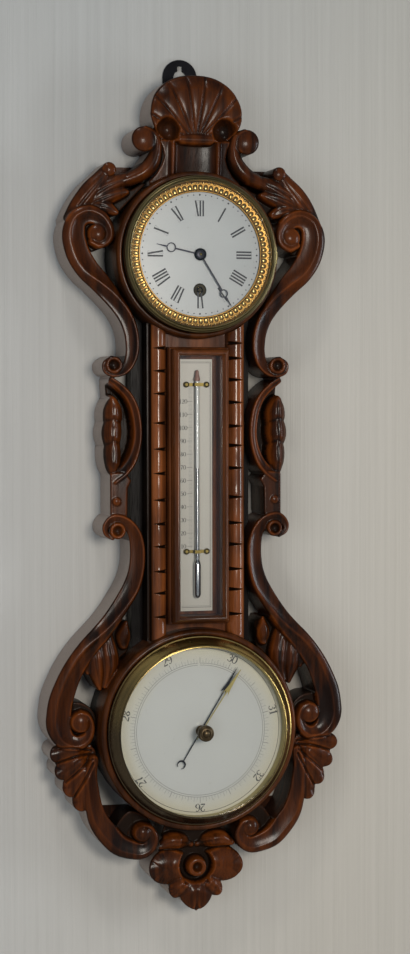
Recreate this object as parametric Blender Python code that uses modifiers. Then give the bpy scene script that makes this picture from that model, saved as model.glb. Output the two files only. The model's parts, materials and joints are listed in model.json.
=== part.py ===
"""A carved oak wall barometer: a clock above, a thermometer in the trunk and an aneroid barometer below.

Lengths are in metres. X runs to the right, Z up, and the case faces -Y with its back on the wall at Y = 0.
Shapes are drawn as (across, up, forward), where forward is the distance in front of the wall.
"""

import math

import bmesh
import bpy

# Fits
GAP = 0.0003
PIVOT_PLAY = 0.0001
OVERRUN = 0.004

# Case: the boards and the two dial rings, which the rest follows.
# The carver's module sets the heights of the dials and the points of the carving.
MODULE = 0.100
CLOCK_RISE_SHARE = 2.028
BAROMETER_DROP_SHARE = 2.368
CLOCK_Z = CLOCK_RISE_SHARE * MODULE
BAROMETER_Z = -BAROMETER_DROP_SHARE * MODULE
BACKBOARD_DEPTH = 0.020
CLOCK_RING_RADIUS = 0.077
CLOCK_RING_WALL = 0.0049
BAROMETER_RING_RADIUS = 0.094
BAROMETER_RING_WALL = 0.0056
PANEL_THICKNESS = 0.0177
PANEL_FRONT = BACKBOARD_DEPTH + GAP + PANEL_THICKNESS
CLOCK_RING_PROUD = 0.0140
CLOCK_RING_FRONT = PANEL_FRONT + CLOCK_RING_PROUD
BAROMETER_RING_PROUD = 0.0170
BAROMETER_RING_FRONT = PANEL_FRONT + BAROMETER_RING_PROUD
RING_STEPS = 32
RING_CROWN = 0.0035

# Trunk: the widths grow outward from the thermometer's scale
SCALE_HALF_WIDTH = 0.0153
SCALE_SIDE_MARGIN = 0.0054
FRAME_WIDTH = 0.0078
FRAME_HALF_WIDTH = SCALE_HALF_WIDTH + SCALE_SIDE_MARGIN + FRAME_WIDTH
PILASTER_RADIUS = 0.0083
PILASTER_INNER_MARGIN = 0.0007
PILASTER_CENTRE = FRAME_HALF_WIDTH + PILASTER_INNER_MARGIN + PILASTER_RADIUS
PILASTER_OUTER_MARGIN = 0.0002
PANEL_HALF_WIDTH = PILASTER_CENTRE + PILASTER_RADIUS + PILASTER_OUTER_MARGIN
TRUNK_SHOULDER = 0.0110
TRUNK_HALF_WIDTH = PANEL_HALF_WIDTH + TRUNK_SHOULDER

# Carving: its points are shares of the carver's module, drawn round rings and a trunk of these shares.
# A stretch is how much wider the real ring or trunk is, which moves the carving that frames it.
CLOCK_RING_SHARE = 0.77
BAROMETER_RING_SHARE = 0.94
TRUNK_SHARE = 0.57
CLOCK_STRETCH = CLOCK_RING_RADIUS - CLOCK_RING_SHARE * MODULE
BAROMETER_STRETCH = BAROMETER_RING_RADIUS - BAROMETER_RING_SHARE * MODULE
TRUNK_STRETCH = TRUNK_HALF_WIDTH - TRUNK_SHARE * MODULE
CARVING_PROUD = 0.0070
SCROLL_FRONT = PANEL_FRONT + CARVING_PROUD
LEAF_DROP = 0.0015
LEAF_FRONT = SCROLL_FRONT - LEAF_DROP
HUSK_RISE = 0.0010
HUSK_FRONT = SCROLL_FRONT + HUSK_RISE
FLOOR_DROP = 0.0090
FLOOR_FRONT = SCROLL_FRONT - FLOOR_DROP
LEAF_FLOOR_DROP = 0.0130
LEAF_FLOOR_FRONT = SCROLL_FRONT - LEAF_FLOOR_DROP
EYE_RISE = 0.0015
EYE_FRONT = SCROLL_FRONT + EYE_RISE
EYE_DOME = 0.003
DOME_SHOULDER_SHARES = (0.8, 0.35)

# Pilasters
PILASTER_PROUD = 0.0120
PILASTER_FRONT = PANEL_FRONT + PILASTER_PROUD
PILASTER_STEPS = 8
NOTCH_COUNT = 12
NOTCH_PITCH = 0.0230
NOTCH_HEIGHT = 0.0030
NOTCH_DEPTH = 0.0045
NOTCH_LENGTH = 0.0120

# Thermometer
FRAME_TOP_MARGIN = 0.0078
FRAME_BOTTOM_MARGIN = 0.0048
FRAME_TOP = CLOCK_Z - CLOCK_RING_RADIUS - FRAME_TOP_MARGIN
FRAME_BOTTOM = BAROMETER_Z + BAROMETER_RING_RADIUS + FRAME_BOTTOM_MARGIN
FRAME_PROUD = 0.0270
FRAME_FRONT = PANEL_FRONT + FRAME_PROUD
FRAME_CROWN = 0.0110
NOTCH_TOP = FRAME_TOP
SCALE_MARGIN = 0.0110
SCALE_TOP = FRAME_TOP - SCALE_MARGIN
SCALE_BOTTOM = FRAME_BOTTOM + SCALE_MARGIN
SCALE_THICKNESS = 0.0037
SCALE_FRONT = PANEL_FRONT + GAP + SCALE_THICKNESS
TUBE_TOP_MARGIN = 0.0105
TUBE_BOTTOM_MARGIN = 0.0120
TUBE_TOP = SCALE_TOP - TUBE_TOP_MARGIN
TUBE_BOTTOM = SCALE_BOTTOM + TUBE_BOTTOM_MARGIN
TUBE_RADIUS = 0.0020
TUBE_BORE = 0.0007
BULB_RADIUS = 0.0033
BULB_LENGTH = 0.0330
THREAD_RISE = 0.1210
THREAD_TOP = TUBE_BOTTOM + THREAD_RISE
CLIP_TOP_DROP = 0.0130
CLIP_BOTTOM_RISE = 0.0435
CLIP_TOP_Z = TUBE_TOP - CLIP_TOP_DROP
CLIP_BOTTOM_Z = TUBE_BOTTOM + CLIP_BOTTOM_RISE
CLIP_SIDE_MARGIN = 0.0028
CLIP_HALF_WIDTH = SCALE_HALF_WIDTH - CLIP_SIDE_MARGIN
CLIP_HEIGHT = 0.0030
CLIP_THICKNESS = 0.0006
ROSETTE_RADIUS = 0.0028
ROSETTE_HEIGHT = 0.0016
WINDOW_RECESS = 0.0060
WINDOW_FRONT = FRAME_FRONT - WINDOW_RECESS
WINDOW_THICKNESS = 0.0015

# Hanging plate
HANGER_OFFSET = -0.0045
HANGER_RISE = 0.0927
HANGER_Z = CLOCK_Z + CLOCK_RING_RADIUS + HANGER_RISE
HANGER_RADIUS = 0.0165
HANGER_TAIL = 0.0550
HANGER_THICKNESS = 0.0020
HANGER_EYE_RADIUS = 0.0062
HANGER_SLOT_HALF_WIDTH = 0.0024
HANGER_SLOT_RISE = 0.0105
HANGER_SCREW_RADIUS = 0.0026
HANGER_SCREW_LENGTH = 0.0180
HANGER_SCREW_PITCH = 0.0150

# Clock: radii follow the oak ring's bore, and depths follow its front
MOUNT_RING_RADIUS = CLOCK_RING_RADIUS - CLOCK_RING_WALL - GAP
MOUNT_RING_PROUD = 0.0040
MOUNT_RING_DEPTH = 0.0110
MOUNT_RING_FRONT = CLOCK_RING_FRONT + MOUNT_RING_PROUD
MOUNT_RING_BACK = MOUNT_RING_FRONT - MOUNT_RING_DEPTH
MOUNT_RING_WIDTH = 0.0096
MOUNT_RING_BORE = MOUNT_RING_RADIUS - MOUNT_RING_WIDTH
MOUNT_SHELF_WIDTH = 0.0062
MOUNT_RING_SEAT = MOUNT_RING_BORE - MOUNT_SHELF_WIDTH
MOUNT_FLANGE_WIDTH = 0.0058
DRUM_RADIUS = MOUNT_RING_RADIUS - MOUNT_FLANGE_WIDTH
DRUM_WALL = 0.0010
DRUM_BACK = 0.0045
BEZEL_FACE_WIDTH = 0.0046
BEZEL_LIP_RADIUS = MOUNT_RING_RADIUS - BEZEL_FACE_WIDTH
BEZEL_DEPTH = 0.0102
BEZEL_FRONT = MOUNT_RING_FRONT + BEZEL_DEPTH
BEZEL_WALL = 0.0016
BEZEL_ROLL_DEPTH = 0.0035
BEZEL_ROLL_WIDTH = 0.0028
BEZEL_SHOULDER = 0.0012
BEZEL_LIP_DROP = 0.0015
CLOCK_GLASS_THICKNESS = 0.0018
CLOCK_GLASS_RECESS = 0.0030
CLOCK_GLASS_FRONT = BEZEL_FRONT - CLOCK_GLASS_RECESS
SIGHT_WIDTH = 0.0102
SIGHT_RADIUS = BEZEL_LIP_RADIUS - SIGHT_WIDTH
SIGHT_SEAT_RISE = 0.0006
SIGHT_LIP_HEIGHT = 0.0008
SIGHT_LIP_WIDTH = 0.0005
SIGHT_RIM_WIDTH = 0.0040
DIAL_PLAY = 0.0004
DIAL_RADIUS = MOUNT_RING_BORE - DIAL_PLAY
DIAL_FRONT = MOUNT_RING_FRONT + GAP
DIAL_THICKNESS = 0.0013
DIAL_FOOT_MARGIN = 0.0060
DIAL_FOOT_CIRCLE = MOUNT_RING_SEAT - DIAL_FOOT_MARGIN
DIAL_FOOT_RADIUS = 0.0012
DIAL_CENTRE_HOLE = 0.0034
BARREL_TEETH = 36
CENTRE_PINION_LEAVES = 6
BARREL_TOOTH_SHARE = 0.8
BARREL_MARGIN = 0.0030
BARREL_REACH_SHARE = 1 + (BARREL_TEETH + 2 * BARREL_TOOTH_SHARE) / (BARREL_TEETH + CENTRE_PINION_LEAVES)
WINDING_DROP = (DRUM_RADIUS - DRUM_WALL - BARREL_MARGIN) / BARREL_REACH_SHARE
WINDING_HOLE = 0.0063
HOUR_HAND_ANGLE = 282.3
MINUTE_HAND_ANGLE = 148.1
HOUR_HAND_MARGIN = 0.0150
MINUTE_HAND_MARGIN = 0.0010
HOUR_HAND_LENGTH = SIGHT_RADIUS - HOUR_HAND_MARGIN
MINUTE_HAND_LENGTH = SIGHT_RADIUS - MINUTE_HAND_MARGIN
HAND_THICKNESS = 0.0006
HOUR_HAND_LIFT = 0.0009
MINUTE_HAND_LIFT = 0.0007
HOUR_HAND_BACK = DIAL_FRONT + HOUR_HAND_LIFT
MINUTE_HAND_BACK = HOUR_HAND_BACK + HAND_THICKNESS + MINUTE_HAND_LIFT
HAND_TIP_LENGTH = 0.0140
HOUR_RING_AT = HOUR_HAND_LENGTH - HAND_TIP_LENGTH
HOUR_RING_RADIUS = 0.0045
MINUTE_RING_AT = MINUTE_HAND_LENGTH - HAND_TIP_LENGTH
MINUTE_RING_RADIUS = 0.0039
HAND_HALF_WIDTH = 0.0007
HAND_RING_WIDTH = 0.0009
HAND_TIP_SHARE = 1.6
HOUR_BOSS_RADIUS = 0.0057
MINUTE_BOSS_RADIUS = 0.0042
HINGE_STAND_OFF = 0.0018
HINGE_OFFSET = MOUNT_RING_RADIUS + HINGE_STAND_OFF
HINGE_LIFT = 0.0004
HINGE_FORWARD = MOUNT_RING_FRONT + HINGE_LIFT
HINGE_PIN_RADIUS = 0.0007
HINGE_KNUCKLE_RADIUS = 0.0016
HINGE_KNUCKLE_LENGTH = 0.0060
HINGE_REACH_SHARE = 1.3

# Clock movement
PLATE_THICKNESS = 0.0020
FRONT_PLATE_DROP = 0.0060
FRONT_PLATE_FRONT = MOUNT_RING_FRONT - FRONT_PLATE_DROP
PLATE_SPACING = 0.0260
BACK_PLATE_FRONT = FRONT_PLATE_FRONT - PLATE_SPACING
BACK_PLATE_SHARE = 6 / 7
BACK_PLATE_RADIUS = MOUNT_RING_SEAT * BACK_PLATE_SHARE
PILLAR_MARGIN = 0.0040
PILLAR_CIRCLE = BACK_PLATE_RADIUS - PILLAR_MARGIN
PILLAR_RADIUS = 0.0025
PILLAR_ANGLES = (60, 120, 200, 340)
ARBOR_RADIUS = 0.0010
PIVOT_RADIUS = 0.0006
WHEEL_THICKNESS = 0.0012
BARREL_DROP = 0.0054
BARREL_DEPTH = 0.0116
BARREL_FRONT = FRONT_PLATE_FRONT - BARREL_DROP
BARREL_BACK = BARREL_FRONT - BARREL_DEPTH
BARREL_WALL = 0.0010
TOOTH_ROOT_SHARE = 1.3
WHEEL_TIP_SHARE = 0.9
LEAF_TIP_SHARE = 0.7
CENTRE_TEETH = 48
THIRD_PINION_LEAVES = 6
CENTRE_MODULE_SHARE = 1 / 70
CENTRE_MODULE = MOUNT_RING_SEAT * CENTRE_MODULE_SHARE
CENTRE_WHEEL_DROP = 0.0042
CENTRE_WHEEL_BACK = BARREL_BACK - CENTRE_WHEEL_DROP
THIRD_TEETH = 45
FOURTH_PINION_LEAVES = 6
THIRD_MODULE_SHARE = 0.825
THIRD_MODULE = CENTRE_MODULE * THIRD_MODULE_SHARE
THIRD_WHEEL_DROP = 0.0120
THIRD_WHEEL_BACK = FRONT_PLATE_FRONT - THIRD_WHEEL_DROP
THIRD_ARBOR_ANGLE = 150.0
FOURTH_ARBOR_ANGLE = 50.0
FOURTH_WHEEL_SHARE = 12.5
FOURTH_WHEEL_RADIUS = CENTRE_MODULE * FOURTH_WHEEL_SHARE
FOURTH_WHEEL_DROP = 0.0065
FOURTH_WHEEL_BACK = FRONT_PLATE_FRONT - FOURTH_WHEEL_DROP
CROWN_HEIGHT = 0.0015
CROWN_WIDTH = 0.0010
PINION_LENGTH = 0.0040
CANNON_TEETH = 8
MINUTE_WHEEL_TEETH = 24
MINUTE_PINION_LEAVES = 8
HOUR_WHEEL_TEETH = 32
MOTION_DISTANCE = 0.0120
MOTION_ANGLE = 20.0
CANNON_WHEEL_BACK = FRONT_PLATE_FRONT + GAP
HOUR_WHEEL_LIFT = 0.0017
HOUR_WHEEL_BACK = CANNON_WHEEL_BACK + HOUR_WHEEL_LIFT
MOTION_THICKNESS = 0.0010
CENTRE_ARBOR_RADIUS = 0.0016
HOUR_PIPE_BORE = 0.0020
HOUR_PIPE_RADIUS = 0.0027
WINDING_ARBOR_RADIUS = 0.0022
WINDING_ARBOR_PROUD = 0.0005
WINDING_ARBOR_FRONT = DIAL_FRONT + WINDING_ARBOR_PROUD
SPRING_TURNS = 3
SPRING_STEPS = 16
SPRING_INNER = 0.0090
SPRING_THICKNESS = 0.0006
SPRING_HEIGHT = 0.0080
SPRING_LIFT = 0.0022
SPRING_BACK = BARREL_BACK + SPRING_LIFT
PLATFORM_RISE_SHARE = 45
PLATFORM_RISE = CENTRE_MODULE * PLATFORM_RISE_SHARE
PLATFORM_WIDTH_SHARE = 11.875
PLATFORM_HALF_WIDTH = CENTRE_MODULE * PLATFORM_WIDTH_SHARE
PLATFORM_THICKNESS = 0.0020
COCK_RISE = 0.0070
COCK_POST = 0.0030
BALANCE_PLAY = 0.0007
BALANCE_RADIUS = (PLATE_SPACING - PLATE_THICKNESS) / 2 - GAP - COCK_POST - BALANCE_PLAY
BALANCE_RIM = 0.0008
BALANCE_RISE = 0.0030

# Barometer: radii follow the oak ring's bore, and depths follow its front
BARO_BEZEL_RADIUS = BAROMETER_RING_RADIUS - BAROMETER_RING_WALL - GAP
BARO_FLANGE_RADIUS = BARO_BEZEL_RADIUS - PIVOT_PLAY
BARO_FLANGE_WIDTH = 0.0040
BARO_FLANGE_DROP = 0.0038
BARO_FLANGE_THICKNESS = 0.0012
BARO_FLANGE_FRONT = BAROMETER_RING_FRONT - BARO_FLANGE_DROP
BARO_FLANGE_BACK = BARO_FLANGE_FRONT - BARO_FLANGE_THICKNESS
BARO_CASE_RADIUS = BARO_FLANGE_RADIUS - BARO_FLANGE_WIDTH
BARO_CASE_WALL = 0.0010
BARO_CASE_BACK = 0.0070
BARO_CHEEK_WIDTH = 0.0079
BARO_GLASS_RADIUS = BARO_BEZEL_RADIUS - BARO_CHEEK_WIDTH
BARO_GLASS_LAP = 0.0017
BARO_LIP_RADIUS = BARO_GLASS_RADIUS - BARO_GLASS_LAP
BARO_BEZEL_FOOT_WIDTH = 0.0030
BARO_BEZEL_CROWN = 0.0090
BARO_LIP_WIDTH = 0.0010
BARO_LIP_DROP = 0.0012
BARO_DIAL_LIFT = 0.0028
BARO_DIAL_PLAY = 0.0004
BARO_DIAL_RADIUS = BARO_CASE_RADIUS - BARO_CASE_WALL - BARO_DIAL_PLAY
BARO_DIAL_FRONT = BARO_FLANGE_FRONT + BARO_DIAL_LIFT
BARO_DIAL_THICKNESS = 0.0010
BARO_DIAL_HOLE = 0.0022
INDICATOR_LIFT = 0.0030
SET_HAND_LIFT = 0.0032
INDICATOR_BACK = BARO_DIAL_FRONT + INDICATOR_LIFT
SET_HAND_BACK = INDICATOR_BACK + SET_HAND_LIFT
BARO_GLASS_LIFT = 0.0038
BARO_GLASS_BACK = SET_HAND_BACK + BARO_GLASS_LIFT
BARO_GLASS_THICKNESS = 0.0020
BARO_GLASS_HOLE = 0.0022
BARO_BEZEL_LIFT = 0.0050
BARO_BEZEL_FRONT = BARO_GLASS_BACK + BARO_BEZEL_LIFT
INDICATOR_ANGLE = 34.2
SET_HAND_ANGLE = 32.1
BARO_HAND_MARGIN = 0.0105
BARO_HAND_LENGTH = BARO_LIP_RADIUS - BARO_HAND_MARGIN
BARO_HAND_TAIL = 0.0364
BARO_BARB_FROM_TIP = 0.0240
BARO_BARB_AT = BARO_HAND_LENGTH - BARO_BARB_FROM_TIP
BARO_BARB_SPREAD = 0.0046
BARO_CRESCENT_RADIUS = 0.0044
CRESCENT_BORE_SHARE = 0.80
CRESCENT_DROP_SHARE = 0.25
BARO_HAND_HALF_WIDTH = 0.0009
BARO_BOSS_RADIUS = 0.0050
SET_KNOB_RADIUS = 0.0075
SET_KNOB_LIFT = 0.0006
SET_KNOB_HEIGHT = 0.0119
SET_KNOB_BACK = BARO_GLASS_BACK + BARO_GLASS_THICKNESS + SET_KNOB_LIFT
KNOB_SECTION_SHARES = ((0.55, 0.0), (0.5, 0.25), (1.0, 0.46), (1.0, 0.83), (0.8, 1.0), (0.0, 1.0))
SET_STEM_RADIUS = 0.0019
BASE_PLATE_SHARE = 2 / 3
BASE_PLATE_RADIUS = BARO_CASE_RADIUS * BASE_PLATE_SHARE
BASE_PLATE_BACK = BARO_CASE_BACK + BARO_CASE_WALL + GAP
BRIDGE_DROP = 0.0040
BRIDGE_BACK = BARO_FLANGE_BACK - BRIDGE_DROP
BRIDGE_THICKNESS = 0.0015
BRIDGE_MARGIN = 0.0110
BRIDGE_HALF_LENGTH = BASE_PLATE_RADIUS - BRIDGE_MARGIN
BRIDGE_HALF_WIDTH = 0.0060
BRIDGE_POST_RADIUS = 0.0028
HAND_ARBOR_RADIUS = 0.0012
PULLEY_DROP = 0.0050
PULLEY_RADIUS = 0.0026
PULLEY_BACK = BRIDGE_BACK - PULLEY_DROP
PULLEY_HEIGHT = 0.0020
C_SPRING_DROP = 0.0078
C_SPRING_REACH = 0.0320
C_SPRING_HALF_WIDTH = 0.0110
C_SPRING_THICKNESS = 0.0012
C_SPRING_FRONT = PULLEY_BACK - C_SPRING_DROP
CAPSULE_RADIUS = 0.0240
CAPSULE_DROP = 0.0062
CAPSULE_DEPTH = 0.0110
CAPSULE_FRONT = C_SPRING_FRONT - CAPSULE_DROP
CAPSULE_BACK = CAPSULE_FRONT - CAPSULE_DEPTH
CAPSULE_RIDGES = 2
CAPSULE_RIDGE_HEIGHT = 0.0008
CAPSULE_POST_RADIUS = 0.0030
LEVER_HALF_WIDTH = 0.0015
LEVER_THICKNESS = 0.0015
ROCKER_MARGIN = 0.0130
ROCKER_ACROSS = BASE_PLATE_RADIUS - ROCKER_MARGIN
LEVER_END_MARGIN = 0.0050
LEVER_END = ROCKER_ACROSS - LEVER_END_MARGIN
ROCKER_DROP = 0.0065
ROCKER_FORWARD = PULLEY_BACK - ROCKER_DROP
ROCKER_RADIUS = 0.0014
ROCKER_HALF_LENGTH = 0.0170
ROCKER_ARM = 0.0085
ROCKER_POST_RADIUS = 0.0024
CHAIN_RADIUS = 0.0005
CHAIN_RISE = 0.0040

# Teeth: the wheels' come to a point, and the pinions' leaves are blunt
WHEEL_TOOTH_SHARES = ((0.0, -0.27), (1.0, 0.0), (0.0, 0.27))
LEAF_TOOTH_SHARES = ((0.0, -0.20), (1.0, -0.06), (1.0, 0.06), (0.0, 0.20))

# Section of a scroll: (share of the width, share of the rise), a hollow between two rims
SCROLL_SECTION_SHARES = ((-0.5, 0.85), (-0.34, 1.0), (0.0, 0.93), (0.34, 1.0), (0.5, 0.85))
LEAF_SECTION_SHARES = ((-0.5, 0.84), (-0.2, 1.0), (0.2, 1.0), (0.5, 0.84))

# Section of the thermometer's frame: (share of the width, share of the crown below the front)
FRAME_SECTION_SHARES = ((0.0, 1.0), (0.3, 0.73), (0.5, 0.18), (0.7, 0.0), (0.92, 0.11), (1.0, 0.36))

# Section of the barometer's bezel: (share of the width, share of the crown below the front), cheek to lip
BEZEL_SECTION_SHARES = ((0.0, 1.0), (0.16, 0.78), (0.31, 0.39), (0.62, 0.09))

# Where a carving follows its ring: wholly up to the first height and not at all from the second
UPPER_BLEND_SHARES = (-0.65, -0.95)
LOWER_BLEND_SHARES = (1.20, 1.75)
TRUNK_BLEND_SHARES = (-8.0, -6.0)
RING_BLEND_SHARES = (6.0, 8.0)

# The frames that carvings are drawn in: (datum height, stretch, blend)
UPPER_FRAME = (CLOCK_Z, CLOCK_STRETCH, UPPER_BLEND_SHARES)
LOWER_FRAME = (BAROMETER_Z, BAROMETER_STRETCH, LOWER_BLEND_SHARES)
TRUNK_FRAME = (0.0, 0.0, TRUNK_BLEND_SHARES)
CREST_FRAME = (CLOCK_Z + CLOCK_STRETCH, 0.0, RING_BLEND_SHARES)
PENDANT_FRAME = (BAROMETER_Z - BAROMETER_STRETCH, 0.0, RING_BLEND_SHARES)

# Scroll paths: (across, up, width) as shares of the module, from the clock centre
UPPER_SCROLL_SHARES = (
    (0.805, -0.95, 0.04), (0.86, -1.03, 0.055), (0.79, -1.09, 0.07), (0.68, -1.05, 0.09),
    (0.615, -0.94, 0.115), (0.605, -0.80, 0.13), (0.645, -0.63, 0.137), (0.735, -0.47, 0.15),
    (0.865, -0.31, 0.17), (1.00, -0.17, 0.19), (1.10, -0.04, 0.20), (1.16, 0.13, 0.195),
    (1.13, 0.315, 0.155), (1.02, 0.38, 0.125), (0.89, 0.32, 0.10), (0.84, 0.20, 0.08),
    (0.88, 0.11, 0.07), (0.98, 0.11, 0.05))
TOP_SCROLL_SHARES = (
    (0.47, 1.15, 0.06), (0.395, 1.105, 0.08), (0.365, 1.01, 0.09), (0.385, 0.90, 0.13),
    (0.44, 0.805, 0.15), (0.52, 0.74, 0.14), (0.62, 0.695, 0.13), (0.72, 0.66, 0.10))
UPPER_LEAF_SHARES = (
    ((1.17, 0.33, 0.10), (1.08, 0.455, 0.12), (0.97, 0.575, 0.13), (0.87, 0.675, 0.12),
     (0.805, 0.755, 0.08), (0.775, 0.805, 0.03)),
    ((1.08, 0.44, 0.08), (0.94, 0.54, 0.12), (0.80, 0.62, 0.12), (0.68, 0.68, 0.11), (0.58, 0.71, 0.09)),
    ((1.04, 0.43, 0.08), (0.92, 0.49, 0.10), (0.80, 0.54, 0.10), (0.70, 0.575, 0.08), (0.65, 0.58, 0.03)),
    ((1.00, 0.44, 0.07), (0.92, 0.45, 0.09), (0.84, 0.43, 0.08), (0.77, 0.38, 0.03)))
UPPER_FLOOR_SHARES = (
    (1.12, 0.40), (1.00, 0.57), (0.84, 0.72), (0.60, 0.74), (0.50, 0.80), (0.42, 0.92),
    (0.36, 0.90), (0.36, 0.70), (0.62, 0.50), (0.75, 0.36), (0.90, 0.32))
UPPER_EYE_SHARES = (0.943, 0.17, 0.09)
UPPER_BED_SHARES = (1.00, 0.21, 0.19)
UPPER_CURL_SHARES = (0.785, -1.015, 0.08)
TOP_BALL_SHARES = (0.493, 1.058, 0.115)

# The husk and its strap, from the middle of the trunk
STRAP_SHARES = (
    (0.83, 0.93, 0.07), (0.72, 0.83, 0.075), (0.60, 0.66, 0.08), (0.555, 0.48, 0.08), (0.56, 0.32, 0.08),
    (0.60, 0.165, 0.09), (0.68, 0.045, 0.10), (0.77, -0.03, 0.09))
HUSK_SHARES = (
    ((0.80, 0.73, 0.02), (0.79, 0.66, 0.11), (0.785, 0.58, 0.18), (0.785, 0.50, 0.17),
     (0.79, 0.45, 0.10)),
    ((0.79, 0.54, 0.10), (0.79, 0.46, 0.17), (0.795, 0.38, 0.19), (0.795, 0.29, 0.14),
     (0.795, 0.25, 0.08)),
    ((0.79, 0.32, 0.09), (0.79, 0.24, 0.16), (0.79, 0.15, 0.16), (0.79, 0.06, 0.11), (0.79, -0.01, 0.05)))
HUSK_FLOOR_SHARES = (
    (0.79, 0.88), (0.60, 0.66), (0.555, 0.48), (0.555, 0.34), (0.60, 0.14), (0.72, 0.00),
    (0.82, 0.00), (0.83, 0.30), (0.83, 0.55), (0.81, 0.72))
BLOCK_SHARES = (
    (0.82, 0.02), (0.82, -0.39), (0.66, -0.39), (0.655, -0.12), (0.62, -0.04), (0.68, 0.04))
BLOCK_DROP = 0.0020
BLOCK_FRONT = SCROLL_FRONT - BLOCK_DROP
PLUG_SHARES = (0.76, -0.24, 0.035)
PLUG_RISE = 0.0015
PLUG_FRONT = BLOCK_FRONT + PLUG_RISE

# The lower carving, from the barometer centre
LOWER_SCROLL_SHARES = (
    (0.80, 1.788, 0.03), (0.865, 1.86, 0.05), (0.845, 1.94, 0.065), (0.74, 1.965, 0.085),
    (0.64, 1.903, 0.11), (0.575, 1.78, 0.13), (0.563, 1.62, 0.143), (0.59, 1.42, 0.152),
    (0.66, 1.26, 0.16), (0.76, 1.108, 0.16), (0.88, 0.95, 0.17), (1.02, 0.798, 0.18),
    (1.14, 0.63, 0.195), (1.24, 0.438, 0.215), (1.295, 0.25, 0.232), (1.31, 0.078, 0.23),
    (1.255, -0.045, 0.19), (1.125, -0.092, 0.13), (1.03, -0.025, 0.095), (1.015, 0.09, 0.07),
    (1.09, 0.178, 0.05))
LOWER_CURL_SHARES = (0.755, 1.858, 0.075)
LOWER_EYE_SHARES = (1.105, 0.103, 0.095)
LOWER_BED_SHARES = (1.14, 0.08, 0.20)
BUD_SHARES = (((0.66, 1.01, 0.03), (0.67, 0.938, 0.07), (0.675, 0.858, 0.12), (0.675, 0.798, 0.07)),)
INNER_LEAF_SHARES = (
    ((1.00, 0.848, 0.10), (1.04, 0.738, 0.13), (1.05, 0.638, 0.11), (1.04, 0.558, 0.04)),
    ((0.93, 0.868, 0.10), (0.95, 0.728, 0.14), (0.945, 0.588, 0.13), (0.935, 0.468, 0.08),
     (0.925, 0.398, 0.03)),
    ((0.84, 0.898, 0.09), (0.845, 0.768, 0.13), (0.83, 0.638, 0.11), (0.84, 0.508, 0.08),
     (0.87, 0.398, 0.03)))
INNER_FLOOR_SHARES = (
    (0.62, 1.20), (0.74, 1.10), (0.90, 0.90), (1.04, 0.74), (1.06, 0.58), (0.94, 0.42),
    (0.84, 0.45), (0.70, 0.60), (0.56, 0.72), (0.56, 1.10))
FAN_SHARES = (
    ((1.03, -0.14, 0.08), (1.18, -0.17, 0.12), (1.30, -0.187, 0.12), (1.375, -0.19, 0.06)),
    ((1.02, -0.18, 0.08), (1.15, -0.25, 0.12), (1.26, -0.32, 0.12), (1.33, -0.36, 0.06)),
    ((1.01, -0.22, 0.08), (1.11, -0.33, 0.12), (1.20, -0.44, 0.12), (1.26, -0.51, 0.05)),
    ((1.00, -0.25, 0.08), (1.07, -0.39, 0.12), (1.13, -0.54, 0.13), (1.18, -0.65, 0.06)),
    ((0.99, -0.27, 0.08), (1.025, -0.43, 0.11), (1.06, -0.59, 0.13), (1.09, -0.71, 0.07)))
FAN_FLOOR_SHARES = (
    (0.96, -0.08), (1.28, -0.10), (1.33, -0.22), (1.27, -0.37), (1.19, -0.51), (1.09, -0.66),
    (0.98, -0.60), (0.92, -0.35))
FOOT_SCROLL_SHARES = (
    (0.98, -0.25, 0.08), (1.01, -0.42, 0.12), (0.995, -0.60, 0.15), (0.935, -0.825, 0.185),
    (0.82, -0.99, 0.20), (0.65, -1.10, 0.175), (0.50, -1.115, 0.145), (0.415, -1.00, 0.09),
    (0.45, -0.925, 0.07), (0.51, -0.895, 0.05))
FOOT_EYE_SHARES = (0.521, -0.95, 0.08)
FOOT_BED_SHARES = (0.52, -0.99, 0.13)
FOOT_FLOOR_SHARES = (
    (0.75, -0.86), (0.62, -0.74), (0.46, -0.80), (0.40, -0.90), (0.44, -1.05), (0.62, -1.07),
    (0.78, -0.98))

# The crest, from the clock centre
SHELL_OUTLINE_SHARES = (
    (0.0, 1.655), (0.10, 1.65), (0.20, 1.625), (0.30, 1.57), (0.38, 1.485), (0.425, 1.38),
    (0.435, 1.27), (0.41, 1.18), (0.36, 1.10), (0.24, 1.03), (0.0, 1.03))
SHELL_ROOT_SHARES = (0.0, 1.08)
SHELL_RIBS = 9
SHELL_SPREAD = 82.0
SHELL_RIB_SHARES = ((0.09, 0.05, 0.86), (0.30, 0.11, 0.96), (0.66, 0.15, 1.0), (0.94, 0.155, 0.90))
SHELL_REACH_SHARES = (0.435, 0.575)
SHELL_RISE = 0.0030
SHELL_FRONT = SCROLL_FRONT + SHELL_RISE
SHELL_FLOOR_DROP = 0.0110
SHELL_FLOOR_FRONT = SHELL_FRONT - SHELL_FLOOR_DROP
SHELL_CURL_SHARES = (0.240, 1.130, 0.105)
SHELL_HUB_SHARES = (0.0, 1.10, 0.095)
SHELL_HUB_FRONT = SCROLL_FRONT
SHELL_HUB_STEPS = 18
NECK_SHARES = (
    (0.0, 1.06), (0.25, 1.06), (0.225, 0.98), (0.235, 0.90), (0.27, 0.83), (0.31, 0.77),
    (0.31, 0.60), (0.0, 0.60))
NECK_DROP = 0.0050
NECK_FRONT = SCROLL_FRONT - NECK_DROP
CREST_PLAY = 0.0004
CREST_BACK = HANGER_THICKNESS + CREST_PLAY
TOP_CLEAR_SHARES = (0.495, 1.058, 0.176)

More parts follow.
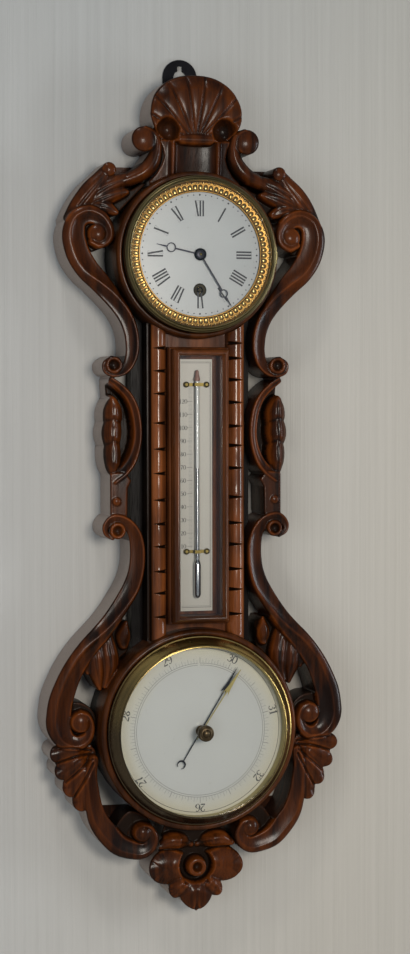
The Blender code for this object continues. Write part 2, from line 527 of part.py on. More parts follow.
# The pendant, from the barometer centre
PENDANT_PETAL_SHARES = (
    ((0.04, -1.08, 0.09), (0.14, -1.062, 0.14), (0.24, -1.062, 0.14), (0.33, -1.09, 0.05)),
    ((0.10, -1.292, 0.10), (0.20, -1.300, 0.22), (0.31, -1.312, 0.28), (0.40, -1.312, 0.14)),
    ((0.05, -1.39, 0.10), (0.12, -1.46, 0.16), (0.19, -1.52, 0.14), (0.23, -1.555, 0.05)))
PENDANT_TONGUE_SHARES = (
    (0.0, -1.39, 0.10), (0.0, -1.51, 0.18), (0.0, -1.62, 0.15), (0.0, -1.715, 0.03))
PENDANT_FLOOR_SHARES = (
    (0.0, -0.90), (0.28, -0.90), (0.34, -1.08), (0.36, -1.25), (0.34, -1.40), (0.22, -1.51),
    (0.10, -1.58), (0.0, -1.60))
PENDANT_DROP = 0.0020
PENDANT_FRONT = SCROLL_FRONT - PENDANT_DROP
PENDANT_BUD_SHARES = (0.0, -1.312, 0.085)
FOOT_CLEAR_SHARES = (0.52, -1.025, 0.172)

# Finishes: colour, roughness and metallic
OAK = ((0.16, 0.055, 0.020), 0.35, 0.0)
OAK_DARK = ((0.030, 0.016, 0.010), 0.5, 0.0)
BRASS = ((0.60, 0.43, 0.16), 0.35, 1.0)
BRASS_DULL = ((0.22, 0.19, 0.09), 0.45, 1.0)
GILT = ((0.80, 0.52, 0.14), 0.25, 1.0)
STEEL = ((0.45, 0.45, 0.47), 0.35, 1.0)
BLUED = ((0.02, 0.025, 0.04), 0.3, 1.0)
IRON = ((0.02, 0.02, 0.022), 0.5, 1.0)
ENAMEL = ((0.80, 0.83, 0.85), 0.15, 0.0)
OPAL = ((0.80, 0.79, 0.74), 0.25, 0.0)
CREAM = ((0.78, 0.77, 0.70), 0.4, 0.0)
GLASS = ((0.85, 0.88, 0.88), 0.03, 0.0)
MERCURY = ((0.60, 0.61, 0.62), 0.1, 1.0)


def clear_scene():
    for old in list(bpy.data.objects):
        bpy.data.objects.remove(old, do_unlink=True)


def new_collection(name, hidden=False):
    made = bpy.data.collections.new(name)
    made.hide_render = hidden
    bpy.context.scene.collection.children.link(made)
    return made


clear_scene()
PARTS = new_collection("barometer_clock")
CUTTERS = new_collection("cutters", hidden=True)


def material(name, finish):
    """One Principled material for each sub-part, from its (colour, roughness, metallic)."""
    colour, roughness, metallic = finish
    made = bpy.data.materials.new(name)
    made.use_nodes = True
    shader = made.node_tree.nodes["Principled BSDF"]
    shader.inputs["Base Color"].default_value = (*colour, 1.0)
    shader.inputs["Roughness"].default_value = roughness
    shader.inputs["Metallic"].default_value = metallic
    made.diffuse_color = (*colour, 1.0)
    return made


def stand(name, mesh, finish, across=0.0, up=0.0):
    """Stand a shape drawn as (across, up, forward) against the wall, with its origin at (across, up)."""
    piece = bpy.data.objects.new(name, mesh)
    piece.location = (across, 0, up)
    piece.rotation_euler = (math.radians(90), 0, 0)
    PARTS.objects.link(piece)
    mesh.materials.append(material(name, finish))
    return piece


def as_cutter(piece):
    PARTS.objects.unlink(piece)
    CUTTERS.objects.link(piece)
    piece.hide_render = True
    piece.display_type = "WIRE"
    return piece


def evaluated_mesh(piece):
    bpy.context.view_layer.update()
    graph = bpy.context.evaluated_depsgraph_get()
    return bpy.data.meshes.new_from_object(piece.evaluated_get(graph))


def weld(mesh):
    shape = bmesh.new()
    shape.from_mesh(mesh)
    bmesh.ops.remove_doubles(shape, verts=shape.verts, dist=GAP / 300)
    bmesh.ops.recalc_face_normals(shape, faces=shape.faces)
    shape.to_mesh(mesh)
    shape.free()


def smooth(piece, angle=35):
    piece.data.shade_smooth()
    piece.data.set_sharp_from_angle(angle=math.radians(angle))
    return piece


def fused(piece, others=(), cutters=()):
    """Join other shapes to a piece and cut shapes away, welding the plain mesh that each step leaves."""
    own = piece.data.materials[0]
    for operation, tools in (("UNION", others), ("DIFFERENCE", cutters)):
        for tool in tools:
            step = piece.modifiers.new(operation.lower(), "BOOLEAN")
            step.operation = operation
            step.object = tool
            piece.data = evaluated_mesh(piece)
            piece.modifiers.clear()
            weld(piece.data)
    piece.data.materials.clear()
    piece.data.materials.append(own)
    for other in others:
        bpy.data.materials.remove(other.data.materials[0])
        bpy.data.objects.remove(other)
    return smooth(piece)


def runs_clockwise(points):
    area = sum(a[0] * b[1] - b[0] * a[1] for a, b in zip(points, points[1:] + points[:1]))
    return area < 0


def turned(name, profile, finish, steps, across=0.0, up=0.0):
    """Turn a profile of (radius, forward) points about an axis that points out of the wall.

    A profile that starts and ends on the axis makes a solid. Any other is a closed ring.
    """
    points = list(profile) if runs_clockwise(list(profile)) else list(reversed(profile))
    solid = min(radius for radius, _ in points) == 0
    while solid and points[0][0] > 0:
        points = points[1:] + points[:1]
    if solid and points[-1][0] > 0:
        points = points[1:] + points[:1]
        while points[0][0] > 0:
            points = points[1:] + points[:1]
    mesh = bpy.data.meshes.new(name)
    edges = [(i, i + 1) for i in range(len(points) - 1)]
    if not solid:
        edges.append((len(points) - 1, 0))
    mesh.from_pydata([(radius, 0, forward) for radius, forward in points], edges, [])
    piece = stand(name, mesh, finish, across, up)
    screw = piece.modifiers.new("turn", "SCREW")
    screw.axis = "Z"
    screw.steps = screw.render_steps = steps
    screw.use_merge_vertices = True
    screw.merge_threshold = GAP / 30
    turned_mesh = evaluated_mesh(piece)
    piece.modifiers.clear()
    piece.data = turned_mesh
    weld(turned_mesh)
    return smooth(piece)


def rod(name, radius, back, front, finish, steps=12, across=0.0, up=0.0):
    return turned(name, [(0, back), (radius, back), (radius, front), (0, front)], finish, steps, across, up)


def tube(name, radius, bore, back, front, finish, steps=12, across=0.0, up=0.0):
    profile = [(bore, back), (radius, back), (radius, front), (bore, front)]
    return turned(name, profile, finish, steps, across, up)


def flat(name, outlines, back, front, finish, across=0.0, up=0.0):
    """Cut a sheet from (across, up) outlines: the first is the edge, the rest are holes."""
    curve = bpy.data.curves.new(name, "CURVE")
    curve.dimensions = "2D"
    curve.fill_mode = "BOTH"
    curve.extrude = (front - back) / 2
    for outline in outlines:
        spline = curve.splines.new("POLY")
        spline.points.add(len(outline) - 1)
        for point, (x, z) in zip(spline.points, outline):
            point.co = (x, z, 0, 1)
        spline.use_cyclic_u = True
    drawn = bpy.data.objects.new(name, curve)
    PARTS.objects.link(drawn)
    mesh = evaluated_mesh(drawn)
    bpy.data.objects.remove(drawn)
    for vertex in mesh.vertices:
        vertex.co.z += (front + back) / 2
    weld(mesh)
    mesh.materials.clear()
    return smooth(stand(name, mesh, finish, across, up))


def block(name, across, up, forward, finish):
    """A box from three (low, high) pairs."""
    shape = bmesh.new()
    bmesh.ops.create_cube(shape, size=1)
    for vertex in shape.verts:
        for axis, (low, high) in enumerate((across, up, forward)):
            vertex.co[axis] = high if vertex.co[axis] > 0 else low
    mesh = bpy.data.meshes.new(name)
    shape.to_mesh(mesh)
    shape.free()
    return stand(name, mesh, finish)


def loft(name, sections, finish, closed=False, across=0.0, up=0.0):
    """Skin sections of like length, with end faces unless they run round to the first."""
    count = len(sections[0])
    points = [point for section in sections for point in section]
    faces = []
    rings = len(sections) if closed else len(sections) - 1
    for ring in range(rings):
        here = ring * count
        there = (ring + 1) % len(sections) * count
        for i in range(count):
            j = (i + 1) % count
            faces.append((here + i, here + j, there + j, there + i))
    if not closed:
        faces.append(tuple(range(count)))
        faces.append(tuple(range(len(points) - 1, len(points) - count - 1, -1)))
    mesh = bpy.data.meshes.new(name)
    mesh.from_pydata(points, [], faces)
    weld(mesh)
    return smooth(stand(name, mesh, finish, across, up))


def circle(radius, steps, across=0.0, up=0.0):
    return [
        (across + radius * math.cos(math.tau * i / steps), up + radius * math.sin(math.tau * i / steps))
        for i in range(steps)
    ]


def arc(radius, start, end, steps, across=0.0, up=0.0):
    """Points on a circle from one angle to another, in degrees from across towards up."""
    angles = [math.radians(start + (end - start) * i / steps) for i in range(steps + 1)]
    return [(across + radius * math.cos(a), up + radius * math.sin(a)) for a in angles]


def carved_place(frame, x, z):
    """The place of a carving point, given in shares, beside the ring or trunk that it frames."""
    datum, stretch, (near, far) = frame
    follows_ring = min(max((far - z) / (far - near), 0.0), 1.0)
    ring_shift = follows_ring * stretch / math.hypot(x, z)
    trunk_shift = (1 - follows_ring) * TRUNK_STRETCH
    return x * MODULE + x * ring_shift + trunk_shift, datum + z * MODULE + z * ring_shift


def swept(name, path_shares, section_shares, front, finish, frame, back=-OVERRUN, rises=None):
    """A carved band: a section that follows a path and rises from the wall to the front.

    The section's outer points stay on the path's normal, so a band narrows as its width does.
    """
    path = [(*carved_place(frame, x, z), width * MODULE) for x, z, width in path_shares]
    sections = []
    for i, (x, z, width) in enumerate(path):
        ahead, behind = path[min(i + 1, len(path) - 1)], path[max(i - 1, 0)]
        run_x, run_z = ahead[0] - behind[0], ahead[1] - behind[1]
        length = math.hypot(run_x, run_z)
        normal = (-run_z / length, run_x / length)
        rise = rises[i] if rises else 1.0
        section = []
        for side_share, height_share in section_shares:
            side = side_share * width
            section.append((x + normal[0] * side, z + normal[1] * side, front * height_share * rise))
        for side in (width / 2, -width / 2):
            section.append((x + normal[0] * side, z + normal[1] * side, back))
        sections.append(section)
    return loft(name, sections, finish)


def dome(name, shares, front, finish, frame, steps=12, back=-OVERRUN, rise=EYE_DOME):
    """A round boss with a rounded face, at (across, up, radius) shares."""
    x, z = carved_place(frame, *shares[:2])
    radius = shares[2] * MODULE
    shoulder, drop = DOME_SHOULDER_SHARES
    profile = [(0, back), (radius, back), (radius, front - rise),
               (radius * shoulder, front - rise * drop), (0, front)]
    return turned(name, profile, finish, steps, across=x, up=z)


def floor(name, outline_shares, front, finish, frame, back=-OVERRUN):
    outline = [carved_place(frame, x, z) for x, z in outline_shares]
    return flat(name, [outline], back, front, finish)


def clear_of(name, shares, frame):
    """The clearance that one carving leaves round the end of another, at (across, up, radius) shares."""
    x, z = carved_place(frame, *shares[:2])
    return as_cutter(rod(name, shares[2] * MODULE, -3 * OVERRUN, FRAME_FRONT, OAK, 24, x, z))


def trunk_arc(centre_z, radius, low, high, steps, top):
    """The stretch of a dial ring between two places across the trunk."""
    side = -1 if top else 1
    points = []
    for i in range(steps + 1):
        x = low + (high - low) * i / steps
        points.append((x, centre_z + side * math.sqrt(radius ** 2 - x ** 2)))
    return points


def between_rings(low, high, steps):
    """An outline across the trunk whose ends follow the two dial rings."""
    bottom = trunk_arc(BAROMETER_Z, BAROMETER_RING_RADIUS + GAP, low, high, steps, top=False)
    top = trunk_arc(CLOCK_Z, CLOCK_RING_RADIUS + GAP, low, high, steps, top=True)
    return bottom + list(reversed(top))


def ring_cutters():
    """The clearance that the two dial rings need in what is fitted round them."""
    depth = (-2 * OVERRUN, FRAME_FRONT)
    clock = rod("clock_ring_clearance", CLOCK_RING_RADIUS + 2 * GAP, *depth, OAK, RING_STEPS, up=CLOCK_Z)
    barometer = rod("barometer_ring_clearance", BAROMETER_RING_RADIUS + 2 * GAP, *depth, OAK,
                    RING_STEPS, up=BAROMETER_Z)
    return [as_cutter(clock), as_cutter(barometer)]


def make_backboard():
    """The board behind the trunk, swelling to a disc behind each dial, bored for both movements."""
    reach = math.degrees(math.asin(TRUNK_HALF_WIDTH / CLOCK_RING_RADIUS))
    lower_reach = math.degrees(math.asin(TRUNK_HALF_WIDTH / BAROMETER_RING_RADIUS))
    outline = arc(CLOCK_RING_RADIUS, -90 + reach, 270 - reach, 32, up=CLOCK_Z)
    outline += arc(BAROMETER_RING_RADIUS, 90 + lower_reach, 450 - lower_reach, 36, up=BAROMETER_Z)
    holes = [circle(DRUM_RADIUS + GAP, RING_STEPS, up=CLOCK_Z),
             circle(BARO_CASE_RADIUS + GAP, RING_STEPS, up=BAROMETER_Z)]
    return flat("backboard", [outline] + holes, 0, BACKBOARD_DEPTH, OAK_DARK)


def make_ring(name, outer, inner, front, up):
    back = BACKBOARD_DEPTH + GAP
    profile = [(inner, back), (outer, back), (outer, front - RING_CROWN),
               (outer - RING_CROWN / 3, front - RING_CROWN / 4),
               ((outer + inner) / 2, front), (inner, front - RING_CROWN / 3)]
    return turned(name, profile, OAK, RING_STEPS, up=up)


def make_trunk():
    flat("trunk_panel", [between_rings(-PANEL_HALF_WIDTH, PANEL_HALF_WIDTH, 14)],
         BACKBOARD_DEPTH + GAP, PANEL_FRONT, OAK_DARK)
    rings = ring_cutters()
    for side, name in ((-1, "pilaster_left"), (1, "pilaster_right")):
        make_pilaster(name, side, rings)


def make_pilaster(name, side, rings):
    """A half-round column that runs from ring to ring, with wedge cuts down its face."""
    seat = PANEL_FRONT + GAP
    crown = PILASTER_FRONT - seat
    turns = [math.pi * i / PILASTER_STEPS for i in range(PILASTER_STEPS + 1)]
    section = [(side * PILASTER_CENTRE + PILASTER_RADIUS * math.cos(turn), seat + crown * math.sin(turn))
               for turn in turns]
    ends = (BAROMETER_Z + BAROMETER_RING_RADIUS / 2, CLOCK_Z - CLOCK_RING_RADIUS / 2)
    bar = loft(name, [[(x, end, forward) for x, forward in section] for end in ends], OAK)
    cutters = list(rings)
    low = side * PILASTER_CENTRE - NOTCH_LENGTH / 2
    over, root = PILASTER_FRONT + OVERRUN, PILASTER_FRONT - NOTCH_DEPTH
    for i in range(NOTCH_COUNT):
        middle = NOTCH_TOP - NOTCH_PITCH * i
        wedge = [[(x, middle + NOTCH_HEIGHT / 2, over), (x, middle - NOTCH_HEIGHT / 2, over),
                  (x, middle - NOTCH_HEIGHT / 4, root), (x, middle + NOTCH_HEIGHT / 4, root)]
                 for x in (low, low + NOTCH_LENGTH)]
        cutters.append(as_cutter(loft(f"{name}_notch_{i + 1}", wedge, OAK)))
    return fused(bar, cutters=cutters)


def picture_frame(name, half_width, low, high, profile, finish):
    """A mitred moulding: a section of (inset, forward) points carried round four corners."""
    sections = []
    for x_side, z_edge, z_side in ((-1, low, 1), (1, low, 1), (1, high, -1), (-1, high, -1)):
        sections.append([(x_side * (half_width - inset), z_edge + z_side * inset, forward)
                         for inset, forward in profile])
    return loft(name, sections, finish, closed=True)


def make_side():
    """The right carving: the two scrolls, husk, leaves and foot scroll, cut from one board."""
    up, low, trunk = UPPER_FRAME, LOWER_FRAME, TRUNK_FRAME
    pieces = [swept("carved_side_right", UPPER_SCROLL_SHARES, SCROLL_SECTION_SHARES, SCROLL_FRONT, OAK, up)]
    step = GAP / 10

    def carved(shares, section, front, frame):
        back = -OVERRUN - step * len(pieces)
        drop = front - step * (len(pieces) % 7)
        pieces.append(swept(f"carving_{len(pieces)}", shares, section, drop, OAK, frame, back))

    def boss(shares, front, frame, rise=EYE_DOME):
        back = -OVERRUN - step * len(pieces)
        pieces.append(dome(f"carving_{len(pieces)}", shares, front, OAK, frame, back=back, rise=rise))

    def ground(shares, front, frame):
        back = -OVERRUN - step * len(pieces)
        drop = front - step * len(pieces) / 3
        pieces.append(floor(f"carving_{len(pieces)}", shares, drop, OAK, frame, back))

    carved(TOP_SCROLL_SHARES, SCROLL_SECTION_SHARES, SCROLL_FRONT, up)
    for lobe in UPPER_LEAF_SHARES:
        carved(lobe, LEAF_SECTION_SHARES, LEAF_FRONT, up)
    boss(UPPER_EYE_SHARES, EYE_FRONT, up)
    boss(UPPER_BED_SHARES, FLOOR_FRONT, up, GAP)
    boss(UPPER_CURL_SHARES, SCROLL_FRONT, up)
    boss(TOP_BALL_SHARES, EYE_FRONT, up, 2 * EYE_DOME)
    ground(UPPER_FLOOR_SHARES, LEAF_FLOOR_FRONT, up)
    carved(STRAP_SHARES, SCROLL_SECTION_SHARES, SCROLL_FRONT, trunk)
    for pod in HUSK_SHARES:
        carved(pod, LEAF_SECTION_SHARES, HUSK_FRONT, trunk)
    ground(HUSK_FLOOR_SHARES, LEAF_FLOOR_FRONT, trunk)
    ground(BLOCK_SHARES, BLOCK_FRONT, trunk)
    boss(PLUG_SHARES, PLUG_FRONT, trunk, GAP)
    carved(LOWER_SCROLL_SHARES, SCROLL_SECTION_SHARES, SCROLL_FRONT, low)
    boss(LOWER_CURL_SHARES, SCROLL_FRONT, low)
    boss(LOWER_EYE_SHARES, EYE_FRONT, low)
    boss(LOWER_BED_SHARES, FLOOR_FRONT, low, GAP)
    for lobe in BUD_SHARES + INNER_LEAF_SHARES + FAN_SHARES:
        carved(lobe, LEAF_SECTION_SHARES, LEAF_FRONT, low)
    ground(INNER_FLOOR_SHARES, LEAF_FLOOR_FRONT, low)
    ground(FAN_FLOOR_SHARES, LEAF_FLOOR_FRONT, low)
    carved(FOOT_SCROLL_SHARES, SCROLL_SECTION_SHARES, SCROLL_FRONT, low)
    boss(FOOT_EYE_SHARES, EYE_FRONT, low)
    boss(FOOT_BED_SHARES, FLOOR_FRONT, low, GAP)
    ground(FOOT_FLOOR_SHARES, LEAF_FLOOR_FRONT, low)
    boards = block("trunk_clearance", (-TRUNK_HALF_WIDTH - GAP, TRUNK_HALF_WIDTH + GAP),
                   (BAROMETER_Z, CLOCK_Z), (-2 * OVERRUN, BACKBOARD_DEPTH + GAP), OAK)
    return fused(pieces[0], pieces[1:], ring_cutters() + [as_cutter(boards), wall_cutter("side_wall")])


def wall_cutter(name):
    """What a carving loses behind the wall's plane."""
    reach = BAROMETER_RING_RADIUS + 2 * MODULE
    height = (BAROMETER_Z - reach, CLOCK_Z + reach)
    return as_cutter(block(name, (-reach, reach), height, (-3 * OVERRUN, 0), OAK))


def mirrored(piece, name, finish):
    """The other hand of a carving, with its faces turned the right way out again."""
    shape = bmesh.new()
    shape.from_mesh(piece.data)
    for vertex in shape.verts:
        vertex.co.x *= -1
    bmesh.ops.reverse_faces(shape, faces=shape.faces)
    mesh = bpy.data.meshes.new(name)
    shape.to_mesh(mesh)
    shape.free()
    return smooth(stand(name, mesh, finish, up=piece.location.z))


def both_halves(piece):
    """Keep the right half of a piece and mirror it to the left."""
    step = piece.modifiers.new("halves", "MIRROR")
    step.use_bisect_axis = (True, False, False)
    step.merge_threshold = GAP / 10
    piece.data = evaluated_mesh(piece)
    piece.modifiers.clear()
    return smooth(piece)


def both_sides(points):
    """An outline given for the right half, carried round to the left."""
    return points + [(-x, z) for x, z in reversed(points) if x > 0]


def make_crest():
    """The ribbed shell on its neck, with a curl at each side."""
    frame = CREST_FRAME
    outline = both_sides([carved_place(frame, x, z) for x, z in SHELL_OUTLINE_SHARES])
    crest = flat("shell_crest", [outline], CREST_BACK, SHELL_FLOOR_FRONT, OAK)
    neck = both_sides([carved_place(frame, x, z) for x, z in NECK_SHARES])
    others = [flat("neck", [neck], CREST_BACK - GAP, NECK_FRONT, OAK),
              dome("hub", SHELL_HUB_SHARES, SHELL_HUB_FRONT, OAK, frame, SHELL_HUB_STEPS,
                   CREST_BACK + GAP / 10)]
    across, rise = SHELL_REACH_SHARES
    root_x, root_z = SHELL_ROOT_SHARES
    rises = [height for _, _, height in SHELL_RIB_SHARES]
    for i in range((SHELL_RIBS + 1) // 2):
        angle = math.radians(2 * SHELL_SPREAD * i / (SHELL_RIBS - 1))
        path = [(root_x + across * run * math.sin(angle), root_z + rise * run * math.cos(angle), width)
                for run, width, _ in SHELL_RIB_SHARES]
        others.append(swept(f"rib_{i}", path, LEAF_SECTION_SHARES, SHELL_FRONT - GAP * i / 10, OAK,
                            frame, CREST_BACK + GAP * (i + 2) / 10, rises))
    others.append(dome("crest_curl", SHELL_CURL_SHARES, EYE_FRONT, OAK, frame, back=CREST_BACK - GAP / 2))
    clearance = clear_of("top_scroll_clearance", TOP_CLEAR_SHARES, UPPER_FRAME)
    return both_halves(fused(crest, others, ring_cutters() + [clearance]))


def make_pendant():
    """The flower below the barometer: bud, petals and a hanging tongue."""
    frame = PENDANT_FRAME
    outline = both_sides([carved_place(frame, x, z) for x, z in PENDANT_FLOOR_SHARES])
    flower = flat("flower_pendant", [outline], -OVERRUN, LEAF_FLOOR_FRONT, OAK)
    others = [dome("bud", PENDANT_BUD_SHARES, EYE_FRONT, OAK, frame, SHELL_HUB_STEPS, -OVERRUN - GAP)]
    for petal in PENDANT_PETAL_SHARES:
        place = len(others)
        others.append(swept(f"petal_{place}", petal, LEAF_SECTION_SHARES, PENDANT_FRONT - GAP * place / 10,
                            OAK, frame, -OVERRUN - GAP * place / 10))
    others.append(swept("tongue", PENDANT_TONGUE_SHARES, LEAF_SECTION_SHARES, PENDANT_FRONT - GAP, OAK,
                        frame, -OVERRUN - GAP / 2))
    cutters = ring_cutters()
    cutters.append(clear_of("foot_clearance", FOOT_CLEAR_SHARES, LOWER_FRAME))
    cutters.append(wall_cutter("pendant_wall"))
    return both_halves(fused(flower, others, cutters))


def make_thermometer():
    seat = PANEL_FRONT + GAP
    profile = [(0, seat)]
    profile += [(FRAME_WIDTH * across, FRAME_FRONT - FRAME_CROWN * drop)
                for across, drop in FRAME_SECTION_SHARES]
    profile += [(FRAME_WIDTH, seat)]
    picture_frame("thermometer_frame", FRAME_HALF_WIDTH, FRAME_BOTTOM, FRAME_TOP, profile, OAK)
    window = FRAME_HALF_WIDTH - FRAME_WIDTH - GAP
    block("thermometer_window", (-window, window),
          (FRAME_BOTTOM + FRAME_WIDTH + GAP, FRAME_TOP - FRAME_WIDTH - GAP),
          (WINDOW_FRONT - WINDOW_THICKNESS, WINDOW_FRONT), GLASS)
    block("scale_plate", (-SCALE_HALF_WIDTH, SCALE_HALF_WIDTH), (SCALE_BOTTOM, SCALE_TOP),
          (seat, SCALE_FRONT), OPAL)
    make_tube()
    for name, z in (("tube_clip_top", CLIP_TOP_Z), ("tube_clip_bottom", CLIP_BOTTOM_Z)):
        make_clip(name, z)


def upright(name, profile, finish, steps, forward):
    """Turn a profile of (radius, up) points about an upright line in front of the wall."""
    piece = turned(name, profile, finish, steps)
    piece.rotation_euler = (0, 0, 0)
    piece.location = (0, -forward, 0)
    return piece


def make_tube():
    """The glass tube with its bulb, open at the top, and the mercury inside it."""
    forward = SCALE_FRONT + GAP + BULB_RADIUS
    neck = TUBE_BOTTOM + BULB_LENGTH
    wall = TUBE_RADIUS - TUBE_BORE
    glass = [(TUBE_BORE, TUBE_TOP), (TUBE_RADIUS, TUBE_TOP), (TUBE_RADIUS, neck),
             (BULB_RADIUS, neck - BULB_RADIUS), (BULB_RADIUS, TUBE_BOTTOM + BULB_RADIUS),
             (BULB_RADIUS / 2, TUBE_BOTTOM), (0, TUBE_BOTTOM), (0, TUBE_BOTTOM + wall),
             (BULB_RADIUS - wall, TUBE_BOTTOM + 2 * wall), (BULB_RADIUS - wall, neck - BULB_RADIUS),
             (TUBE_BORE, neck)]
    upright_open("thermometer_tube", glass, GLASS, 12, forward)
    play = GAP / 2
    thread = TUBE_BORE - play
    bulb = BULB_RADIUS - wall - play
    mercury = [(0, TUBE_BOTTOM + wall + GAP), (bulb, TUBE_BOTTOM + 2 * wall + GAP),
               (bulb, neck - BULB_RADIUS - GAP), (thread, neck), (thread, THREAD_TOP), (0, THREAD_TOP)]
    upright("mercury", mercury, MERCURY, 8, forward)


def upright_open(name, loop, finish, steps, forward):
    """Turn a profile whose line leaves the axis and comes back to it, as in a closed-ended tube."""
    start = next(i for i, (radius, _) in enumerate(loop) if radius == 0 and loop[i - 1][0] == 0)
    points = loop[start:] + loop[:start]
    mesh = bpy.data.meshes.new(name)
    edges = [(i, i + 1) for i in range(len(points) - 1)]
    mesh.from_pydata([(radius, 0, up) for radius, up in points], edges, [])
    piece = stand(name, mesh, finish)
    screw = piece.modifiers.new("turn", "SCREW")
    screw.axis = "Z"
    screw.steps = screw.render_steps = steps
    screw.use_merge_vertices = True
    screw.merge_threshold = GAP / 30
    piece.rotation_euler = (0, 0, 0)
    piece.location = (0, -forward, 0)
    piece.data = evaluated_mesh(piece)
    piece.modifiers.clear()
    weld(piece.data)
    return smooth(piece)


def make_clip(name, z):
    """A brass strap over the tube, held by a rosette screw at each end."""
    foot = SCALE_FRONT + GAP
    top = foot + BULB_RADIUS + TUBE_RADIUS + GAP
    inner = TUBE_RADIUS + GAP
    lift = CLIP_THICKNESS
    under = top - lift / 2
    outline = [(-CLIP_HALF_WIDTH, foot), (-inner - lift, foot), (-inner, under), (inner, under),
               (inner + lift, foot), (CLIP_HALF_WIDTH, foot)]
    upper = [(CLIP_HALF_WIDTH, foot + lift), (inner + 2 * lift, foot + lift), (inner + lift, top + lift),
             (-inner - lift, top + lift), (-inner - 2 * lift, foot + lift), (-CLIP_HALF_WIDTH, foot + lift)]
    section = outline + upper
    ends = (z - CLIP_HEIGHT / 2, z + CLIP_HEIGHT / 2)
    strap = loft(name, [[(x, end, forward) for x, forward in section] for end in ends], BRASS)
    seat = foot + lift
    profile = [(0, seat - lift / 2), (ROSETTE_RADIUS, seat - lift / 2),
               (ROSETTE_RADIUS, seat + ROSETTE_HEIGHT / 2), (ROSETTE_RADIUS / 2, seat + ROSETTE_HEIGHT),
               (0, seat + ROSETTE_HEIGHT)]
    reach = CLIP_HALF_WIDTH - ROSETTE_RADIUS
    heads = [turned(f"{name}_{side}", profile, BRASS, 12, side * reach, z) for side in (-1, 1)]
    return fused(strap, heads)


def make_hanger():
    """The iron plate that the case hangs by, with a keyhole eye, behind the shell."""
    top = arc(HANGER_RADIUS, 0, 180, 16)
    outline = top + [(-HANGER_RADIUS, -HANGER_TAIL), (HANGER_RADIUS, -HANGER_TAIL)]
    slot = math.degrees(math.asin(HANGER_SLOT_HALF_WIDTH / HANGER_EYE_RADIUS))
    eye = arc(HANGER_EYE_RADIUS, 90 + slot, 450 - slot, 16)
    eye += [(HANGER_SLOT_HALF_WIDTH, HANGER_SLOT_RISE), (-HANGER_SLOT_HALF_WIDTH, HANGER_SLOT_RISE)]
    plate = flat("hanging_plate", [outline, eye], 0, HANGER_THICKNESS, IRON, HANGER_OFFSET, HANGER_Z)
    for i in range(2):
        up = HANGER_Z - HANGER_TAIL / 2 - HANGER_RADIUS / 2 - HANGER_SCREW_PITCH * (i - 0.5)
        hole = as_cutter(rod(f"hanger_hole_{i}", HANGER_SCREW_RADIUS + GAP, -OVERRUN,
                             HANGER_SCREW_LENGTH + GAP, IRON, 12, HANGER_OFFSET, up))
        fused(plate, cutters=[hole])
        fused(bpy.data.objects["shell_crest"], cutters=[hole])
        rod(f"hanging_screw_{i + 1}", HANGER_SCREW_RADIUS, 0, HANGER_SCREW_LENGTH, STEEL, 10,
            HANGER_OFFSET, up)


def tooth_outline(teeth, module, phase, addendum_share, tooth_shares):
    """A wheel's outline: each tooth rises from the root circle through points of (height, place) shares."""
    pitch_radius = teeth * module / 2
    root = pitch_radius - TOOTH_ROOT_SHARE * module
    tip = pitch_radius + addendum_share * module
    turn = math.tau / teeth
    points = []
    for i in range(teeth):
        middle = phase + i * turn
        for height_share, place_share in tooth_shares:
            radius = root + (tip - root) * height_share
            angle = middle + place_share * turn
            points.append((radius * math.cos(angle), radius * math.sin(angle)))
    return points


def meshing_phase(driver_teeth, driver_phase, teeth, direction):
    """The phase that puts a gap of the second wheel opposite a tooth of the first."""
    turn = math.tau / teeth
    return direction + math.pi + turn / 2 - (driver_phase - direction) * driver_teeth / teeth


def gear(name, teeth, module, phase, back, thickness, finish, addendum=WHEEL_TIP_SHARE,
         tooth_shares=WHEEL_TOOTH_SHARES, holes=(), across=0.0, up=0.0):
    outlines = [tooth_outline(teeth, module, phase, addendum, tooth_shares)] + list(holes)
    return flat(name, outlines, back, back + thickness, finish, across, up)


def make_clock():
    up = CLOCK_Z
    ledge = FRONT_PLATE_FRONT - PLATE_THICKNESS - GAP
    flange = [(MOUNT_RING_SEAT, MOUNT_RING_BACK), (MOUNT_RING_RADIUS, MOUNT_RING_BACK),
              (MOUNT_RING_RADIUS, MOUNT_RING_FRONT), (MOUNT_RING_BORE, MOUNT_RING_FRONT),
              (MOUNT_RING_BORE, ledge), (MOUNT_RING_SEAT, ledge)]
    mount = turned("clock_mount_ring", flange, BRASS_DULL, RING_STEPS, up=up)
    cover_front = DRUM_BACK + DRUM_WALL
    drum_front = MOUNT_RING_BACK - GAP
    inner = DRUM_RADIUS - DRUM_WALL
    tube("clock_drum", DRUM_RADIUS, inner, cover_front + GAP, drum_front, BRASS, RING_STEPS, up=up)
    rim, rim_front = inner - GAP, DRUM_BACK + 3 * DRUM_WALL
    cover = [(0, DRUM_BACK), (DRUM_RADIUS, DRUM_BACK), (DRUM_RADIUS, cover_front),
             (rim, cover_front), (rim, rim_front), (rim - DRUM_WALL, rim_front),
             (rim - DRUM_WALL, cover_front), (0, cover_front)]
    turned("drum_back_cover", cover, BRASS, RING_STEPS, up=up)
    make_bezel(mount)
    make_dial()
    make_hands()
    make_movement()


def hinge_knuckle(name, low, high, finish):
    """A short tube about the bezel's upright hinge line."""
    bore = HINGE_PIN_RADIUS + PIVOT_PLAY
    piece = tube(name, HINGE_KNUCKLE_RADIUS, bore, low, high, finish)
    piece.rotation_euler = (0, 0, 0)
    piece.location = (HINGE_OFFSET, -HINGE_FORWARD, CLOCK_Z)
    return piece


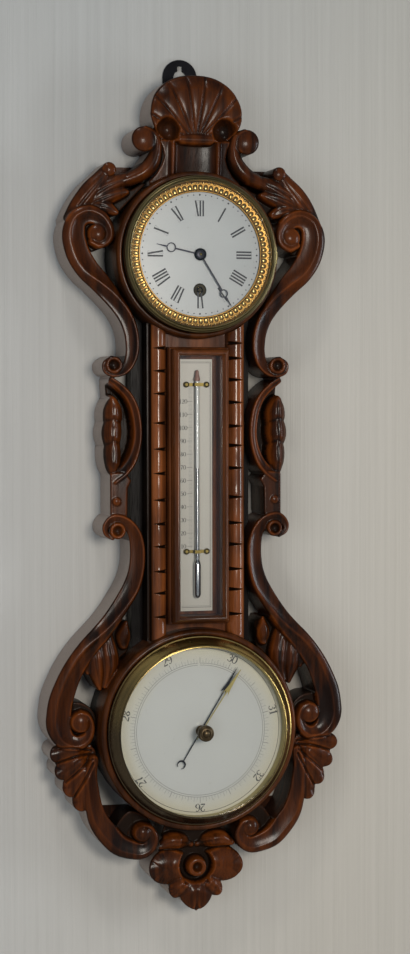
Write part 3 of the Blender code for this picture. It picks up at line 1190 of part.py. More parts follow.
def make_bezel(mount):
    """The hinged front: a brass ring that carries the glass and the gilt sight ring."""
    up = CLOCK_Z
    back = MOUNT_RING_FRONT + GAP
    outer, lip = MOUNT_RING_RADIUS, BEZEL_LIP_RADIUS
    inner = outer - BEZEL_WALL
    glass_radius = inner - GAP
    glass_back = CLOCK_GLASS_FRONT - CLOCK_GLASS_THICKNESS
    shelf = CLOCK_GLASS_FRONT + GAP
    profile = [(inner, back), (outer, back), (outer, BEZEL_FRONT - BEZEL_ROLL_DEPTH),
               (outer - BEZEL_SHOULDER, BEZEL_FRONT - BEZEL_SHOULDER),
               (outer - BEZEL_ROLL_WIDTH, BEZEL_FRONT), (lip, BEZEL_FRONT - BEZEL_LIP_DROP),
               (lip, shelf), (inner, shelf)]
    bezel = turned("clock_bezel", profile, BRASS_DULL, RING_STEPS, up=up)
    rod("clock_glass", glass_radius, glass_back, CLOCK_GLASS_FRONT, GLASS, RING_STEPS, up=up)
    sight_back = DIAL_FRONT + GAP + SIGHT_SEAT_RISE
    sight_front = glass_back - GAP
    sight = [(SIGHT_RADIUS, sight_back), (glass_radius, sight_back), (glass_radius, sight_front),
             (glass_radius - SIGHT_RIM_WIDTH, sight_front),
             (SIGHT_RADIUS + SIGHT_LIP_WIDTH, sight_back + SIGHT_LIP_HEIGHT)]
    turned("sight_ring", sight, GILT, RING_STEPS, up=up)
    near = HINGE_KNUCKLE_LENGTH / 2
    far = HINGE_KNUCKLE_LENGTH * HINGE_REACH_SHARE
    ear_reach = HINGE_OFFSET - HINGE_PIN_RADIUS - PIVOT_PLAY * 2
    ears = [hinge_knuckle("upper_knuckle", near + GAP, far, BRASS),
            hinge_knuckle("lower_knuckle", -far, -near - GAP, BRASS)]
    for low, high in ((near + GAP, far), (-far, -near - GAP)):
        ears.append(block("ear", (inner + BEZEL_WALL / 3, ear_reach), (up + low, up + high),
                          (back + GAP / 2, back + HINGE_KNUCKLE_RADIUS), BRASS))
    fused(bezel, ears)
    fixed = [hinge_knuckle("fixed_knuckle", -near, near, BRASS),
             block("fixed_ear", (outer - BEZEL_WALL, ear_reach), (up - near, up + near),
                   (MOUNT_RING_FRONT - HINGE_KNUCKLE_RADIUS, MOUNT_RING_FRONT - GAP / 2), BRASS)]
    fused(mount, fixed)
    pin = rod("bezel_hinge_pin", HINGE_PIN_RADIUS, -far, far, STEEL)
    pin.rotation_euler = (0, 0, 0)
    pin.location = (HINGE_OFFSET, -HINGE_FORWARD, up)


def make_dial():
    """The enamel dial, pierced for the hands and the key, on three feet."""
    up = CLOCK_Z
    back = DIAL_FRONT - DIAL_THICKNESS
    holes = [circle(DIAL_CENTRE_HOLE, 12), circle(WINDING_HOLE, 16, up=-WINDING_DROP)]
    dial = flat("clock_dial", [circle(DIAL_RADIUS, 48)] + holes, back, DIAL_FRONT, ENAMEL, up=up)
    feet = []
    for i in range(3):
        angle = math.radians(90 + 120 * i)
        place = (DIAL_FOOT_CIRCLE * math.cos(angle), up + DIAL_FOOT_CIRCLE * math.sin(angle))
        feet.append(rod(f"foot_{i}", DIAL_FOOT_RADIUS, FRONT_PLATE_FRONT + GAP, back + DIAL_THICKNESS / 2,
                        BRASS, 8, *place))
    fused(dial, feet)


def hand_outline(length, ring_at, ring_radius, boss_radius):
    """A moon hand that points up: boss, thin bar, open ring and a fine tip."""
    half = HAND_HALF_WIDTH
    boss_turn = math.degrees(math.asin(half / boss_radius))
    ring_turn = math.degrees(math.asin(half / ring_radius))
    outline = arc(boss_radius, 90 + boss_turn, 450 - boss_turn, 16)
    outline += arc(ring_radius, -90 + ring_turn, 90 - ring_turn, 8, up=ring_at)
    tip_foot = ring_at + ring_radius * HAND_TIP_SHARE
    outline += [(half, tip_foot), (half / 4, length), (-half / 4, length), (-half, tip_foot)]
    outline += arc(ring_radius, 90 + ring_turn, 270 - ring_turn, 8, up=ring_at)
    return [outline, circle(ring_radius - HAND_RING_WIDTH, 12, up=ring_at)]


def pointed(outlines, clock_angle):
    """Turn outlines that point up to an angle clockwise from twelve."""
    turn = -math.radians(clock_angle)
    cos, sin = math.cos(turn), math.sin(turn)
    return [[(x * cos - z * sin, x * sin + z * cos) for x, z in outline] for outline in outlines]


def make_hands():
    hour = hand_outline(HOUR_HAND_LENGTH, HOUR_RING_AT, HOUR_RING_RADIUS, HOUR_BOSS_RADIUS)
    hour.append(circle(HOUR_PIPE_RADIUS + GAP / 3, 12))
    flat("hour_hand", pointed(hour, HOUR_HAND_ANGLE), HOUR_HAND_BACK, HOUR_HAND_BACK + HAND_THICKNESS,
         BLUED, up=CLOCK_Z)
    minute = hand_outline(MINUTE_HAND_LENGTH, MINUTE_RING_AT, MINUTE_RING_RADIUS, MINUTE_BOSS_RADIUS)
    minute.append(circle(CENTRE_ARBOR_RADIUS + GAP / 3, 12))
    flat("minute_hand", pointed(minute, MINUTE_HAND_ANGLE), MINUTE_HAND_BACK,
         MINUTE_HAND_BACK + HAND_THICKNESS, BLUED, up=CLOCK_Z)


def arbor(name, body, finish, across, up, thick=ARBOR_RADIUS, front=FRONT_PLATE_FRONT):
    """An arbor between the plates with a finer pivot in each, joined to the wheels it carries."""
    back = BACK_PLATE_FRONT - PLATE_THICKNESS
    inside_back = BACK_PLATE_FRONT + GAP
    inside_front = FRONT_PLATE_FRONT - PLATE_THICKNESS - GAP
    profile = [(0, back), (PIVOT_RADIUS, back), (PIVOT_RADIUS, inside_back), (thick, inside_back),
               (thick, inside_front), (PIVOT_RADIUS, inside_front), (PIVOT_RADIUS, front), (0, front)]
    return fused(turned(name, profile, finish, 10, across, up), body)


def make_movement():
    """Two plates with the going train between them and the motion work in front."""
    up = CLOCK_Z
    barrel_module = 2 * WINDING_DROP / (BARREL_TEETH + CENTRE_PINION_LEAVES)
    third_distance = CENTRE_MODULE * (CENTRE_TEETH + THIRD_PINION_LEAVES) / 2
    fourth_distance = THIRD_MODULE * (THIRD_TEETH + FOURTH_PINION_LEAVES) / 2
    to_third, to_fourth = math.radians(THIRD_ARBOR_ANGLE), math.radians(FOURTH_ARBOR_ANGLE)
    third = (third_distance * math.cos(to_third), third_distance * math.sin(to_third))
    fourth = (third[0] + fourth_distance * math.cos(to_fourth),
              third[1] + fourth_distance * math.sin(to_fourth))
    to_motion = math.radians(MOTION_ANGLE)
    minute = (MOTION_DISTANCE * math.cos(to_motion), MOTION_DISTANCE * math.sin(to_motion))
    make_plates(third, fourth, minute)
    barrel_phase = math.radians(90)
    centre_phase = meshing_phase(BARREL_TEETH, barrel_phase, CENTRE_PINION_LEAVES, math.radians(90))
    make_barrel(barrel_module, barrel_phase)
    make_centre(barrel_module, centre_phase, to_third)
    third_phase = meshing_phase(CENTRE_TEETH, to_third, THIRD_PINION_LEAVES, to_third)
    fourth_phase = meshing_phase(THIRD_TEETH, to_fourth, FOURTH_PINION_LEAVES, to_fourth)
    thin = WHEEL_THICKNESS
    place = {"across": third[0], "up": up + third[1]}
    parts = [gear("third_rim", THIRD_TEETH, THIRD_MODULE, to_fourth, THIRD_WHEEL_BACK, thin, BRASS,
                  **place),
             gear("third_pinion", THIRD_PINION_LEAVES, CENTRE_MODULE, third_phase,
                  CENTRE_WHEEL_BACK - PINION_LENGTH / 3, PINION_LENGTH, STEEL, LEAF_TIP_SHARE,
                  LEAF_TOOTH_SHARES, **place)]
    arbor("third_wheel", parts, BRASS, **place)
    place = {"across": fourth[0], "up": up + fourth[1]}
    crown = FOURTH_WHEEL_BACK + thin
    rim = FOURTH_WHEEL_RADIUS - CROWN_WIDTH
    crown_front = crown + CROWN_HEIGHT
    profile = [(0, FOURTH_WHEEL_BACK), (FOURTH_WHEEL_RADIUS, FOURTH_WHEEL_BACK),
               (FOURTH_WHEEL_RADIUS, crown_front), (rim, crown_front), (rim, crown), (0, crown)]
    parts = [turned("fourth_rim", profile, BRASS, 24, **place),
             gear("fourth_pinion", FOURTH_PINION_LEAVES, THIRD_MODULE, fourth_phase,
                  THIRD_WHEEL_BACK - PINION_LENGTH / 3, PINION_LENGTH, STEEL, LEAF_TIP_SHARE,
                  LEAF_TOOTH_SHARES, **place)]
    arbor("fourth_wheel", parts, BRASS, **place)
    make_motion_work(minute, to_motion)
    make_platform(fourth[0])


def make_plates(third, fourth, minute):
    """The two movement plates, bored for their arbors, with pillars that hold them apart."""
    up = CLOCK_Z
    pivot = PIVOT_RADIUS + PIVOT_PLAY * 2
    back = BACK_PLATE_FRONT - PLATE_THICKNESS
    bores = [circle(pivot, 12, *third), circle(pivot, 12, *fourth),
             circle(WINDING_ARBOR_RADIUS + GAP, 12, up=-WINDING_DROP)]
    front_bores = bores + [circle(CENTRE_ARBOR_RADIUS + PIVOT_PLAY * 2, 12), circle(pivot, 12, *minute)]
    flat("front_plate", [circle(MOUNT_RING_BORE - GAP, 40)] + front_bores,
         FRONT_PLATE_FRONT - PLATE_THICKNESS, FRONT_PLATE_FRONT, BRASS, up=up)
    plate = flat("back_plate", [circle(BACK_PLATE_RADIUS, 32)] + bores + [circle(pivot, 12)],
                 back, BACK_PLATE_FRONT, BRASS, up=up)
    pillars = []
    for angle in PILLAR_ANGLES:
        turn = math.radians(angle)
        pillars.append(rod(f"pillar_{angle}", PILLAR_RADIUS, back + PLATE_THICKNESS / 2,
                           FRONT_PLATE_FRONT - PLATE_THICKNESS - GAP, BRASS, 10,
                           PILLAR_CIRCLE * math.cos(turn), up + PILLAR_CIRCLE * math.sin(turn)))
    fused(plate, pillars)


def make_barrel(module, phase):
    """The toothed barrel with its mainspring, on the winding arbor that passes the dial."""
    up = CLOCK_Z - WINDING_DROP
    root = BARREL_TEETH * module / 2 - TOOTH_ROOT_SHARE * module
    rim = root - BARREL_WALL
    bore = WINDING_ARBOR_RADIUS + 2 * GAP
    drum = turned("mainspring_barrel", [
        (bore, BARREL_BACK), (root, BARREL_BACK), (root, BARREL_FRONT), (rim, BARREL_FRONT),
        (rim, BARREL_BACK + BARREL_WALL), (bore, BARREL_BACK + BARREL_WALL)], BRASS, 32, up=up)
    teeth = gear("barrel_teeth", BARREL_TEETH, module, phase, BARREL_BACK - WHEEL_THICKNESS / 2,
                 2 * WHEEL_THICKNESS, BRASS, BARREL_TOOTH_SHARE, WHEEL_TOOTH_SHARES,
                 [circle(root - 2 * BARREL_WALL, 24)], up=up)
    fused(drum, [teeth])
    tube("barrel_cover", rim - GAP, bore, BARREL_FRONT - BARREL_WALL, BARREL_FRONT, BRASS, 24, up=up)
    steps = SPRING_STEPS
    outer = rim - 2 * GAP - SPRING_THICKNESS
    sections = []
    for i in range(SPRING_TURNS * steps + 1):
        angle = math.tau * i / steps
        radius = SPRING_INNER + (outer - SPRING_INNER) * i / (SPRING_TURNS * steps)
        cos, sin = math.cos(angle), math.sin(angle)
        inner = radius - SPRING_THICKNESS
        low, high = SPRING_BACK, SPRING_BACK + SPRING_HEIGHT
        sections.append([(radius * cos, radius * sin, low), (radius * cos, radius * sin, high),
                         (inner * cos, inner * sin, high), (inner * cos, inner * sin, low)])
    loft("mainspring", sections, STEEL, up=up)
    rod("winding_arbor", WINDING_ARBOR_RADIUS, BACK_PLATE_FRONT - PLATE_THICKNESS, WINDING_ARBOR_FRONT,
        STEEL, 4, up=up)


def make_centre(barrel_module, centre_phase, to_third):
    """The centre arbor: pinion, centre wheel, cannon wheel and the post that takes the minute hand."""
    up = CLOCK_Z
    back = BACK_PLATE_FRONT - PLATE_THICKNESS
    front = MINUTE_HAND_BACK + 2 * HAND_THICKNESS
    inside_back = BACK_PLATE_FRONT + GAP
    profile = [(0, back), (PIVOT_RADIUS, back), (PIVOT_RADIUS, inside_back),
               (CENTRE_ARBOR_RADIUS, inside_back), (CENTRE_ARBOR_RADIUS, front), (0, front)]
    core = turned("centre_wheel", profile, BRASS, 12, up=up)
    pinion_back = BARREL_BACK - WHEEL_THICKNESS
    parts = [gear("centre_pinion", CENTRE_PINION_LEAVES, barrel_module, centre_phase, pinion_back,
                  PINION_LENGTH, STEEL, LEAF_TIP_SHARE, LEAF_TOOTH_SHARES, up=up),
             gear("centre_rim", CENTRE_TEETH, CENTRE_MODULE, to_third, CENTRE_WHEEL_BACK, WHEEL_THICKNESS,
                  BRASS, up=up)]
    cannon_module = 2 * MOTION_DISTANCE / (CANNON_TEETH + MINUTE_WHEEL_TEETH)
    to_motion = math.radians(MOTION_ANGLE)
    parts.append(gear("cannon", CANNON_TEETH, cannon_module, to_motion, CANNON_WHEEL_BACK, MOTION_THICKNESS,
                      BRASS, LEAF_TIP_SHARE, LEAF_TOOTH_SHARES, up=up))
    fused(core, parts)


def make_motion_work(minute, to_motion):
    """The wheels behind the dial that turn the hour hand once for twelve turns of the minute hand."""
    up = CLOCK_Z
    cannon_module = 2 * MOTION_DISTANCE / (CANNON_TEETH + MINUTE_WHEEL_TEETH)
    hour_module = 2 * MOTION_DISTANCE / (MINUTE_PINION_LEAVES + HOUR_WHEEL_TEETH)
    wheel_phase = meshing_phase(CANNON_TEETH, to_motion, MINUTE_WHEEL_TEETH, to_motion)
    pinion_phase = to_motion + math.pi
    hour_phase = meshing_phase(MINUTE_PINION_LEAVES, pinion_phase, HOUR_WHEEL_TEETH, to_motion + math.pi)
    place = {"across": minute[0], "up": up + minute[1]}
    foot = FRONT_PLATE_FRONT - PLATE_THICKNESS
    seat = CANNON_WHEEL_BACK + MOTION_THICKNESS / 2
    top = HOUR_WHEEL_BACK + 3 * MOTION_THICKNESS / 2
    profile = [(0, foot), (PIVOT_RADIUS, foot), (PIVOT_RADIUS, seat), (ARBOR_RADIUS, seat),
               (ARBOR_RADIUS, top), (0, top)]
    stud = turned("minute_wheel", profile, BRASS, 10, **place)
    fused(stud, [
        gear("minute_rim", MINUTE_WHEEL_TEETH, cannon_module, wheel_phase, CANNON_WHEEL_BACK,
             MOTION_THICKNESS, BRASS, **place),
        gear("minute_pinion", MINUTE_PINION_LEAVES, hour_module, pinion_phase, seat,
             HOUR_WHEEL_BACK - CANNON_WHEEL_BACK + MOTION_THICKNESS / 2, BRASS, LEAF_TIP_SHARE,
             LEAF_TOOTH_SHARES, **place)])
    pipe = tube("hour_wheel", HOUR_PIPE_RADIUS, HOUR_PIPE_BORE, HOUR_WHEEL_BACK,
                HOUR_HAND_BACK + HAND_THICKNESS, BRASS, 12, up=up)
    rim = gear("hour_rim", HOUR_WHEEL_TEETH, hour_module, hour_phase, HOUR_WHEEL_BACK + GAP,
               MOTION_THICKNESS, BRASS, BARREL_TOOTH_SHARE, WHEEL_TOOTH_SHARES,
               [circle((HOUR_PIPE_BORE + HOUR_PIPE_RADIUS) / 2, 12)], up=up)
    fused(pipe, [rim])


def make_platform(across):
    """The platform between the plates that carries the balance, with its cock."""
    base = CLOCK_Z + PLATFORM_RISE
    middle = (BACK_PLATE_FRONT + FRONT_PLATE_FRONT - PLATE_THICKNESS) / 2
    depth = (BACK_PLATE_FRONT + GAP, FRONT_PLATE_FRONT - PLATE_THICKNESS - GAP)
    half = PLATFORM_HALF_WIDTH
    plate = block("escapement_platform", (across - half, across + half), (base, base + PLATFORM_THICKNESS),
                  depth, BRASS)
    top = base + PLATFORM_THICKNESS + COCK_RISE
    post = block("cock_post", (across - half, across + half), (base + PLATFORM_THICKNESS / 2, top),
                 (depth[0], depth[0] + COCK_POST), BRASS)
    arm = block("cock_arm", (across - COCK_POST, across + COCK_POST),
                (top - PLATFORM_THICKNESS / 2, top + PLATFORM_THICKNESS / 2),
                (depth[0] + COCK_POST / 2, middle + COCK_POST), BRASS)
    fused(plate, [post, arm])
    rise = PLATFORM_THICKNESS + BALANCE_RISE
    rim = tube("balance", BALANCE_RADIUS, BALANCE_RADIUS - BALANCE_RIM, rise, rise + BALANCE_RIM, BRASS, 24)
    staff = rod("staff", PIVOT_RADIUS, PLATFORM_THICKNESS + GAP, PLATFORM_THICKNESS / 2 + COCK_RISE - GAP,
                STEEL, 8)
    spoke = block("spoke", (-BALANCE_RADIUS + BALANCE_RIM / 2, BALANCE_RADIUS - BALANCE_RIM / 2),
                  (-BALANCE_RIM, BALANCE_RIM), (rise + BALANCE_RIM / 4, rise + BALANCE_RIM * 3 / 4), BRASS)
    wheel = fused(rim, [staff, spoke])
    wheel.rotation_euler = (0, 0, 0)
    wheel.location = (across, -middle, base)


def make_barometer():
    up = BAROMETER_Z
    outer, wall = BARO_CASE_RADIUS, BARO_CASE_WALL
    floor_front = BARO_CASE_BACK + wall
    case = [(0, BARO_CASE_BACK), (outer, BARO_CASE_BACK), (outer, BARO_FLANGE_BACK),
            (BARO_FLANGE_RADIUS, BARO_FLANGE_BACK), (BARO_FLANGE_RADIUS, BARO_FLANGE_FRONT),
            (outer - wall, BARO_FLANGE_FRONT), (outer - wall, floor_front), (0, floor_front)]
    turned("barometer_case", case, BRASS, RING_STEPS, up=up)
    back = BARO_FLANGE_FRONT + GAP
    glass_front = BARO_GLASS_BACK + BARO_GLASS_THICKNESS
    shelf = glass_front + GAP
    lip, front, wide = BARO_LIP_RADIUS, BARO_BEZEL_FRONT, BARO_BEZEL_RADIUS
    width = wide - lip
    inner = BARO_GLASS_RADIUS + GAP
    foot = wide - BARO_BEZEL_FOOT_WIDTH
    bezel = [(foot, back), (wide, back)]
    bezel += [(wide - width * inset, front - BARO_BEZEL_CROWN * drop)
              for inset, drop in BEZEL_SECTION_SHARES]
    bezel += [(lip + BARO_LIP_WIDTH, front), (lip, front - BARO_LIP_DROP), (lip, shelf), (inner, shelf),
              (inner, BARO_GLASS_BACK - GAP), (foot, BARO_GLASS_BACK - 3 * GAP)]
    turned("barometer_bezel", bezel, BRASS_DULL, RING_STEPS, up=up)
    tube("barometer_glass", BARO_GLASS_RADIUS, BARO_GLASS_HOLE, BARO_GLASS_BACK, glass_front, GLASS,
         RING_STEPS, up=up)
    tube("barometer_dial", BARO_DIAL_RADIUS, BARO_DIAL_HOLE, BARO_DIAL_FRONT - BARO_DIAL_THICKNESS,
         BARO_DIAL_FRONT, CREAM, RING_STEPS, up=up)
    make_indicator()
    make_set_hand()
    make_aneroid()


def make_indicator():
    """The blued indicator with its barb and crescent, and the arbor that it turns with."""
    up = BAROMETER_Z
    half, boss, tail = BARO_HAND_HALF_WIDTH, BARO_BOSS_RADIUS, BARO_CRESCENT_RADIUS
    turn = math.degrees(math.asin(half / boss))
    foot, barb = BARO_BARB_AT - BARO_BARB_SPREAD, BARO_BARB_AT + 2 * BARO_BARB_SPREAD
    outline = arc(boss, -90 + turn, 90 - turn, 8)
    outline += [(half, BARO_BARB_AT), (BARO_BARB_SPREAD, foot), (half, barb),
                (half / 4, BARO_HAND_LENGTH), (-half / 4, BARO_HAND_LENGTH),
                (-half, barb), (-BARO_BARB_SPREAD, foot), (-half, BARO_BARB_AT)]
    outline += arc(boss, 90 + turn, 270 - turn, 8)
    middle = -BARO_HAND_TAIL + tail
    join = 90 - math.degrees(math.asin(half / tail))
    outline += arc(tail, 180 - join, 235, 7, up=middle)
    outline += arc(tail * CRESCENT_BORE_SHARE, 225, -45, 9, up=middle - tail * CRESCENT_DROP_SHARE)
    outline += arc(tail, -55, join, 7, up=middle)
    flat("indicator_hand", pointed([outline], INDICATOR_ANGLE), INDICATOR_BACK,
         INDICATOR_BACK + HAND_THICKNESS, BLUED, up=up)
    pulley_front = PULLEY_BACK + PULLEY_HEIGHT
    arbor_front = INDICATOR_BACK - GAP
    profile = [(0, PULLEY_BACK), (PULLEY_RADIUS, PULLEY_BACK), (PULLEY_RADIUS, pulley_front),
               (HAND_ARBOR_RADIUS, pulley_front), (HAND_ARBOR_RADIUS, arbor_front), (0, arbor_front)]
    turned("hand_arbor", profile, STEEL, 12, up=up)


def make_set_hand():
    """The brass set hand, with the knob that goes through the glass."""
    up = BAROMETER_Z
    half, boss = BARO_HAND_HALF_WIDTH, BARO_BOSS_RADIUS
    turn = math.degrees(math.asin(half / boss))
    foot = BARO_BARB_AT - BARO_BARB_SPREAD
    needle = arc(boss, 90 + turn, 450 - turn, 16)
    needle += [(half, foot), (half, BARO_BARB_AT), (half / 4, BARO_HAND_LENGTH),
               (-half / 4, BARO_HAND_LENGTH), (-half, BARO_BARB_AT)]
    set_hand = flat("set_hand", pointed([needle], SET_HAND_ANGLE), SET_HAND_BACK,
                    SET_HAND_BACK + HAND_THICKNESS, BRASS, up=up)
    stem_back = SET_HAND_BACK + HAND_THICKNESS / 2
    knob = [(0, stem_back), (SET_STEM_RADIUS, stem_back), (SET_STEM_RADIUS, SET_KNOB_BACK)]
    knob += [(SET_KNOB_RADIUS * across, SET_KNOB_BACK + SET_KNOB_HEIGHT * rise)
             for across, rise in KNOB_SECTION_SHARES]
    fused(set_hand, [turned("set_stem", knob, BRASS, 24, up=up)])


def make_aneroid():
    """The vacuum capsule, its spring and the levers that draw the chain off the hand's arbor."""
    up = BAROMETER_Z
    seat = BASE_PLATE_BACK
    top = seat + PLATE_THICKNESS
    base = rod("aneroid_base", BASE_PLATE_RADIUS, seat, top, BRASS, 32, up=up)
    posts = [rod(f"bridge_post_{side}", BRIDGE_POST_RADIUS, top - PLATE_THICKNESS / 2, BRIDGE_BACK - GAP,
                 BRASS, 10, up=up + side * (BRIDGE_HALF_LENGTH - BRIDGE_POST_RADIUS)) for side in (-1, 1)]
    for side in (-1, 1):
        end = side * (ROCKER_HALF_LENGTH - ROCKER_POST_RADIUS)
        posts.append(rod(f"rocker_post_{side}", ROCKER_POST_RADIUS, top - PLATE_THICKNESS / 2,
                         ROCKER_FORWARD - ROCKER_RADIUS - GAP, BRASS, 10, ROCKER_ACROSS, up + end))
    fused(base, posts)
    half = BRIDGE_HALF_WIDTH
    bridge = block("arbor_bridge", (-half, half), (up - BRIDGE_HALF_LENGTH, up + BRIDGE_HALF_LENGTH),
                   (BRIDGE_BACK, BRIDGE_BACK + BRIDGE_THICKNESS), BRASS)
    bore = rod("arbor_bore", HAND_ARBOR_RADIUS + PIVOT_PLAY * 2, 0, INDICATOR_BACK, BRASS, 12, up=up)
    fused(bridge, cutters=[as_cutter(bore)])
    make_capsule(up, top)
    make_linkage(up, top)


def make_capsule(up, seat):
    """The ribbed vacuum box, with a post behind it and one before it."""
    post = CAPSULE_POST_RADIUS
    post_front = C_SPRING_FRONT - C_SPRING_THICKNESS - GAP
    pitch = (CAPSULE_RADIUS - post) / (2 * CAPSULE_RIDGES)
    ribs = [(post + pitch * i, CAPSULE_RIDGE_HEIGHT * (i % 2)) for i in range(1, 2 * CAPSULE_RIDGES)]
    profile = [(0, seat + GAP), (post, seat + GAP), (post, CAPSULE_BACK)]
    profile += [(radius, CAPSULE_BACK - height) for radius, height in ribs]
    profile += [(CAPSULE_RADIUS, CAPSULE_BACK), (CAPSULE_RADIUS, CAPSULE_FRONT)]
    profile += [(radius, CAPSULE_FRONT + height) for radius, height in reversed(ribs)]
    profile += [(post, CAPSULE_FRONT), (post, post_front), (0, post_front)]
    turned("vacuum_capsule", profile, BRASS, 20, up=up)


def make_linkage(up, seat):
    """The C-spring over the capsule, the lever on it, the rocking shaft and the chain."""
    reach, thick, front = C_SPRING_REACH, C_SPRING_THICKNESS, C_SPRING_FRONT
    tip = CAPSULE_POST_RADIUS
    middle = (front + seat + GAP) / 2
    bend = (front - seat - GAP) / 2
    round_outside = arc(bend, 90, 270, 8, -reach + bend, middle)
    round_inside = arc(bend - thick, 90, 270, 8, -reach + bend, middle)
    outer = [(tip, front)] + round_outside
    inner = [(tip, front - thick)] + round_inside
    foot = -CAPSULE_POST_RADIUS - thick
    outline = outer + [(foot, seat + GAP), (foot, seat + GAP + thick)] + list(reversed(inner))
    ends = (up - C_SPRING_HALF_WIDTH, up + C_SPRING_HALF_WIDTH)
    spring = [[(x, end - up, forward) for x, forward in outline] for end in ends]
    loft("c_spring", spring, STEEL, up=up)
    low = front + GAP
    half = LEVER_HALF_WIDTH
    block("main_lever", (0, LEVER_END), (up - half, up + half), (low, low + LEVER_THICKNESS), BRASS)
    shaft = rod("rocking_shaft", ROCKER_RADIUS, -ROCKER_HALF_LENGTH, ROCKER_HALF_LENGTH, STEEL, 10)
    arm = block("rocker_arm", (-half, half), (CHAIN_RISE - half, CHAIN_RISE + half), (0, ROCKER_ARM), BRASS)
    for vertex in arm.data.vertices:
        x, z, forward = vertex.co
        vertex.co = (x, -forward, z)
    arm.rotation_euler = (0, 0, 0)
    shaft.rotation_euler = (0, 0, 0)
    rocker = fused(shaft, [arm])
    rocker.location = (ROCKER_ACROSS, -ROCKER_FORWARD, up)
    chain_forward = PULLEY_BACK + PULLEY_HEIGHT / 2
    links = rod("fusee_chain", CHAIN_RADIUS, PULLEY_RADIUS + GAP, ROCKER_ACROSS - half - GAP, STEEL, 6)
    links.rotation_euler = (0, math.radians(90), 0)
    links.location = (0, -chain_forward, up + CHAIN_RISE / 2)


def make_case():
    make_backboard()
    make_ring("clock_surround", CLOCK_RING_RADIUS, MOUNT_RING_RADIUS + GAP, CLOCK_RING_FRONT, CLOCK_Z)
    make_ring("barometer_surround", BAROMETER_RING_RADIUS, BARO_BEZEL_RADIUS + GAP, BAROMETER_RING_FRONT,
              BAROMETER_Z)
    make_trunk()
    right = make_side()
    mirrored(right, "carved_side_left", OAK)
    make_crest()
    make_pendant()
    make_hanger()


make_case()
make_thermometer()
make_clock()
make_barometer()
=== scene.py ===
# %% [markdown]
# # A carved oak wall barometer with a clock
# The case is oak, carved and varnished dark. A clock looks out at the top, an aneroid barometer at the
# bottom, and a thermometer sits in the trunk between them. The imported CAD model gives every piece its
# place. This script gives each one its looks, piece by piece, and leaves every size as it is.

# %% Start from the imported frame
import json
import math

import bmesh
import bpy
import numpy as np
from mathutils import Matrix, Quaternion, Vector

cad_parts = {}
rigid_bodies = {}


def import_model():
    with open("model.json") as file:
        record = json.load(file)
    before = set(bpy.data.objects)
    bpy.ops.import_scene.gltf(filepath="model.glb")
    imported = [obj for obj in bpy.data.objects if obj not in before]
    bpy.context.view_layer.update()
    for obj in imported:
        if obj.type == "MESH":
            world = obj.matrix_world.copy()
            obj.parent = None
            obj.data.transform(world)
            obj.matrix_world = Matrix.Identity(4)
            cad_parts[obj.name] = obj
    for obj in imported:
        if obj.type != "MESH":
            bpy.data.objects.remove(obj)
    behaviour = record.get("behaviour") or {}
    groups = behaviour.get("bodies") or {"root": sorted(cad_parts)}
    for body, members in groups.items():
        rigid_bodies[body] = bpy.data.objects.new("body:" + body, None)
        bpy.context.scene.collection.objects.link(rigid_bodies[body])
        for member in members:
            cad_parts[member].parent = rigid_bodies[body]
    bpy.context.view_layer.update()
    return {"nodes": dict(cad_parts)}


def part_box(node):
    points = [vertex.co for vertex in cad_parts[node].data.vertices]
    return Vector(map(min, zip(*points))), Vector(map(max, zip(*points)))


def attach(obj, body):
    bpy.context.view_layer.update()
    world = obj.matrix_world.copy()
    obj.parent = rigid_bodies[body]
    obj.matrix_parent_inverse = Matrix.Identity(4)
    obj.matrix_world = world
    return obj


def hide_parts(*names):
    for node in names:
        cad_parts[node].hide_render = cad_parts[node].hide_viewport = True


for old in list(bpy.data.objects):
    bpy.data.objects.remove(old)
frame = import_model()
MM = 0.001
CLOCK_Z = sum(corner.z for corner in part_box("clock_bezel")) / 2
BAROMETER_Z = sum(corner.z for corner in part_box("barometer_dial")) / 2
print("dial centres:", round(CLOCK_Z / MM, 1), "and", round(BAROMETER_Z / MM, 1), "mm from the middle")

# %% [markdown]
# ## The camera
# The photograph was taken from a little to the left, about level with the middle of the trunk and from
# about two metres away. A perspective camera there shows the same left flanks of the carving as the
# photograph does. The frame is upright, so the sensor width counts along its height.

# %% Place the camera where the photograph was taken
CAMERA_PLACE = Vector((-0.4913, -1.8596, 0.0640))
CAMERA_AIM = Vector((0.26494, 0.96360, -0.03518))
CAMERA_LENS = 76.52
CAMERA_ROLL = math.radians(-0.1)

camera_data = bpy.data.cameras.new("camera")
camera_data.lens = CAMERA_LENS
camera_data.sensor_width = 36.0
camera = bpy.data.objects.new("camera", camera_data)
camera.location = CAMERA_PLACE
camera.rotation_mode = "QUATERNION"
camera.rotation_quaternion = CAMERA_AIM.to_track_quat("-Z", "Y") @ Quaternion((0, 0, 1), CAMERA_ROLL)
bpy.context.scene.collection.objects.link(camera)
bpy.context.scene.camera = camera
bpy.context.scene.view_settings.view_transform = "Standard"
print("camera is", round(CAMERA_PLACE.length, 2), "m from the middle of the trunk")

# %% [markdown]
# ## Maths for the materials
# A material is a tree of nodes. Long sums are easier to read as Python than as chains of Math nodes, so
# a small class stands for one socket, and its operators add the Math node that does the same sum.
# Every other node comes from one method, which sets the node up and then fills or links its sockets.

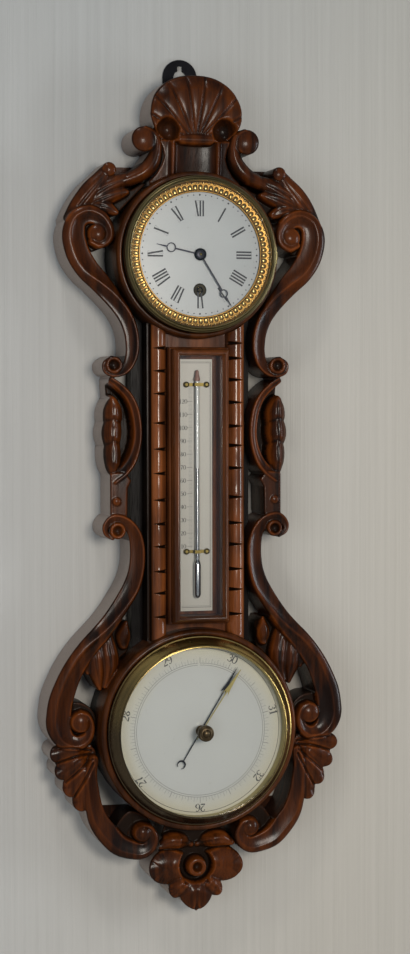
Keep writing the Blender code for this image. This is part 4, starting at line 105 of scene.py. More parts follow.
# %% A socket that can be added and multiplied
class Wire:
    """One output socket. Sums with it become Math nodes."""

    def __init__(self, tree, socket):
        self.tree, self.socket = tree, socket

    def sum(self, operation, first, second=0.0):
        return self.tree.add("ShaderNodeMath", {"operation": operation}, {0: first, 1: second})

    def __add__(self, other):
        return self.sum("ADD", self, other)

    def __sub__(self, other):
        return self.sum("SUBTRACT", self, other)

    def __rsub__(self, other):
        return self.sum("SUBTRACT", other, self)

    def __mul__(self, other):
        return self.sum("MULTIPLY", self, other)

    def sine(self):
        return self.sum("SINE", self)

    def clamped(self, low=0.0):
        """The value, held between a low limit and 1."""
        return self.tree.add("ShaderNodeClamp", {}, {"Value": self, "Min": low, "Max": 1.0})

    __radd__ = __add__
    __rmul__ = __mul__


# %% A material under construction
# A Mix node has sockets for numbers, vectors and colours under the same names, so those for colours
# are given by their numbers.
MIX_FACTOR = 0
MIX_FIRST = 6
MIX_SECOND = 7
MIX_RESULT = 2


class Finish:
    """The node tree of one material."""

    def __init__(self, name):
        self.material = bpy.data.materials.new(name)
        self.material.use_nodes = True
        self.nodes = self.material.node_tree.nodes
        self.links = self.material.node_tree.links
        self.nodes.clear()

    def add(self, kind, settings=None, inputs=None, output=0):
        """Add a node: its settings first, then a value or a wire for each socket that is named."""
        node = self.nodes.new(kind)
        for name, value in (settings or {}).items():
            setattr(node, name, value)
        for name, value in (inputs or {}).items():
            if isinstance(value, Wire):
                self.links.new(value.socket, node.inputs[name])
            else:
                node.inputs[name].default_value = value
        return Wire(self, node.outputs[output])

    def mix(self, factor, first, second, blend="MIX"):
        """Two colours mixed by a share from 0 to 1."""
        colours = [c if isinstance(c, Wire) else (*c, 1.0) for c in (first, second)]
        return self.add("ShaderNodeMix", {"data_type": "RGBA", "blend_type": blend},
                        {MIX_FACTOR: factor, MIX_FIRST: colours[0], MIX_SECOND: colours[1]}, MIX_RESULT)

    def place(self, scale=(1, 1, 1), move=(0, 0, 0)):
        """Object coordinates, stretched and moved."""
        where = self.add("ShaderNodeTexCoord", output="Object")
        return self.add("ShaderNodeMapping", {}, {"Vector": where, "Scale": scale, "Location": move})

    def parts(self, vector):
        """The three parts of a vector."""
        split = self.add("ShaderNodeSeparateXYZ", {}, {"Vector": vector})
        return [Wire(self, split.socket.node.outputs[axis]) for axis in range(3)]

    def length(self, vector):
        return self.add("ShaderNodeVectorMath", {"operation": "LENGTH"}, {0: vector}, "Value")

    def noise(self, vector, scale, detail=3.0, roughness=0.5):
        return self.add("ShaderNodeTexNoise", {}, {
            "Vector": vector, "Scale": scale, "Detail": detail, "Roughness": roughness})

    def attribute(self, name):
        """A number that each point of the mesh carries. It is 0 on a mesh without it."""
        return self.add("ShaderNodeAttribute", {"attribute_name": name}, output="Fac")

    def bump(self, height, strength, distance):
        return self.add("ShaderNodeBump", {}, {
            "Height": height, "Strength": strength, "Distance": distance})

    def surface(self, **inputs):
        """Close the tree with a Principled shader. Names use _ where the socket's name has a space."""
        values = {name.replace("_", " "): value for name, value in inputs.items()}
        return self.finish(self.add("ShaderNodeBsdfPrincipled", {}, values))

    def finish(self, shader):
        output = self.nodes.new("ShaderNodeOutputMaterial")
        self.links.new(shader.socket, output.inputs["Surface"])
        return self.material


print("materials are written with", Wire.__name__, "and", Finish.__name__)

# %% [markdown]
# ## Wall, floor and light
# The barometer hangs on a pale wall with fine upright ribs, like a wood-chip or corded paper. The wall
# is a plane just behind the case. It turns clear when it is seen from behind, so that the back of the
# case can be looked at. Four lamps light it: a small warm one by the camera, a broad cool one on the
# left that stands for the room and isn't mirrored in glass or varnish, a tall narrow one on the right
# like a window, whose streaks run down the round pilasters, and a small one above for the crisp
# lights along the edges of the carving. Together they show a pale surface a little darker than its
# colour is written. On top of that the wall's colour holds painted light: painted shade makes it cooler
# and darker towards its top, and painted warm light makes it warmer on its right.

# %% Materials for the wall and the floor
WALL_DARK = (0.365, 0.358, 0.340)
WALL_LIGHT = (0.500, 0.492, 0.472)
WALL_TOP_PAINTED_SHADE = (0.80, 0.83, 0.85)
WALL_RIGHT_PAINTED_LIGHT = (1.0, 0.945, 0.86)
RIB_STRETCH = (1, 1, 0.008)
CLOUD_STRETCH = (1, 1, 0.1)


def wall_paper():
    tree = Finish("wall_paper")
    across, _, up = tree.parts(tree.place())
    ribs = tree.noise(tree.place(scale=RIB_STRETCH), 230.0, 4.0, 0.75)
    broad = tree.noise(tree.place(scale=CLOUD_STRETCH), 9.0)
    # Painted warm light on the right of the wall, and painted shade towards its top.
    painted_warm_light = (across * 2.4 - up * 0.5 + 0.42).clamped()
    high = (up * 2.2 - 0.15).clamped()
    shade = tree.mix(broad * 0.35 + (ribs - 0.22) * 0.8, WALL_DARK, WALL_LIGHT)
    shade = tree.mix(high, shade, WALL_TOP_PAINTED_SHADE, "MULTIPLY")
    shade = tree.mix(painted_warm_light * 0.9, shade, WALL_RIGHT_PAINTED_LIGHT, "MULTIPLY")
    paper = tree.add("ShaderNodeBsdfPrincipled", {}, {
        "Base Color": shade, "Roughness": 0.75, "Normal": tree.bump(ribs, 0.5, 0.0012)})
    clear = tree.add("ShaderNodeBsdfTransparent")
    behind = tree.add("ShaderNodeNewGeometry", output="Backfacing")
    return tree.finish(tree.add("ShaderNodeMixShader", {}, {0: behind, 1: paper, 2: clear}))


def floor_paint():
    tree = Finish("floor_paint")
    cloud = tree.noise(tree.place(), 6.0)
    shade = tree.mix(cloud, (0.42, 0.41, 0.39), (0.48, 0.47, 0.45))
    return tree.surface(Base_Color=shade, Roughness=0.7)


# %% Stand the wall and the floor
WALL_HALF = 3.0
WALL_TOP = 2.5
FLOOR_Z = -1.0
WALL_Y = 0.0012


def sheet_of(name, corners, finish):
    mesh = bpy.data.meshes.new(name)
    mesh.from_pydata(corners, [], [(0, 1, 2, 3)])
    made = bpy.data.objects.new(name, mesh)
    made.data.materials.append(finish)
    bpy.context.scene.collection.objects.link(made)
    return made


sheet_of("wall", [(-WALL_HALF, WALL_Y, FLOOR_Z), (WALL_HALF, WALL_Y, FLOOR_Z),
                  (WALL_HALF, WALL_Y, WALL_TOP), (-WALL_HALF, WALL_Y, WALL_TOP)], wall_paper())
sheet_of("floor", [(-WALL_HALF, -WALL_HALF, FLOOR_Z), (WALL_HALF, -WALL_HALF, FLOOR_Z),
                   (WALL_HALF, WALL_HALF, FLOOR_Z), (-WALL_HALF, WALL_HALF, FLOOR_Z)], floor_paint())

# %% Hang the lamps
def lamp(name, place, aim, width, height, power, colour, mirrored=True):
    light = bpy.data.lights.new(name, "AREA")
    light.shape = "RECTANGLE"
    light.size, light.size_y = width, height
    light.energy = power
    light.color = colour
    made = bpy.data.objects.new(name, light)
    made.location = place
    made.rotation_euler = (Vector(aim) - Vector(place)).to_track_quat("-Z", "Y").to_euler()
    made.visible_glossy = mirrored
    bpy.context.scene.collection.objects.link(made)


lamp("key_lamp", place=(0.15, -2.1, 0.20), aim=(0, 0, -0.1), width=0.46, height=0.46, power=21.0,
     colour=(1.0, 0.94, 0.85))
lamp("room_lamp", place=(-1.7, -1.9, -0.4), aim=(0, 0, -0.2), width=1.5, height=1.9, power=21.5,
     colour=(0.87, 0.93, 1.0), mirrored=False)
lamp("window_lamp", place=(1.9, -0.95, 0.0), aim=(0, 0, 0), width=0.22, height=1.1, power=14.0,
     colour=(0.90, 0.95, 1.0))
lamp("edge_lamp", place=(-0.5, -1.3, 2.1), aim=(0, 0, 0), width=0.3, height=0.3, power=10.5,
     colour=(1.0, 0.97, 0.92))

ROOM_LIGHT = (0.70, 0.82, 0.98, 1.0)
ROOM_STRENGTH = 0.25
world = bpy.data.worlds.new("world")
world.use_nodes = True
background = world.node_tree.nodes["Background"]
background.inputs["Color"].default_value = ROOM_LIGHT
background.inputs["Strength"].default_value = ROOM_STRENGTH
bpy.context.scene.world = world
print("lamps:", [light.name for light in bpy.data.lights])

# %% [markdown]
# ## Oak under dark varnish
# The carving is oak with its grain upright, stained brown and varnished. Four things make the colour:
# broad light and dark streaks along the grain, fine pores, the dark in the hollows, which is stain
# gathered there together with painted shade, and the light on the edges, which is stain rubbed thin
# together with a painted highlight. The last two follow the shape, so each carved piece carries two
# numbers per point, "recess" for the hollows and one for the edges, worked out from its own height map.
# A third, "flank", is above zero on the outer walls, where a pale colour is painted as the reflection
# of the bright wall at a slant. The varnish is the shader's coat, which is smoother than the wood under
# it. Each part of the case has a stain of its own: the carving is nearly black in its hollows, from stain
# and painted shade, the pilasters and the panel between them are redder, and the frame and rings lie
# between. The panel is painted dark beyond a line on its left, as painted shade where the carving stands
# over it.

# %% Oak, for each of its stains
GRAIN = (1.0, 1.0, 0.07)
PORE_GRAIN = (1.0, 1.0, 0.035)
HOLLOW_STAIN_AND_SHADE = (0.010, 0.0045, 0.002)
FLANK_PAINTED_REFLECTION = (0.270, 0.215, 0.180)
RUBBED_AND_LIT = 2.6


def oak(name, light, dark, gloss=0.17, film=0.22, shaded_beyond=None):
    """Stained oak. Gloss and film are the roughness and the weight of its coat of varnish."""
    tree = Finish(name)
    streaks = tree.noise(tree.place(scale=GRAIN), 95.0, 4.0, 0.6)
    pores = tree.noise(tree.place(scale=PORE_GRAIN), 1500.0, 2.0)
    patches = tree.noise(tree.place(move=(1.3, 0.4, 2.1)), 14.0, 2.0)
    share = ((streaks - 0.36) * 2.9 + (patches - 0.5) * 1.8).clamped()
    pore = ((0.47 - pores) * 7.0).clamped()
    wood = tree.mix(share, dark, light)
    wood = tree.mix(pore * 0.45, wood, dark)
    # Dark in the hollows: stain gathered there together with painted shade.
    wood = tree.mix((tree.attribute("recess") * 1.4).clamped(), wood, HOLLOW_STAIN_AND_SHADE)
    # Painted shade on the panel beyond a line on its left, where the carving stands over it.
    if shaded_beyond:
        across = tree.parts(tree.place())[0]
        wood = tree.mix(((across * -1.0 - shaded_beyond) * 600.0).clamped(), wood, HOLLOW_STAIN_AND_SHADE)
    # Lighter on the edges: stain rubbed thin together with a painted highlight.
    worn_and_lit = tuple(min(1.0, part * RUBBED_AND_LIT) for part in light)
    wood = tree.mix((tree.attribute("wear_and_sheen") * (0.25 + share * 0.5)).clamped(), wood, worn_and_lit)
    # A pale colour on the outer flanks, painted as the reflection of the bright wall.
    wood = tree.mix(tree.attribute("flank"), wood, FLANK_PAINTED_REFLECTION)
    rough = (0.34 + pore * 0.25 + tree.attribute("recess") * 0.2).clamped()
    relief = tree.bump(1.0 - pore * 0.6 + streaks * 0.5, 0.25, 0.0003)
    shine = (film * (1.0 - pore * 0.5 - tree.attribute("recess") * 0.8)).clamped()
    return tree.surface(Base_Color=wood, Roughness=rough, Normal=relief, Specular_IOR_Level=0.06,
                        Coat_Weight=shine, Coat_Roughness=gloss, Coat_IOR=1.5)


OAK = oak("oak", (0.064, 0.0150, 0.0020), (0.006, 0.0018, 0.0007))
OAK_SHELL = oak("oak_shell", (0.060, 0.0145, 0.0020), (0.007, 0.0020, 0.0008), film=0.16)
OAK_TRUNK = oak("oak_trunk", (0.250, 0.072, 0.017), (0.060, 0.018, 0.006), gloss=0.13, film=0.62)
OAK_RING = oak("oak_ring", (0.085, 0.0230, 0.0045), (0.022, 0.0066, 0.0018))
OAK_PANEL = oak("oak_panel", (0.200, 0.057, 0.013), (0.050, 0.015, 0.005), shaded_beyond=43.0 * MM)
OAK_FRAME = oak("oak_frame", (0.130, 0.038, 0.010), (0.036, 0.011, 0.004), film=0.5)
# The backboard: stained nearly black, and darker still as painted shade where it shows behind the carving.
OAK_GROUND = oak("oak_ground", (0.006, 0.0032, 0.0026), (0.003, 0.0020, 0.0018), gloss=0.3, film=0.03)
print("the oak has", sum(material.name.startswith("oak") for material in bpy.data.materials), "stains")

# %% [markdown]
# ## Metals
# The brass is of several kinds: bright gilt on the beads, with a darker gilt behind them that is painted
# shade between the beads, dull olive brass on the clock's bezel where the lacquer has gone, and plain
# brass in the movement. Each has cloudy patches of tarnish that take down its colour and its shine. The
# barometer's bezel has painted light in its colour: painted shade on its lower left and painted light,
# golden, above and on its right. The hands are blued steel, which looks almost black, and mercury is
# made like a metal too.

# %% Brass, steel and iron
LEAST_ROUGH = 0.04
BRASS_PAINTED_SHADE = (0.085, 0.062, 0.036)
BRASS_PAINTED_LIGHT = (0.46, 0.33, 0.115)


def metal(name, colour, tarnish, rough, patch=0.5, scale=60.0):
    """A metal with cloudy tarnish. The patch is how much of it shows, and the scale how fine it is."""
    tree = Finish(name)
    cloud = tree.noise(tree.place(), scale, 4.0, 0.6)
    fine = tree.noise(tree.place(), scale * 22.0, 2.0)
    share = ((cloud - 0.5 + patch * 0.5) * 1.6).clamped()
    skin = tree.mix(share * patch, colour, tarnish)
    shine = (rough + share * patch * 0.25 + (fine - 0.5) * 0.12).clamped(LEAST_ROUGH)
    return tree.surface(Base_Color=skin, Roughness=shine, Metallic=1.0,
                        Normal=tree.bump(fine, 0.12, 0.0001))


def lacquered_brass():
    """Brass painted golden above and on the right and dark on the lower left, as painted light and painted
    shade.
    """
    tree = Finish("lacquered_brass")
    across, _, up = tree.parts(tree.place(move=(0, 0, -BAROMETER_Z)))
    cloud = tree.noise(tree.place(), 14.0, 4.0, 0.6)
    fine = tree.noise(tree.place(), 300.0, 2.0)
    # Painted light above and on the right, painted shade on the lower left.
    whole = (across * 6.0 + up * 9.0 + cloud * 0.8).clamped()
    skin = tree.mix(whole, BRASS_PAINTED_SHADE, BRASS_PAINTED_LIGHT)
    shine = (0.20 + cloud * 0.1 + (fine - 0.5) * 0.1).clamped(LEAST_ROUGH)
    return tree.surface(Base_Color=skin, Roughness=shine, Metallic=1.0,
                        Normal=tree.bump(fine, 0.12, 0.0001))


BRASS = metal("brass", (0.62, 0.44, 0.16), (0.30, 0.20, 0.07), 0.26)
AGED_BRASS = metal("aged_brass", (0.23, 0.185, 0.085), (0.062, 0.054, 0.028), 0.24, patch=0.7,
                   scale=45.0)
GILT = metal("gilt", (0.74, 0.54, 0.20), (0.46, 0.29, 0.08), 0.27, patch=0.4, scale=160.0)
STEEL = metal("steel", (0.50, 0.50, 0.51), (0.28, 0.27, 0.26), 0.28)
BLUED_STEEL = metal("blued_steel", (0.020, 0.022, 0.030), (0.030, 0.022, 0.018), 0.28)
IRON = metal("iron", (0.010, 0.010, 0.012), (0.006, 0.006, 0.006), 0.50)
OLIVE_BRASS = lacquered_brass()
YELLOW_BRASS = metal("yellow_brass", (0.38, 0.32, 0.12), (0.24, 0.20, 0.07), 0.30, patch=0.4)
DARK_BRASS = metal("dark_brass", (0.055, 0.046, 0.028), (0.024, 0.020, 0.012), 0.50, patch=0.7, scale=300.0)
CLIP_BRASS = metal("clip_brass", (0.20, 0.15, 0.042), (0.085, 0.065, 0.018), 0.36, patch=0.7)
BRONZE = metal("bronze", (0.135, 0.098, 0.055), (0.045, 0.032, 0.020), 0.30, patch=0.8, scale=260.0)
# A darker gilt for the ring behind the beads, which is painted shade between them.
GILT_PAINTED_SHADE = metal("gilt_painted_shade", (0.30, 0.175, 0.045), (0.17, 0.085, 0.02), 0.32, patch=0.5, scale=160.0)
MERCURY = metal("mercury", (0.62, 0.63, 0.64), (0.50, 0.50, 0.51), 0.20, patch=0.3)
print("materials after the metals:", len(bpy.data.materials))

# %% [markdown]
# ## Dials, glass and ink
# The clock dial is cool white enamel, the barometer's card has yellowed towards its rim, and the
# thermometer's scale is an opal glass plate. The printing is thin raised ink. Clear glass in a thin
# pane is mostly a clear layer that grows shiny at a slant, so its share of shine comes from Fresnel and
# light passes through the rest.

# %% Enamel, card, ink and glass
def enamel():
    tree = Finish("enamel")
    cloud = tree.noise(tree.place(), 30.0, 3.0)
    specks = tree.noise(tree.place(move=(0.3, 0.1, 0.7)), 900.0, 2.0)
    white = tree.mix(cloud, (0.450, 0.470, 0.475), (0.490, 0.505, 0.505))
    white = tree.mix(((specks - 0.70) * 9.0).clamped(), white, (0.20, 0.18, 0.15))
    return tree.surface(Base_Color=white, Roughness=(0.18 + cloud * 0.08).clamped(), Coat_Weight=0.4)


YELLOW_FROM = 58.0 * MM


def card():
    """Paper that has yellowed from a certain radius outwards."""
    tree = Finish("barometer_card")
    across, _, up = tree.parts(tree.place(move=(0, 0, -BAROMETER_Z)))
    radius = tree.length(tree.add("ShaderNodeCombineXYZ", {}, {0: across, 2: up}))
    cloud = tree.noise(tree.place(), 25.0, 4.0)
    aged = ((radius - YELLOW_FROM) * 45.0 + (cloud - 0.5) * 0.7).clamped()
    specks = tree.noise(tree.place(move=(0.5, 0.2, 0.1)), 420.0, 3.0)
    white = tree.mix(cloud, (0.520, 0.525, 0.505), (0.560, 0.565, 0.540))
    white = tree.mix(aged, white, (0.620, 0.580, 0.440))
    white = tree.mix(((specks - 0.69) * 8.0).clamped() * 0.6, white, (0.22, 0.19, 0.12))
    return tree.surface(Base_Color=white, Roughness=(0.42 + cloud * 0.1).clamped())


def opal():
    tree = Finish("opal_scale")
    cloud = tree.noise(tree.place(), 40.0, 3.0)
    aged = tree.noise(tree.place(move=(0.2, 0.2, 0.9)), 14.0)
    white = tree.mix(cloud, (0.500, 0.478, 0.420), (0.550, 0.530, 0.470))
    white = tree.mix((aged * 0.5).clamped(), white, (0.47, 0.43, 0.35))
    return tree.surface(Base_Color=white, Roughness=(0.28 + cloud * 0.08).clamped(), Coat_Weight=0.3)


def ink(name, colour, faded):
    tree = Finish(name)
    cloud = tree.noise(tree.place(), 320.0, 3.0)
    return tree.surface(Base_Color=tree.mix(cloud, colour, faded),
                        Roughness=(0.45 + cloud * 0.1).clamped())


GLASS_TINT = (0.9, 0.95, 0.93, 1.0)
GLASS_BEND = 1.45


def clear_glass():
    """A pane, which is a faint mirror from straight in front and a strong one at a slant."""
    tree = Finish("clear_glass")
    smear = tree.noise(tree.place(), 35.0, 3.0)
    slant = tree.add("ShaderNodeFresnel", {}, {"IOR": GLASS_BEND})
    share = (slant * (0.9 + smear * 0.1) + 0.004).clamped()
    return tree.surface(Base_Color=GLASS_TINT, Metallic=1.0, Roughness=(0.02 + smear * 0.03).clamped(),
                        Alpha=share)


ENAMEL = enamel()
CARD = card()
OPAL = opal()
DIAL_INK = ink("dial_ink", (0.012, 0.013, 0.018), (0.028, 0.028, 0.034))
CARD_INK = ink("card_ink", (0.050, 0.048, 0.043), (0.105, 0.100, 0.088))
PALE_INK = ink("pale_ink", (0.190, 0.187, 0.172), (0.250, 0.245, 0.220))
DOT_INK = ink("dot_ink", (0.035, 0.038, 0.065), (0.07, 0.074, 0.105))
INCH_INK = ink("inch_ink", (0.040, 0.040, 0.042), (0.12, 0.115, 0.10))
WAX = ink("wax", (0.24, 0.115, 0.085), (0.33, 0.19, 0.15))
TUBE_WHITE = ink("tube_white", (0.72, 0.72, 0.70), (0.80, 0.80, 0.78))
GLASS = clear_glass()
print(len(bpy.data.materials), "materials so far")

# %% [markdown]
# ## Turned and flat pieces
# Rings, bezels and dials are turned on a lathe. Here a profile of (radius, forward) is carried once
# round an axis that points at the room. Flat pieces are an outline with a front and a back. Each piece
# is closed, and its normals are worked out again after its doubles are merged.

# %% Helpers for meshes
# An edge whose faces meet at more than the crease, in degrees, stays sharp.
CREASE = 35.0
LATHE_STEPS = 160


def keep(name, mesh, finish):
    """An object for a mesh that is in its place already."""
    made = bpy.data.objects.new(name, mesh)
    mesh.materials.clear()
    mesh.materials.append(finish)
    bpy.context.scene.collection.objects.link(made)
    return made


def closed_mesh(name, points, faces, crease=CREASE):
    """A mesh whose doubles are merged and whose faces point out, smooth but for its sharp edges."""
    mesh = bpy.data.meshes.new(name)
    mesh.from_pydata([tuple(p) for p in points], [], [tuple(f) for f in faces])
    body = bmesh.new()
    body.from_mesh(mesh)
    bmesh.ops.remove_doubles(body, verts=body.verts[:], dist=1e-7)
    bmesh.ops.dissolve_degenerate(body, edges=body.edges[:], dist=1e-8)
    bmesh.ops.recalc_face_normals(body, faces=body.faces[:])
    body.to_mesh(mesh)
    body.free()
    mesh.shade_smooth()
    mesh.set_sharp_from_angle(angle=math.radians(crease))
    return mesh


def joined(name, meshes, finish):
    """One piece from several meshes."""
    body = bmesh.new()
    for mesh in meshes:
        body.from_mesh(mesh)
        bpy.data.meshes.remove(mesh)
    whole = bpy.data.meshes.new(name)
    body.to_mesh(whole)
    body.free()
    return keep(name, whole, finish)


def turned_mesh(name, profile, centre_z, steps=LATHE_STEPS, crease=CREASE):
    """A profile of (radius, forward), taken once round."""
    count = len(profile)
    turn = np.linspace(0, 2 * math.pi, steps, endpoint=False)
    points = [(r * math.sin(a), -f, centre_z + r * math.cos(a)) for a in turn for r, f in profile]
    faces = []
    for i in range(steps):
        here, there = i * count, (i + 1) % steps * count
        for j in range(count):
            k = (j + 1) % count
            faces.append((here + j, here + k, there + k, there + j))
    return closed_mesh(name, points, faces, crease)


def turned(name, profile, centre_z, finish, steps=LATHE_STEPS, crease=CREASE):
    return keep(name, turned_mesh(name, profile, centre_z, steps, crease), finish)


def slab(name, outline, back, front):
    """A flat piece from an outline of (across, up)."""
    count = len(outline)
    points = [(u, -depth, v) for depth in (back, front) for u, v in outline]
    sides = [(i, (i + 1) % count, count + (i + 1) % count, count + i) for i in range(count)]
    return closed_mesh(name, points, [range(count), range(count, 2 * count), *sides])


def smooth_step(value, low, high):
    share = np.clip((value - low) / (high - low), 0.0, 1.0)
    return share * share * (3.0 - 2.0 * share)


def spline(points, steps=12, closed=False):
    """A smooth curve through the points, with so many steps between each two."""
    points = np.asarray(points, float)
    if closed:
        padded = np.vstack([points[-1:], points, points[:2]])
    else:
        padded = np.vstack([2 * points[0] - points[1], points, 2 * points[-1] - points[-2]])
    t = np.linspace(0, 1, steps, endpoint=False)[:, None]
    curve = []
    for p0, p1, p2, p3 in zip(padded, padded[1:], padded[2:], padded[3:]):
        bend = (2 * p0 - 5 * p1 + 4 * p2 - p3) * t + (3 * p1 - p0 - 3 * p2 + p3) * t * t
        curve.append((2 * p1 + (p2 - p0 + bend) * t) / 2)
    if not closed:
        curve.append(points[-1:])
    return np.vstack(curve)


def fit(piece, body, slot, *nodes):
    """The piece moves with its body and stands for the CAD nodes, which are hidden; its slot is not used.
    """
    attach(piece, body)
    if nodes:
        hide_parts(*nodes)
    print(piece.name, len(piece.data.polygons), "faces")
    return piece


def dress(finish, *nodes):
    """A CAD node whose shape is right keeps its shape and gets its finish."""
    for name in nodes:
        materials = frame["nodes"][name].data.materials
        materials.clear()
        materials.append(finish)

# %% [markdown]
# ## Carving as a height map
# The case is pierced and carved from one thickness of board: scrolls with a sharp arris between a
# hollow and a rolled edge, leaves with veins, pods and a shell. A carver cuts such work from the front,
# so a height map describes it fully: how far forward the wood stands at each point of a fine net, and
# how far inside the outline that point lies. Each member of the design is laid on the map where it
# stands highest. At the end the net is cut along the outline, and walls and a back close it.

# %% The height map
NET_PITCH = 0.6 * MM
WALL_RUN = 1.1 * MM
WALL_SLOPE = 8.0
ARRIS = 0.9 * MM
STEP_ALONG = 0.5 * MM
BACK_GAP = 0.3 * MM
LIP = 0.9 * MM
HOLLOW_RIM = 0.86
BAND_STEPS = 16
GROUND_STEPS = 6
GROOVE_STEPS = 24

# The wood is darkened, as stain and painted shade, where it lies deeper than its surroundings by a
# share of the recess span, or deeper than a level at which the ground of the carving begins. It is
# lightened, as wear and a painted highlight, where it stands proud of its near neighbours.
RECESS_SPAN = 5.0 * MM
DARK_BELOW = 37.0 * MM
DARK_SPAN = 4.0 * MM
DARK_MOST = 0.75
WEAR_SPAN = 0.35 * MM
WIDE_ROUNDS = 60
NEAR_ROUNDS = 6
FLANK_REACH = 9.0 * MM
FLANK_GAIN = 1.6
FLANK_MOST = 0.9


def with_numbers(mesh, label, values):
    """Give each point of a mesh a number that a material can read."""
    mesh.attributes.new(label, "FLOAT", "POINT").data.foreach_set("value", values)


def with_back(name, points, faces, turned_over):
    """A mesh from a front and its walls, closed by a flat back whose edges stay sharp."""
    mesh = bpy.data.meshes.new(name)
    mesh.from_pydata(points.tolist(), [], faces)
    body = bmesh.new()
    body.from_mesh(mesh)
    body.verts.ensure_lookup_table()
    if turned_over:
        bmesh.ops.reverse_faces(body, faces=body.faces[:])
    outline = [edge for edge in body.edges if edge.is_boundary]
    filled = bmesh.ops.triangle_fill(body, edges=outline, normal=(0, 1, 0), use_beauty=False)
    for face in (made for made in filled["geom"] if isinstance(made, bmesh.types.BMFace)):
        if face.normal.y < 0:
            face.normal_flip()
        for edge in face.edges:
            edge.smooth = False
    for face in body.faces:
        face.smooth = True
    body.to_mesh(mesh)
    body.free()
    return mesh


def flank_share(across, up, facing):
    """How much painted reflection each point of a rim gets: near the outermost one of its row, and facing
    outwards.
    """
    rows = np.round(up / (2 * NET_PITCH)).astype(int)
    outermost = {row: across[rows == row].min() for row in set(rows.tolist())}
    near_edge = across < np.array([outermost[row] for row in rows.tolist()]) + FLANK_REACH
    return np.where(near_edge, np.clip(facing * FLANK_GAIN, 0, FLANK_MOST), 0.0)


